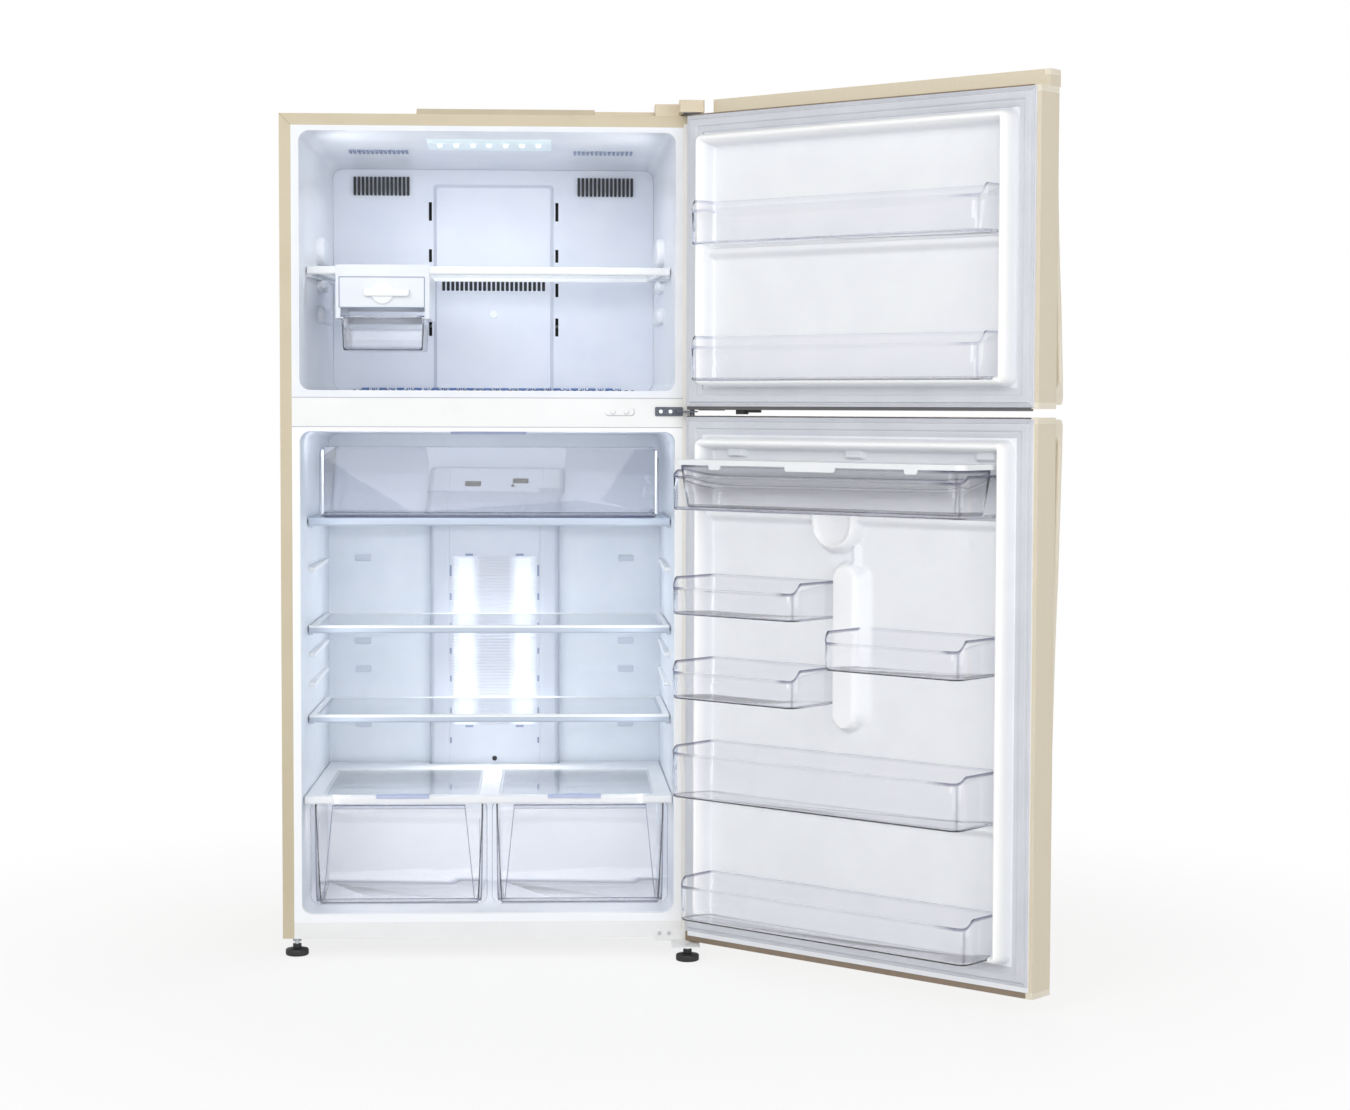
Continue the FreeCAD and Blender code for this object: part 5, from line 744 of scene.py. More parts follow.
@dataclass(frozen=True)
class Tray:
    """A clear moulded tray with round corners, a bead on its rim and ends that stand above its front."""

    left: float
    right: float
    back: float
    reach: float
    low: float
    front: float
    end: float
    corner: float = 26.0
    back_corner: float = 11.0
    wall: float = 2.5
    taper: float = 1.5
    slant: float = 26.0
    fillet: float = 4.0
    hole: Triple | None = None
    spout: float = 0.0
    notch: Pair | None = None
    fall: float = 0.2
    # Weights of the painted edge shade along the front rim and at the back
    rim_shade: float = 0.15
    rear_shade: float = 0.2
    facing: int = 1
    arc: int = 11
    run: int = 12
    steps: int = 7
    outer_rows: int = 10

    def outline(self, inset: float) -> np.ndarray:
        """Plan of the tray moved inward: arcs of radius less the inset, at least 0.5, and straight runs.

        Args:
            inset: how far inward the plan is moved.

        Returns:
            Rows of x and y round the plan.
        """
        quarter = np.linspace(0, np.pi / 2, self.arc)
        straight = self.reach - self.back - self.corner - self.back_corner
        shares = np.concatenate([[0.35], np.linspace(1 - self.slant / straight, 1, self.steps)[:-1]])
        level = np.linspace(0, 1, self.run + 2)[1:-1]
        spots = ((self.right, self.back, -1, self.back_corner), (self.right, self.reach, 0, self.corner),
                 (self.left, self.reach, 1, self.corner), (self.left, self.back, 2, self.back_corner))
        arcs = []
        for x, y, turns, radius in spots:
            angle = turns * np.pi / 2 + quarter
            radius = max(radius, inset + 0.5)
            middle = (x - math.copysign(radius, x - (self.left + self.right) / 2),
                      y - math.copysign(radius, y - (self.back + self.reach) / 2))
            arcs.append(np.stack([middle[0] + (radius - inset) * np.cos(angle),
                                  middle[1] + (radius - inset) * np.sin(angle)], -1))
        runs = []
        for k, part in enumerate((shares, level, 1 - shares[::-1], level)):
            start, stop = arcs[k][-1], arcs[(k + 1) % 4][0]
            runs += [arcs[k], start + part[:, None] * (stop - start)]
        return np.concatenate(runs)

    def ends(self) -> np.ndarray:
        """Share of the ends' height at each plan point: 1 at the back, 0 at the front, cubic between."""
        y = self.outline(0)[:, 1]
        top = self.reach - self.fall * self.corner
        return 1 - smoothstep(top - self.slant, top, y)

    def stations(self) -> tuple[np.ndarray, np.ndarray, np.ndarray, np.ndarray]:
        """Profile of the wall from the base's edge over the rim bead to the floor's edge.

        Returns:
            Insets, heights, whether each height is a drop from the rim, and how much painted edge shade each
            row takes.
        """
        low, turn = np.linspace(-np.pi / 2, 0, 6), np.linspace(0, np.pi / 2, 6)
        w, t, r, s = self.wall, self.taper, self.fillet, self.fillet + 1
        bead = np.array(((0.6, 6.5), (0.1, 5.0), (0.0, 1.6), (0.5, 0.4), (1.5, 0.0), (w + 0.2, 0.0),
                         (w + 1.1, 0.6), (w + 1.3, 1.9), (w + 1.0, 4.6), (w + 0.5, 6.5)))
        insets = np.concatenate([t + r - r * np.cos(low), bead[:, 0], t + w + s - s * np.cos(turn)])
        heights = np.concatenate([r + r * np.sin(low), bead[:, 1], w + s - s * np.sin(turn)])
        drops = np.repeat((False, True, False), (6, 10, 6))
        # Painted edge shade of each row
        dark = np.array((0.5, 1.0, 1.0, 1.0, 0.6, 0.0,
                         0.0, 0.7, 1.0, 1.0, 1.0, 1.0, 1.0, 0.7, 0.3, 0.0,
                         0.0, 0.0, 0.1, 0.2, 0.1, 0.0))
        return insets, heights, drops, dark

    def shading(self, drops: np.ndarray, dark: np.ndarray) -> np.ndarray:
        """Painted edge shade: a row's darkness times a weight round the plan, and a painted dark line down
        each front corner.

        Args:
            drops: which rows follow the rim.
            dark: how much painted edge shade each row takes.

        Returns:
            Marks from 0 to 1, rows by plan points.
        """
        arc, steps, run, rear = self.arc, self.steps, self.run, self.rear_shade
        weight = np.concatenate([np.linspace(rear, 1, arc), np.ones(steps + arc), np.full(run, self.rim_shade),
                                 np.ones(arc + steps), np.linspace(1, rear, arc), np.full(run, rear)])
        base = np.where(np.arange(len(weight)) >= len(weight) - run, rear, 0.9)
        corner_shade = np.zeros(len(weight))
        for first in (arc + steps, 2 * arc + steps + run):
            corner_shade[first:first + arc] = 0.75 * np.exp(-(np.linspace(-1, 1, arc) / 0.15) ** 2)
        outer = np.arange(len(dark)) < self.outer_rows
        return np.maximum(dark[:, None] * np.where(drops[:, None], weight, base), outer[:, None] * corner_shade)

    def add_to(self, surface: Surface) -> None:
        """Carry the wall's profile round the plan, with the rim at front + (end - front) * share.

        A hole in the floor is a circle with a point for each plan point; a spout carries it down, closed.

        Args:
            surface: the surface that gets the tray.
        """
        insets, heights, drops, dark = self.stations()
        rim = self.front + (self.end - self.front) * self.ends()
        plans = np.stack([self.outline(inset) for inset in insets])
        if self.notch:
            back = np.arange(len(rim)) >= len(rim) - self.run
            rim = np.where((np.abs(plans[0, :, 0]) < self.notch[0]) & back, self.notch[1], rim)
        z = np.where(drops[:, None], rim - heights[:, None], heights[:, None]) + self.low
        points = np.concatenate([plans, z[..., None]], -1) * (1, self.facing, 1)
        marks = self.shading(drops, dark)
        if self.hole is None:
            surface.tube(points, marks)
            return
        away = points[0, :, :2] - np.array(self.hole[:2])
        circle = np.array(self.hole[:2]) + self.hole[2] * away / np.hypot(*away.T)[:, None]
        under = np.insert(circle, 2, self.low, axis=1)
        above = np.insert(circle, 2, self.low + self.wall, axis=1)
        none = np.zeros(len(rim))
        if self.spout:
            mouth = under - (0, 0, self.spout)
            surface.tube(np.stack([mouth, under, *points]), np.vstack([none, none, marks]))
            return
        surface.grid(np.stack([under, *points, above]), along=True, around=True,
                     marks=np.vstack([none, marks, none]))


@dataclass(frozen=True)
class Pad:
    """A small moulded form on a face: a round-cornered outline that rises to a rounded edge."""

    middle: Triple
    half: Pair
    rise: float
    corner: float
    edge: float
    facing: Facing = Facing.FRONT
    sink: float = 1.0
    # Painted edge shade of the form's top and of its rounded edge; only clear finishes show it
    mark: float = 0.0
    edge_shade: float = 0.0
    lean: float = 0.0
    turn: int = 7

    def add_to(self, surface: Surface) -> None:
        """Stack outlines drawn in by e(1 - cos t) at heights rise - e + e sin t, up to the flat top.

        A lean slides each point across by that share of its height in the outline.

        Args:
            surface: the surface that gets the form.
        """
        t = np.linspace(0, np.pi / 2, 6)
        insets = np.concatenate([[0.0], self.edge * (1 - np.cos(t))])
        heights = np.concatenate([[-self.sink], self.rise - self.edge + self.edge * np.sin(t)])
        angle = np.concatenate([k * np.pi / 2 + np.linspace(0, np.pi / 2, self.turn) for k in range(4)])
        side = np.repeat(np.array(((1, 1), (-1, 1), (-1, -1), (1, -1))), self.turn, axis=0)
        radius = np.maximum(self.corner - insets, 0.05)[:, None, None]
        spread = np.array(self.half) - insets[:, None] - radius[:, 0]
        flat = side * spread[:, None, :] + radius * np.stack([np.cos(angle), np.sin(angle)], -1)
        flat[..., 0] += self.lean * flat[..., 1]
        across, up, out = (np.array(way, dtype=float) for way in self.facing.value)
        points = (np.array(self.middle) + flat[..., :1] * across + flat[..., 1:] * up
                  + heights[:, None, None] * out)
        marks = np.full(points.shape[:2], self.mark)
        marks[1:-1] = np.maximum(self.mark, self.edge_shade)
        surface.tube(points, marks)


def moulding(name: str, seat: Seat, slot: Slot, finish: Finish, forms: list[Tray | Pad],
             *replaced: str) -> None:
    """Make one piece of trays and small forms.

    Args:
        name: the piece's name.
        seat: what it rides on.
        slot: the record's material slot.
        finish: its finish.
        forms: the trays and small forms.
        replaced: CAD nodes that the piece stands for.
    """
    surface = Surface()
    for form in forms:
        form.add_to(surface)
    surface.piece(name, seat, slot, finish, *replaced)


@dataclass(frozen=True)
class Gasket:
    """Magnetic door seal: a bellows profile carried round a mitred rectangle."""

    name: str
    seat: Seat
    node: str
    half: float
    low: float
    high: float
    lap: float = 7.5
    base: float = -10.0
    profile: Line = (
        (0.0, 2.2), (1.4, 3.8), (2.6, 3.8), (3.4, 2.4), (4.2, 2.4), (5.0, 5.0), (6.4, 5.0), (7.2, 3.8),
        (7.8, 3.8), (9.6, 8.4), (11.5, 9.0), (20.5, 9.0), (22.5, 8.2), (25.0, 5.0), (27.0, 5.6), (30.0, 5.2),
        (36.0, 3.4))

    def build(self) -> None:
        """Place each profile point on the rectangle drawn in by its inset, so corners meet on a mitre.

        The hinge side reaches further out by the lap, over the door sheet's folded edge.
        """
        table = softened(self.profile, 0.35)
        table = table[(table[:, 0] >= 0) & (table[:, 0] <= self.profile[-1][0])]
        inset = np.concatenate([[0.0], table[:, 0], [table[-1, 0]]])
        rise = np.concatenate([[0.0], table[:, 1], [0.0]])
        hinge = self.half + self.lap - inset * (1 + self.lap / self.profile[-1][0])
        x = np.stack([-self.half + inset, hinge, hinge, -self.half + inset], -1)
        z = np.stack([self.low + inset, self.low + inset, self.high - inset, self.high - inset], -1)
        y = np.repeat((self.base + rise)[:, None], 4, axis=1)
        surface = Surface()
        surface.grid(np.stack([x, y, z], -1), along=True, around=True)
        surface.piece(self.name, self.seat, Slot.SEAL, GASKET_PVC, self.node, crease=50.0)


@dataclass(frozen=True)
class DoorLiner:
    """Vacuum-formed inner door: a raised dike with round corners round a panel with moulded ledges."""

    name: str
    seat: Seat
    node: str
    low: float
    high: float
    dike_low: float
    dike_high: float
    pocket: float
    ledges: tuple[float, ...]
    face: float = -10.0
    panel: float = -7.4
    crown: float = 34.6
    half: float = 381.3
    corner: float = 20.0
    width: float = 25.0
    bin_half: float = 356.3
    rim_half: float = 421.0
    tuck: float = 8.0
    sheet: float = 1.0
    wall: float = 2.0
    ledge_rise: float = 18.0
    fine: float = 1.3
    coarse: float = 4.0

    def lines(self) -> tuple[np.ndarray, np.ndarray]:
        """Grid lines across and up, close together on the dike and at the lowest bin's seat."""
        edge, inner = self.half + 3, self.half - 52
        x = ruled((-self.rim_half, -edge, 9), (-edge, -inner, self.fine), (-inner, inner, self.coarse),
                  (inner, edge, self.fine), (edge, self.rim_half, 9),
                  *((side * self.bin_half - 0.1, side * self.bin_half + 0.1, 1) for side in SIDES))
        d0, d1 = self.dike_low, self.dike_high
        z = ruled((self.low, d0 - 3, 9), (d0 - 3, d0 + 50, self.fine), (d0 + 50, d1 - 50, self.coarse),
                  (d1 - 50, d1 + 3, self.fine), (d1 + 3, self.high, 9),
                  (self.pocket - 0.4, self.pocket - 0.2, 1))
        return x, z

    def narrowing(self, z: np.ndarray) -> np.ndarray:
        """How much narrower the dike's inner slope is at each height; none here."""
        return np.zeros_like(z)

    def features(self, x: np.ndarray, z: np.ndarray, y: np.ndarray) -> np.ndarray:
        """Return the height with the panel's own moulded forms; a plain panel has none."""
        return y

    def relief(self, x: np.ndarray, z: np.ndarray) -> np.ndarray:
        """Height of the moulding: a rounded profile of the inset from the dike's edge, and ledges under bins.

        Args:
            x: distances across.
            z: heights.

        Returns:
            How far in each point stands.
        """
        w, d = self.width, self.crown - self.face
        middle = (self.dike_low + self.dike_high) / 2
        inset = inset_from(x, z, (0.0, middle), (self.half, self.dike_high - middle), self.corner)
        stretch = w / (w - self.narrowing(z))
        inset = np.where(inset > w / 2, w / 2 + (inset - w / 2) * stretch, inset)
        p = self.panel - self.face
        outside = ((-6, 0), (0, 0), (w * 0.2, d * 0.81), (w * 0.34, d * 0.965), (w * 0.46, d), (w, d))
        inside = ((0, d), (w * 0.54, d), (w * 0.68, d * 0.96), (w * 0.8, d * 0.81), (w, p), (w + 20, p))
        y = np.where(inset < w / 2, rounded(outside, 0.9, inset), rounded(inside, 2.4, inset))
        panel = np.full_like(y, p)
        for level in self.ledges:
            lip = ((-30, 0), (-26, 0), (-15, self.ledge_rise), (-3.5, self.ledge_rise), (-2.5, 0), (6, 0))
            panel = panel + rounded(lip, 1.6, z - level)
        y = np.maximum(y, np.where(inset > w * 0.6, panel, 0))
        y = self.features(x, z, y)
        seat = (np.abs(x) < self.bin_half) & (z > self.pocket - 0.3) & (z < self.pocket + 2 * w)
        return self.face + np.where(seat, np.minimum(y, p), y)

    def build(self) -> None:
        """Lift the grid by the relief, then close it over its tucked rim and a flat back."""
        x, z = np.meshgrid(*self.lines(), indexing="ij")
        top = np.stack([x, self.relief(x, z), z], -1)
        # Painted highlight: the crest's share, rising where the dike stands furthest out
        crest = smoothstep(0.3, 0.9, (top[..., 1] - self.face) / (self.crown - self.face))
        level, tuck = self.face - self.sheet, self.tuck * np.array((1.0, 0.0, 0.0))

        def moved(border: np.ndarray, y: float, out: float) -> np.ndarray:
            """Return the border set to a depth, with its upright sides spread outward."""
            side = np.where(np.abs(border[:, :1]) > self.rim_half - 0.01, np.sign(border[:, :1]), 0)
            return np.where((0, 1, 0), y, border) + out * side * tuck

        surface = Surface()
        surface.sheet(top, lambda border: moved(border, level, 0), lambda border: moved(border, level, 1),
                      lambda border: moved(border, level - self.wall, 1), marks=crest)
        surface.piece(self.name, self.seat, Slot.WHITE, DOOR_HIPS, self.node, crease=55.0)


@dataclass(frozen=True)
class FridgeDoorLiner(DoorLiner):
    """The fridge door's liner, with its ridge, tank dish, dimple and hanging ribs."""

    ridge_x: float = 2.0
    ridge_half: float = 32.0
    ridge_low: float = 513.0
    ridge_high: float = 851.0
    ridge_rise: float = 28.0
    dish_x: float = 30.0
    dish_half: float = 60.0
    dish_low: float = 865.0
    dish_high: float = 946.7
    dish_rise: float = 32.0
    step: float = 352.0
    dimple: Pair = (-277.0, 893.0)
    hangers: tuple[float, ...] = (290.0, -8.0, -318.0)
    hanger_height: float = 1066.0

    def narrowing(self, z: np.ndarray) -> np.ndarray:
        """The inner slope draws back 6 mm below the wide bin."""
        return 6 * (1 - smoothstep(self.step - 10, self.step, z))

    def features(self, x: np.ndarray, z: np.ndarray, y: np.ndarray) -> np.ndarray:
        """Union of the panel with a ridge, its teardrop end, a half-round dish, ribs and a shallow dimple.

        Each form is a rounded profile of the inset from a round-cornered rectangle, and the highest one wins.

        Args:
            x: distances across.
            z: heights.
            y: how far in the plain moulding stands.

        Returns:
            How far in each point stands.
        """
        rise, low, high = self.ridge_rise, self.ridge_low, self.ridge_high
        middle = (low + high) / 2
        inset = inset_from(x, z, (self.ridge_x, middle), (self.ridge_half, high - middle),
                           self.ridge_half - 2)
        y = np.maximum(y, rounded(((-8, 0), (0, 0), (6, rise), (30, rise)), 1.6, inset))
        shoulder = smoothstep(-64, -14, x - self.ridge_x) * (x < self.ridge_x)
        window = smoothstep(low, low + 40, z) * (1 - smoothstep(high - 40, high, z))
        y = np.maximum(y, rise * shoulder * window)
        inset = inset_from(x, z, (self.ridge_x - 16, high + 4), (11.0, 30.0), 10.9)
        y = np.maximum(y, rounded(((-6, 0), (0, 0), (7, 13), (12, 13)), 1.6, inset))
        rise, high = self.dish_rise, self.dish_high + self.dish_half
        middle = (self.dish_low + high) / 2
        inset = inset_from(x, z, (self.dish_x, middle), (self.dish_half, high - middle), self.dish_half - 2)
        bowl = ((-8, 0), (0, 0), (10, rise - 4), (15, rise), (20, rise - 8), (60, rise - 14))
        y = np.where(z < self.dish_high, np.maximum(y, rounded(bowl, 1.8, inset)), y)
        panel = self.panel - self.face
        for place in self.hangers:
            inset = inset_from(x, z, (place, self.hanger_height), (24.0, 14.0), 6.0)
            y = np.maximum(y, panel + rounded(((-4, 0), (0, 0), (4, 9), (20, 9)), 1.2, inset))
        away = np.hypot(x - self.dimple[0], (z - self.dimple[1]) / 1.6)
        return y - 3.2 * np.exp(-(away / 9) ** 2)


@dataclass(frozen=True)
class Handle:
    """Tapered bar handle that leaves the door at its thick end and lies down at its thin end."""

    name: str
    seat: Seat
    node: str
    thick: float
    thin: float
    skin: float = -75.0
    left: float = -424.0
    width: float = 34.0
    rise: float = 35.0
    tip: float = 8.0
    foot: float = 30.0
    grip: float = 15.0
    round: float = 7.0
    rows: int = 90
    turn: int = 8
    soft: float = 4.0

    def build(self) -> None:
        """Carry a round-cornered section along the bar, between two rounded profiles of its length."""
        length, depth = abs(self.thin - self.thick), self.rise - self.grip
        t = length * (1 - np.cos(np.linspace(0, np.pi, self.rows))) / 2
        top = rounded(((0, self.rise * 0.8), (self.foot * 0.3, self.rise), (length / 2, self.rise * 0.66),
                       (length, self.tip)), self.soft, t)
        low = rounded(((0, 0), (self.foot, 0), (self.foot * 1.4, depth), (length / 2, depth / 2),
                       (length * 0.62, 0), (length, 0)), self.soft, t)
        angle = np.linspace(0, np.pi / 2, self.turn)
        corner = np.stack([np.cos(angle), np.sin(angle)], -1)
        half, rise = self.width / 2, (top - low)[:, None] / 2
        radius = np.minimum(self.round, rise * 0.9)
        rings = []
        for sx, sy in ((1, 1), (-1, 1), (-1, -1), (1, -1)):
            bend = corner if sx == sy else corner[::-1]
            rings.append(np.stack([sx * (half - radius + radius * bend[:, 0]),
                                   sy * (rise - radius + radius * bend[:, 1])], -1))
        section = np.concatenate(rings, axis=1)
        way = 1 if self.thin > self.thick else -1
        x = self.left + half + section[..., 0]
        y = self.skin - (top + low)[:, None] / 2 - section[..., 1]
        z = np.broadcast_to((self.thick + way * t)[:, None], x.shape)
        surface = Surface()
        surface.tube(np.stack([x, y, z], -1))
        surface.piece(self.name, self.seat, Slot.CREAM, CREAM_ABS, self.node, crease=50.0)


@dataclass(frozen=True)
class LampPanel:
    """Ribbed lens of the fridge's lamp: two smooth raised columns with fine level ribs between."""

    half: float = 98.0
    low: float = 421.2
    high: float = 809.8
    back: float = 566.0
    face: float = 562.5
    column: float = 64.0
    column_half: float = 21.0
    column_rise: float = 2.4
    pitch: float = 7.0
    rib: float = 0.55

    def build(self) -> None:
        """Depth is the face less a bell-edged column and, off the columns, a cosine of the height."""
        x, z = np.meshgrid(ruled((-self.half, self.half, 2.0)), ruled((self.low, self.high, 1.4)),
                           indexing="ij")
        column = 1 - smoothstep(self.column_half - 3, self.column_half + 2, np.abs(np.abs(x) - self.column))
        rib = self.rib * (1 - np.cos(2 * np.pi * (z - self.low) / self.pitch)) * (1 - column)
        rim = smoothstep(0, 4, np.minimum(self.half - np.abs(x), np.minimum(z - self.low, self.high - z)))
        top = np.stack([x, self.face + 1.0 - rim * (1.0 + self.column_rise * column + rib), z], -1)
        surface = Surface()
        surface.sheet(top, lambda border: np.where((0, 1, 0), self.back, border))
        surface.piece("fridge_lamp_lens", CABINET_SEAT, Slot.LENS, FRIDGE_LENS, "led_panel")


@dataclass(frozen=True)
class DuctCover:
    """Moulded cover of the fridge's air duct: a flat face with a fine panel groove and rounded sides."""

    half: float = 149.0
    low: float = 295.0
    high: float = 1001.0
    back: float = 600.0
    face: float = 564.0
    panel: float = 104.0

    def build(self) -> None:
        """Depth is a rounded profile of the distance from the middle, deeper by 1 mm in the groove."""
        half, panel = self.half, self.panel
        line = ((0, 0), (panel + 6, 0), (half - 10, 4), (half - 3, 10), (half, 33))
        across = ruled((0, panel - 2, 8.0), (panel - 2, panel + 2, 0.5), (panel + 2, half - 14, 4.0),
                       (half - 14, half, 0.8))
        x, z = np.meshgrid(np.concatenate([-across[:0:-1], across]), ruled((self.low, self.high, 24.0)),
                           indexing="ij")
        groove = np.exp(-((np.abs(x) - panel) / 0.8) ** 2)
        top = np.stack([x, self.face + rounded(line, 1.2, np.abs(x)) + groove, z], -1)
        surface = Surface()
        surface.sheet(top, lambda border: np.where((0, 1, 0), self.back, border))
        surface.piece("fridge_air_duct", CABINET_SEAT, Slot.WHITE, DUCT_HIPS, "fridge_duct_cover")


@dataclass(frozen=True)
class Foot:
    """Levelling foot: a ribbed round pad turned about its stud."""

    body: Body
    flutes: int = 30
    depth: float = 0.035
    profile: Line = ((0.05, 0.0), (20.5, 0.0), (23.0, 1.0), (24.2, 3.0), (24.2, 11.5), (23.0, 13.6),
                     (19.0, 14.6), (11.0, 15.6), (9.0, 17.0), (9.0, 24.0), (0.05, 24.0))
    stud: Line = ((0.05, 24.0), (5.0, 24.0), (5.0, 31.0), (4.4, 32.2), (0.05, 32.4))

    def turned(self, profile: Line, ripple: float) -> Surface:
        """Turn a profile about the stud; the radius between 2 and 14 mm up swells as a cosine of the angle.

        Args:
            profile: radius and height pairs.
            ripple: share of the radius that the flutes take.

        Returns:
            The closed surface.
        """
        low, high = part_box(self.body.value)
        middle = ((low + high) / 2 - Vector((CABINET_MIDDLE, CABINET_FRONT, 0.0))) / MM
        radius, height = np.array(profile).T
        angle = np.linspace(0, 2 * np.pi, 6 * self.flutes, endpoint=False)
        side = smoothstep(1, 3, height) * (1 - smoothstep(12, 14.5, height))
        swell = 1 - ripple * side[:, None] * (0.5 + 0.5 * np.cos(self.flutes * angle))
        x = middle.x + radius[:, None] * swell * np.cos(angle)
        y = middle.y + radius[:, None] * swell * np.sin(angle)
        surface = Surface()
        surface.tube(np.stack([x, y, np.broadcast_to(height[:, None], x.shape)], -1))
        return surface

    def build(self) -> None:
        """Build the fluted pad and the stud above it."""
        name, seat = self.body.value, Seat(self.body)
        self.turned(self.profile, self.depth).piece(name + "_pad", seat, Slot.BLACK, BLACK_PP, name)
        self.turned(self.stud, 0.0).piece(name + "_stud", seat, Slot.STEEL, ZINC_STEEL)


@dataclass(frozen=True)
class Slider:
    """Humidity slider's face: an angled strip that laps over the cover's rail, with a thumb ridge."""

    name: str
    seat: Seat
    middle: float
    half: float = 56.0
    thick: float = 1.1
    line: Line = ((50.0, 334.3), (39.5, 334.3), (36.6, 333.2), (35.3, 330.6), (35.3, 328.0))

    def build(self) -> None:
        """Carry the angled line, thickened outward, along the slider; the front swells under the thumb."""
        line = np.array(self.line)
        step = np.gradient(line, axis=0)
        out = np.stack([step[:, 1], -step[:, 0]], -1) / np.hypot(*step.T)[:, None]
        x = ruled((-self.half, self.half, 2.0))
        swell = self.thick * (1 + 0.8 * smoothstep(-16, -13, x) * (1 - smoothstep(13, 16, x)))
        outer = line + out * swell[:, None, None]
        loop = np.concatenate([outer, np.broadcast_to(line[::-1], outer.shape)], axis=1)
        points = np.insert(loop, 0, 0.0, axis=2)
        points[..., 0] = self.middle + x[:, None]
        surface = Surface()
        surface.tube(points)
        surface.piece(self.name, self.seat, Slot.SLIDER, SLIDER_PP)


@dataclass(frozen=True)
class Studio:
    """Camera at the photograph's place, soft lamps, pale floor and white surround."""

    eye: Triple = (-0.1927, -5.5547, 1.1566)
    yaw: float = 0.0441
    pitch: float = 0.0560
    roll: float = 0.0030
    focal_pixels: float = 2661.96
    photo_width: float = 1350.0
    sensor: float = 36.0
    floor_half: float = 40.0
    lens_gap: float = 3 * MM
    column_spread: float = 64 * MM
    column_width: float = 40 * MM
    freezer_power: float = 0.88
    freezer_fill: Pair = (0.24, 0.17)
    fridge_power: float = 1.3
    fridge_fill: float = 0.23
    crisper_fill: float = 0.5
    chiller_fill: float = 0.55
    crisper_colour: str = "#FFF4E8"
    fill_side: float = 0.335
    world_light: float = 0.42
    outer_lamps: tuple[tuple[str, Triple, Triple, float, float], ...] = (
        ("key", (-2.6, -4.6, 3.4), (0.0, 0.0, 0.9), 2.6, 100.0),
        ("fill", (2.4, -4.4, 2.2), (0.0, 0.0, 0.8), 2.6, 56.0),
        ("front", (-0.3, -6.4, 1.4), (-0.3, 0.2, 0.9), 2.4, 45.0),
        ("back", (0.4, 4.2, 3.0), (0.0, 0.0, 0.9), 2.4, 60.0))

    def camera(self) -> None:
        """Stand the camera at the fitted place and make it the scene's camera."""
        ahead = Vector((math.sin(self.yaw) * math.cos(self.pitch), math.cos(self.yaw) * math.cos(self.pitch),
                        -math.sin(self.pitch)))
        right = Vector((math.cos(self.yaw), -math.sin(self.yaw), 0.0))
        up = right.cross(ahead)
        across = math.cos(self.roll) * right + math.sin(self.roll) * up
        upright = math.cos(self.roll) * up - math.sin(self.roll) * right
        data = bpy.data.cameras.new("camera")
        data.sensor_width = self.sensor
        data.lens = self.focal_pixels * self.sensor / self.photo_width
        data.clip_end = 200.0
        rig = bpy.data.objects.new("camera", data)
        turn = Matrix((across, upright, -ahead)).transposed().to_4x4()
        rig.matrix_world = Matrix.Translation(self.eye) @ turn
        bpy.context.scene.collection.objects.link(rig)
        bpy.context.scene.camera = rig

    def lamp(self, name: str, place: Triple, target: Triple, size: Pair, power: float,
             colour: str = "#FFFFFF", mirrored: bool = True) -> None:
        """Hang a soft lamp at a place, facing a target.

        Args:
            name: the lamp's name.
            place: its middle in metres.
            target: the point it faces.
            size: its width and height in metres.
            power: its power in watts.
            colour: hex colour of its light.
            mirrored: whether glossy and clear surfaces show it.
        """
        data = bpy.data.lights.new(name, "AREA")
        data.shape = "RECTANGLE"
        data.size, data.size_y = size
        data.energy = power
        data.color = linear(colour)[:3]
        lamp = bpy.data.objects.new(name, data)
        lamp.location = place
        lamp.rotation_euler = (Vector(target) - Vector(place)).to_track_quat("-Z", "Y").to_euler()
        lamp.visible_camera = False
        lamp.visible_glossy = lamp.visible_transmission = mirrored
        bpy.context.scene.collection.objects.link(lamp)

    def inner_lamps(self) -> None:
        """Light the compartments from their own lenses, and softly through their openings."""
        middle, front = CABINET_MIDDLE, CABINET_FRONT
        for name, way, power in zip(("left", "right"), SIDES, self.freezer_fill):
            side = way * self.fill_side
            self.lamp("fridge_fill_" + name, (middle + side, front + 0.06, 0.52),
                      (middle - side, front + 0.4, 0.52), (0.06, 0.76), self.fridge_fill, mirrored=False)
            self.lamp("freezer_fill_" + name, (middle + side, front + 0.04, 1.59),
                      (middle - 2 * side, front + 0.4, 1.75), (0.06, 0.12), power, mirrored=False)
        self.lamp("crisper_fill", (middle, front + 0.07, 0.3), (middle, front + 0.4, 0.12), (0.7, 0.02),
                  self.crisper_fill, self.crisper_colour, False)
        self.lamp("chiller_fill", (middle, front + 0.07, 1.08), (middle, front + 0.6, 1.13), (0.7, 0.02),
                  self.chiller_fill, mirrored=False)
        low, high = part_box("freezer_light")
        lens = (low + high) / 2
        self.lamp("freezer_lamp", (lens.x, lens.y, low.z - self.lens_gap),
                  (lens.x, lens.y + 0.1, low.z - 1.0), (high.x - low.x, high.y - low.y), self.freezer_power,
                  mirrored=False)
        low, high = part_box("led_panel")
        lens = (low + high) / 2
        for name, way in zip(("fridge_lamp_left", "fridge_lamp_right"), SIDES):
            x = lens.x + way * self.column_spread
            self.lamp(name, (x, low.y - self.lens_gap, lens.z), (x, low.y - 1.0, lens.z),
                      (self.column_width, high.z - low.z), self.fridge_power, mirrored=False)

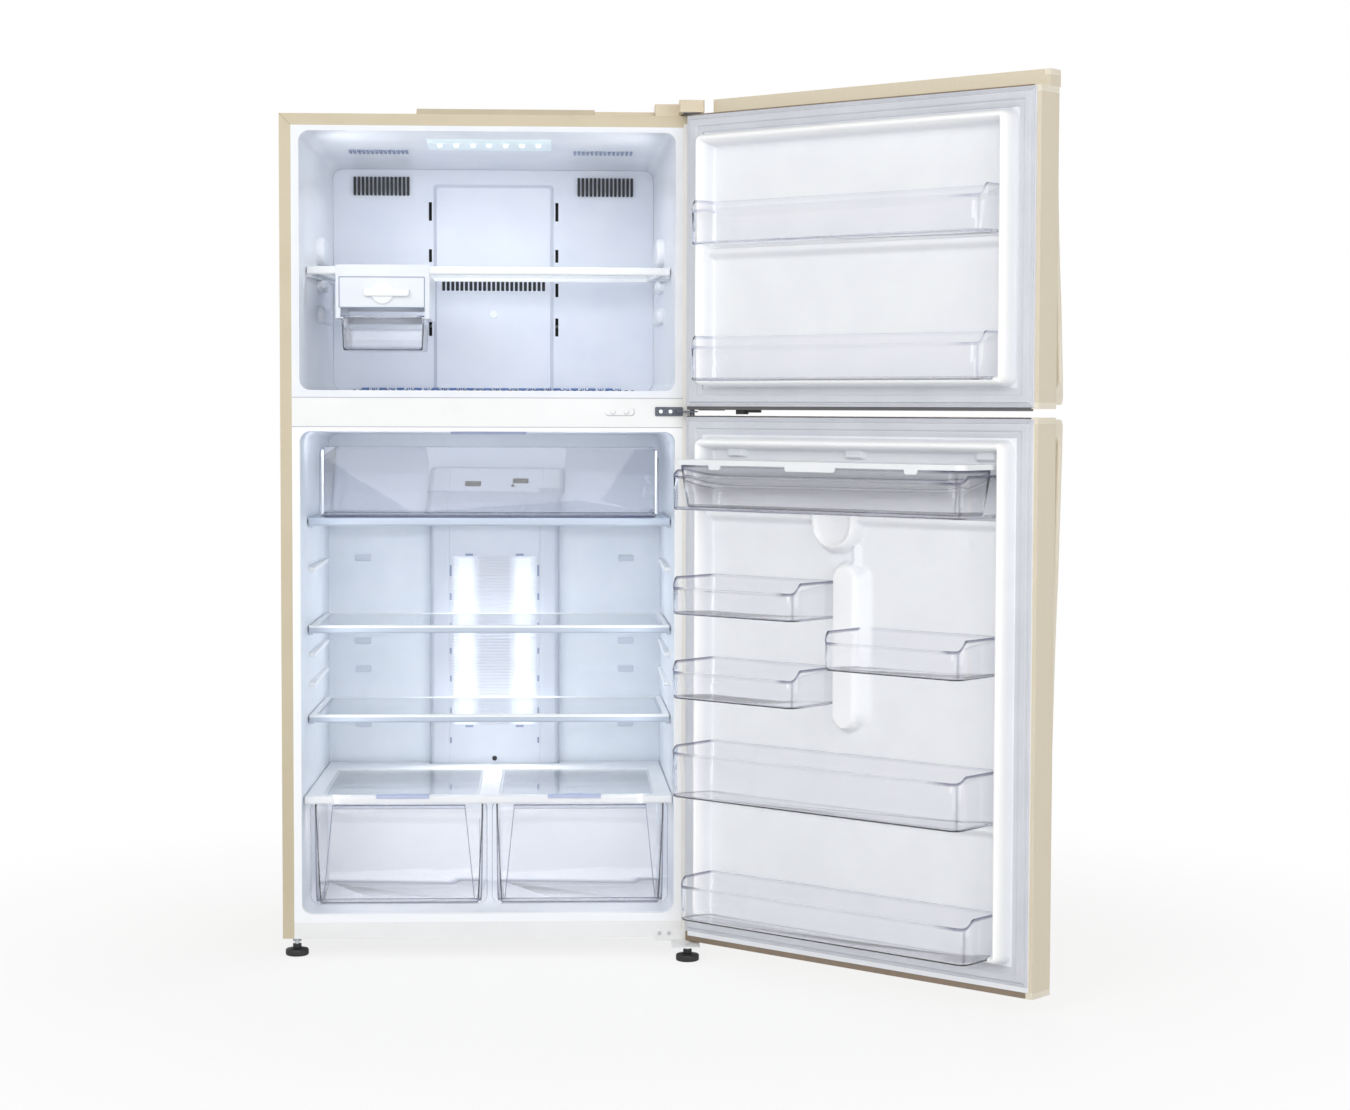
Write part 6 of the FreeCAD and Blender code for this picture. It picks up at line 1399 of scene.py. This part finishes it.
    def seen(self, tree: Tree) -> Socket:
        """Tell the rays that show a surface from those that light it.

        Args:
            tree: the node tree that asks.

        Returns:
            One for rays from the camera, off gloss or through clear pieces, and zero for the rest.
        """
        path = add_node(tree, "ShaderNodeLightPath").outputs
        direct = add_node(tree, "ShaderNodeMath", {
            0: path["Is Camera Ray"], 1: path["Is Glossy Ray"]}, operation="MAXIMUM")
        either = add_node(tree, "ShaderNodeMath", {
            0: direct.outputs[0], 1: path["Is Transmission Ray"]}, operation="MAXIMUM")
        return either.outputs[0]

    def world(self) -> None:
        """White surround: full strength where it is seen, weaker where it lights."""
        world = bpy.data.worlds.new("surround")
        bpy.context.scene.world = world
        world.use_nodes = True
        tree = world.node_tree
        tree.nodes.clear()
        strength = add_node(tree, "ShaderNodeMapRange", {
            "Value": self.seen(tree), "To Min": self.world_light, "To Max": 1.0})
        back = add_node(tree, "ShaderNodeBackground", {
            "Color": (1.0, 1.0, 1.0, 1.0), "Strength": strength.outputs["Result"]})
        output = add_node(tree, "ShaderNodeOutputWorld", {"Surface": back.outputs[0]})
        output.is_active_output = True

    def floor(self) -> None:
        """Pale floor that keeps the object's shadow and runs out to plain white."""
        half = self.floor_half
        mesh = bpy.data.meshes.new("floor")
        mesh.from_pydata([(-half, -half, 0), (half, -half, 0), (half, half, 0), (-half, half, 0)], [],
                         [(0, 1, 2, 3)])
        floor = bpy.data.objects.new("floor", mesh)
        bpy.context.scene.collection.objects.link(floor)
        material = bpy.data.materials.new("studio_floor")
        material.use_nodes = True
        tree = material.node_tree
        tree.nodes.clear()
        spots = add_node(tree, "ShaderNodeTexCoord").outputs["Object"]
        length = add_node(tree, "ShaderNodeVectorMath", {0: spots}, operation="LENGTH").outputs["Value"]
        out = add_node(tree, "ShaderNodeMapRange", {
            "Value": length, "From Min": 0.7, "From Max": 2.2, "To Min": 0.8, "To Max": 1.0},
            interpolation_type="SMOOTHSTEP")
        share = add_node(tree, "ShaderNodeMath", {
            0: self.seen(tree), 1: out.outputs["Result"]}, operation="MULTIPLY")
        paint = add_node(tree, "ShaderNodeBsdfDiffuse", {"Color": (0.86, 0.86, 0.86, 1.0)})
        white = add_node(tree, "ShaderNodeEmission", {"Strength": 1.0})
        mix = add_node(tree, "ShaderNodeMixShader", {
            0: share.outputs[0], 1: paint.outputs[0], 2: white.outputs[0]})
        add_node(tree, "ShaderNodeOutputMaterial", {"Surface": mix.outputs[0]})
        mesh.materials.append(material)

    def build(self) -> None:
        """Set up the whole studio."""
        bpy.context.scene.view_settings.view_transform = "Standard"
        self.camera()
        self.world()
        self.floor()
        self.inner_lamps()
        for name, place, target, size, power in self.outer_lamps:
            self.lamp(name, place, target, (size, size), power)


@dataclass(frozen=True)
class Cabinet:
    """The fixed cabinet with its liners, shelves, hinges and machinery; sizes in millimetres."""

    opening: float = 390.0
    depth: float = 600.0
    freezer_draft: float = 32.0
    fridge_draft: float = 8.0
    freezer_ceiling: float = 1722.0
    freezer_fall: float = 39.0
    rear_wall: float = 600.0
    duct_face: float = 564.0
    panel_face: float = 509.0
    louvre_depth: float = 272.0
    vent_lines: Line = ((0.0, 8.5), (15.5, 1.3), (20.0, 1.3), (25.0, 1.3))
    slot_pitch: Pair = (9.214, 10.26)
    supports: tuple[tuple[float, float, Pair, float, float], ...] = (
        (372.0, 1490.0, (120.0, 30.0), 10.0, 28.0), (330.0, 1416.0, (70.0, 13.0), 13.0, 12.0),
        (300.0, 1416.0, (16.0, 9.0), 17.0, 8.0), (380.0, 1352.0, (110.0, 18.0), 9.0, 17.0))
    rib_depth: float = 340.0
    rib_levels: tuple[float, ...] = (804.0, 620.0, 556.0)
    tab_levels: tuple[float, ...] = (804.0, 612.0, 547.0, 419.0)
    duct_slots: Line = ((777.0, 13.0), (717.0, 8.0), (592.0, 7.0), (528.0, 7.0), (385.0, 7.0))
    clip_levels: Pair = (813.5, 417.5)
    seam_levels: Pair = (1111.0, 1172.0)
    cap_level: float = 1143.6
    boss_places: Pair = (260.4, 288.4)
    flange_middle: float = 417.8

    def dress(self) -> None:
        """Put finishes on the cabinet's nodes that no piece stands for."""
        CABINET_PAINT.dress("cabinet_shell")
        WHITE_STRIP.dress("front_strips", "lower_hinge")
        FREEZER_HIPS.dress("freezer_liner")
        FRIDGE_HIPS.dress("fridge_liner")
        PANEL_HIPS.dress("freezer_duct_panel")
        SHELF_HIPS.dress("shelf_frames")
        WHITE_HIPS.dress("crisper_cover")
        SHELF_GLASS.dress("shelf_glass")
        FREEZER_LENS.dress("freezer_light")
        BEIGE_ABS.dress("top_covers")
        DARK_STEEL.dress("top_hinge", "middle_hinge")
        ZINC_STEEL.dress("hinge_screws")
        GALVANISED.dress("rear_panel", "bottom_pan", "compressor_base", "machine_cover")
        FOAM.dress("insulation_foam")
        BLACK_ENAMEL.dress("compressor", "condenser")
        BLACK_PP.dress("roller_left", "roller_right", "evaporator_fan", "condenser_fan", "fan_motors",
                       "drain_pan")
        FIN_ALUMINIUM.dress("evaporator")

    def ceiling(self, y: float) -> float:
        """Height of the freezer's ceiling at a depth."""
        return self.freezer_ceiling - self.freezer_fall * y / self.depth

    def trim(self, name: str, slot: Slot, finish: Finish, *forms: Pad) -> None:
        """Make small forms one piece that stays with the cabinet."""
        moulding(name, CABINET_SEAT, slot, finish, list(forms))

    def freezer_details(self) -> None:
        """Lamp beads, ceiling louvres, the floor vent's lines, painted shade over the air slots, wall
        supports and the plug mark.
        """
        self.trim("freezer_lamp_beads", Slot.LENS, LAMP_BEAD,
                  *(Pad((x, 122.0, 1704.2), (5.5, 7.0), 3.6, 5.4, 3.5, Facing.DOWN)
                    for x in np.linspace(-104, 104, 7)))
        y = self.louvre_depth
        self.trim("freezer_ceiling_louvres", Slot.WHITE, LOUVRE_PP,
                  *(Pad((side * x, y, self.ceiling(y)), (2.7, 25.0), 3.0, 2.0, 1.0, Facing.DOWN, 3.0)
                    for side in SIDES for x in np.linspace(182, 304, 14)))
        self.trim("freezer_floor_vent", Slot.BLACK, VENT_PP,
                  *(Pad((x + shift, self.panel_face + 0.2, 1193.0), (half, 2.5), 1.0, 1.0, 0.6)
                    for x in np.linspace(-290, 262, 15) for shift, half in self.vent_lines))
        (upper, lower), face = self.slot_pitch, self.panel_face
        # Painted shade: dark bars laid over the rear panel's air slots
        self.trim("freezer_air_slot_shade", Slot.BLACK, DARK_PP_AND_SLOT_SHADE,
                  *(Pad((side * 252.5 + (k - 6.5) * upper, face, 1650.0), (3.0, 20.8), 0.5, 2.0, 0.3)
                    for side in SIDES for k in range(14)),
                  *(Pad(((k - 11) * lower, face, 1425.5), (3.5, 10.4), 0.5, 2.0, 0.3) for k in range(23)))
        self.trim("freezer_wall_supports", Slot.WHITE, CABINET_HIPS,
                  *(Pad((side * (self.opening - self.freezer_draft * y / self.depth), y, z), half, rise,
                        corner, 8.0, facing, 8.0)
                    for side, facing in WALLS for y, z, half, rise, corner in self.supports))
        self.trim("freezer_plug_mark", Slot.WHITE, CABINET_HIPS,
                  Pad((0.0, face, 1362.0), (9.5, 9.5), 1.4, 9.4, 1.2))

    def fridge_details(self) -> None:
        """Wall ribs, rear tabs, the duct's slots, clips and sensor, and the ceiling strip."""
        wall, face = self.opening - self.fridge_draft * self.rib_depth / self.depth, self.duct_face
        self.trim("fridge_wall_ribs", Slot.WHITE, WHITE_HIPS,
                  *(Pad((side * wall, self.rib_depth, z), (175.0, 5.0), 11.0, 4.9, 3.5, facing, 5.0)
                    for side, facing in WALLS for z in self.rib_levels))
        self.trim("fridge_rear_tabs", Slot.WHITE, TAB_HIPS,
                  *(Pad((side * 303.0, self.rear_wall, z), (18.0, 7.0), 3.0, 2.5, 1.2)
                    for side in SIDES for z in self.tab_levels))
        self.trim("fridge_duct_slots", Slot.BLACK, LOUVRE_PP,
                  *(Pad((side * 100.5, face, z), (2.2, half), 1.0, 1.5, 0.6)
                    for side in SIDES for z, half in self.duct_slots),
                  *(Pad((side * 58.0, face, z), (9.0, 2.4), 1.6, 1.2, 0.6)
                    for side in SIDES for z in self.clip_levels))
        self.trim("fridge_sensor", Slot.BLACK, DARK_PP_AND_SLOT_SHADE,
                  *(Pad((side * 51.0, face, 976.0), (17.8, 5.0), 0.5, 1.0, 0.3) for side in SIDES),
                  Pad((0.0, face, 343.0), (5.6, 5.6), 2.0, 5.5, 1.5))
        self.trim("fridge_ceiling_strip", Slot.WHITE, SLIDER_PP,
                  Pad((0.0, 62.0, 1098.2), (80.0, 3.4), 2.0, 3.0, 1.2, sink=22.0))

    def front_details(self) -> None:
        """Seam lines of the strip between the tubs, painted shadow round its cap and bosses, the flange's
        mitre line and the hinge side.
        """
        self.trim("strip_seams_and_cap_shadow", Slot.WHITE, SEAM_LINE_AND_SHADOW,
                  *(Pad((0.0, 0.0, z), (406.0, 0.8), 0.3, 0.5, 0.2) for z in self.seam_levels),
                  # Painted shadow: a grey outline showing under and beside the cap, and grey rings at its two
                  # bosses
                  Pad((274.8, 0.0, self.cap_level), (30.6, 8.7), 0.8, 7.0, 0.3),
                  *(Pad((x, -2.0, self.cap_level), (5.6, 5.6), 0.5, 5.5, 0.3) for x in self.boss_places))
        self.trim("flange_mitre", Slot.CREAM, TAUPE_LINE_AND_SHADE,
                  Pad((-self.flange_middle, 0.0, 1744.8), (0.5, 11.6), 0.25, 0.3, 0.1, lean=-1.0))
        self.trim("hinge_side_trim", Slot.WHITE, WHITE_STRIP,
                  Pad((self.flange_middle, 0.0, 895.0), (11.4, 845.0), 0.5, 1.0, 0.3))

    def build(self) -> None:
        """Dress the nodes and build the cabinet's own pieces."""
        self.dress()
        DuctCover().build()
        LampPanel().build()
        self.freezer_details()
        self.fridge_details()
        self.front_details()
        for body in (Body.FOOT_LEFT, Body.FOOT_RIGHT):
            Foot(body).build()


@dataclass(frozen=True)
class Drawers:
    """The ice maker, the chiller drawer, the crispers and their sliders; sizes in millimetres."""

    crisper_edges: Pair = (14.0, 373.0)
    crisper_middle: float = 193.5
    crisper_face: float = 112.3
    chiller_face: float = 142.5
    chiller_middle: float = 992.3
    chiller_tub: Tray = Tray(-359.5, 359.5, -540.0, -143.0, 916.3, 12.0, 130.0, corner=8.0, back_corner=12.0,
                             taper=2.5, slant=6.0, notch=(155.0, 46.0), facing=-1, run=72)
    ice_tub: Tray = Tray(-311.3, -135.7, -326.7, -91.2, 1271.5, 73.0, 73.0, corner=8.0, back_corner=12.0,
                         taper=4.0, facing=-1, rear_shade=0.4)
    ice_face: Triple = (-225.0, 87.7, 1393.5)
    ice_face_half: Pair = (89.5, 31.9)
    knob_level: float = 1392.7
    slider_middle: float = 181.0

    def dress(self) -> None:
        """Put finishes on the drawers' nodes that no piece stands for."""
        ICE_HIPS.dress("ice_maker_frame", "ice_tray")
        SLIDER_PP.dress("humidity_slider_left", "humidity_slider_right")

    def crispers(self) -> None:
        """Build both crispers: a tapered tub behind a round-cornered face with a lip and moulded lines, all
        with painted edge shade.
        """
        face = self.crisper_face
        for side, body in zip(SIDES, (Body.CRISPER_LEFT, Body.CRISPER_RIGHT)):
            left, right = sorted(side * edge for edge in self.crisper_edges)
            middle = side * self.crisper_middle
            forms = [Tray(left, right, -392.0, -113.5, 89.3, 12.0, 214.7, corner=9.0, back_corner=16.0,
                          taper=10.0, fillet=5.0, slant=6.0, facing=-1, rear_shade=0.5),
                     Pad((middle, 115.6, 201.2), (188.5, 111.7), 3.6, 18.0, 1.6, sink=0.0, edge_shade=0.85),
                     Pad((middle, 112.5, 299.5), (142.0, 4.0), 13.0, 2.0, 1.8, edge_shade=0.9, mark=0.3)]
            for way in SIDES:
                forms.append(Pad((middle + way * 151.0, face, 199.0), (0.9, 97.0), 0.9, 0.7, 0.4, mark=0.75,
                                 lean=-way * 0.1))
                forms.append(Pad((middle + way * 172.0, face, 188.0), (0.7, 84.0), 0.7, 0.6, 0.3, mark=0.4))
            forms.append(Pad((middle, face, 128.0), (158.0, 0.8), 0.7, 0.6, 0.3))
            moulding(body.value + "_drawer", Seat(body), Slot.CLEAR, DRAWER_GPPS, forms, body.value)

    def chiller(self) -> None:
        """Build the chiller: a shallow tub with a notched back behind a wide face, with a painted shade line
        at its foot and painted highlight bars at its sides.
        """
        seat, y, z = Seat(Body.CHILLER), self.chiller_face, self.chiller_middle
        moulding("chiller_clear_drawer", seat, Slot.CLEAR, CHILLER_GPPS,
                 [self.chiller_tub,
                  Pad((0.0, y + 1.5, z), (362.0, 76.0), 3.2, 14.0, 1.5, sink=0.0, edge_shade=0.25),
                  Pad((0.0, y, 919.0), (352.0, 2.2), 2.0, 1.6, 0.8, mark=1.0)], "chiller_drawer")
        # Painted highlight: bright upright bars where the face's side edges glint
        moulding("chiller_side_highlights", seat, Slot.CLEAR, CHILLER_EDGE_HIGHLIGHT,
                 [Pad((side * 355.5, y, z), (2.4, 68.0), 1.8, 1.5, 0.8) for side in SIDES])

    def ice_maker(self) -> None:
        """Build the ice bin, the knob with its bar grip and the line round the ice maker's face."""
        moulding("ice_clear_bin", Seat(Body.ICE_BIN), Slot.CLEAR, DRAWER_GPPS, [self.ice_tub], "ice_bin")
        moulding("ice_knob_grip", Seat(Body.ICE_TWIST), Slot.WHITE, WHITE_HIPS,
                 [Pad((-223.5, 87.4, self.knob_level), (24.0, 24.0), 6.0, 23.9, 2.2, sink=0.0),
                  Pad((-215.5, 86.8, self.knob_level), (48.0, 8.0), 11.4, 5.0, 2.6, sink=0.0)], "ice_knob")
        (x, y, z), (wide, tall) = self.ice_face, self.ice_face_half
        lines = [Pad((x, y, z + side * tall), (wide, 1.0), 0.5, 0.5, 0.2) for side in SIDES]
        lines += [Pad((x + side * wide, y, z), (1.0, tall), 0.5, 0.5, 0.2) for side in SIDES]
        moulding("ice_face_lines", Seat(Body.ICE_MAKER), Slot.WHITE, LOUVRE_PP, lines)

    def build(self) -> None:
        """Dress the nodes and build the drawers' own pieces."""
        self.dress()
        self.crispers()
        self.chiller()
        self.ice_maker()
        Slider("humidity_face_left", Seat(Body.SLIDER_LEFT), -self.slider_middle).build()
        Slider("humidity_face_right", Seat(Body.SLIDER_RIGHT), self.slider_middle).build()


@dataclass(frozen=True)
class Doors:
    """Both open doors with their liners, seals, bins and the water tank; sizes in millimetres."""

    bin_back: float = -7.1
    bin_half: float = 356.0
    bin_reach: float = 135.6
    freezer_bin_levels: Pair = (1207.0, 1482.0)
    half_bin_places: tuple[Triple, ...] = ((735.0, 34.3, 356.0), (564.0, 34.3, 356.0), (646.0, -356.0, -30.3))
    spout: Triple = (30.0, 28.9, 13.0)
    tank: Tray = Tray(-345.0, 345.0, -2.1, 128.1, 949.8, 88.0, 88.0, corner=32.0, back_corner=32.0,
                      taper=14.0, fillet=7.0, hole=(30.0, 28.9, 12.0), spout=2.8, rear_shade=0.8, slant=20.0)
    seal_half: float = 421.0
    strip_half: float = 421.5
    closers: tuple[tuple[float, Pair, float], ...] = (
        (377.0, (29.0, 10.0), 5.5), (296.0, (12.0, 8.0), 13.0), (263.0, (11.0, 10.0), 9.5))

    def liners(self) -> None:
        """Build the two vacuum-formed liners and their seals."""
        DoorLiner("freezer_door_inner", FREEZER_SEAT, "freezer_door_liner", 1164.5, 1743.0, 1195.0, 1714.0,
                  1207.0, (1482.0,)).build()
        FridgeDoorLiner("fridge_door_inner", FRIDGE_SEAT, "fridge_door_liner", 48.0, 1124.5, 97.0, 1094.0,
                        106.0, (363.0, 947.0)).build()
        Gasket("freezer_seal", FREEZER_SEAT, "freezer_gasket", self.seal_half, 1155.3, 1753.7).build()
        Gasket("fridge_seal", FRIDGE_SEAT, "fridge_gasket", self.seal_half, 57.3, 1133.7).build()

    def bins(self) -> None:
        """Build the clear bins of both doors, and the water tank whose spout goes through its bin's floor."""
        b, h, reach = self.bin_back, self.bin_half, self.bin_reach
        moulding("freezer_door_bins", FREEZER_SEAT, Slot.CLEAR, THIN_GPPS,
                 [Tray(-h, h, b, 80.6, level, 70.0, 92.0, slant=22.0) for level in self.freezer_bin_levels],
                 "freezer_bins")
        moulding("fridge_half_bins", FRIDGE_SEAT, Slot.CLEAR, CLEAR_GPPS,
                 [Tray(left, right, b, reach, level, 56.0, 76.0, slant=22.0)
                  for level, left, right in self.half_bin_places], "half_bins")
        moulding("fridge_wide_bins", FRIDGE_SEAT, Slot.CLEAR, CLEAR_GPPS,
                 [Tray(-h, h, b, reach, 947.0, 69.0, 81.0, hole=self.spout),
                  Tray(-h, h, b, reach, 363.0, 92.0, 104.0), Tray(-h, h, b, 107.6, 106.0, 72.0, 88.0)],
                 "wide_bins")
        moulding("water_tank_tub", FRIDGE_SEAT, Slot.CLEAR, SMOKY_SAN, [self.tank], "water_tank")

    def edges(self) -> None:
        """Strips along the doors' edges, painted shade at the feet and thin dark lines at the tops, and the
        closer blocks under the freezer door.
        """
        # Painted shade at both door feet; thin dark lines along both door tops
        for name, seat, slot, finish, z, half, corner, sink in (
                ("fridge_door_foot_shade", FRIDGE_SEAT, Slot.CREAM, TAUPE_LINE_AND_SHADE, 46.2, 10.0, 2.0, 1.0),
                ("freezer_door_top_line", FREEZER_SEAT, Slot.CREAM, TAUPE_LINE_AND_SHADE, 1755.2, 1.25, 1.2, 1.0),
                ("freezer_door_foot_shade", FREEZER_SEAT, Slot.BLACK, SLATE_LINE_AND_SHADE, 1153.2, 4.8, 1.2, 6.0),
                ("fridge_door_top_line", FRIDGE_SEAT, Slot.BLACK, SLATE_LINE_AND_SHADE, 1134.9, 1.5, 1.2, 1.0)):
            moulding(name, seat, slot, finish,
                     [Pad((7.0, -10.0, z), (self.strip_half, half), 0.9, corner, 0.5, Facing.INSIDE, sink)])
        moulding("freezer_door_closers", FREEZER_SEAT, Slot.BLACK, BLACK_PP,
                 [Pad((x, -28.0, 1152.5), half, drop, 3.0, 1.5, Facing.DOWN)
                  for x, half, drop in self.closers])

    def handles(self) -> None:
        """Build the two bar handles."""
        Handle("freezer_bar_handle", FREEZER_SEAT, "freezer_handle", 1160.5, 1572.5).build()
        Handle("fridge_bar_handle", FRIDGE_SEAT, "fridge_handle", 1132.5, 507.5).build()

    def dress(self) -> None:
        """Put finishes on the doors' nodes that no piece stands for."""
        DOOR_SHEET.dress("freezer_door_skin", "fridge_door_skin")
        CREAM_ABS.dress("freezer_door_caps", "fridge_door_caps")
        WHITE_HIPS.dress("tank_lid", "dispenser_alcove", "dispenser_lever")
        FOAM.dress("freezer_door_foam", "fridge_door_foam")

    def build(self) -> None:
        """Dress the nodes and build the doors' own pieces."""
        self.dress()
        self.liners()
        self.bins()
        self.edges()
        self.handles()


def main() -> None:
    """Build the studio and every sub-assembly in order."""
    logging.basicConfig(level=logging.INFO)
    Studio().build()
    for part in (Cabinet(), Drawers(), Doors()):
        part.build()


if __name__ == "__main__":
    main()
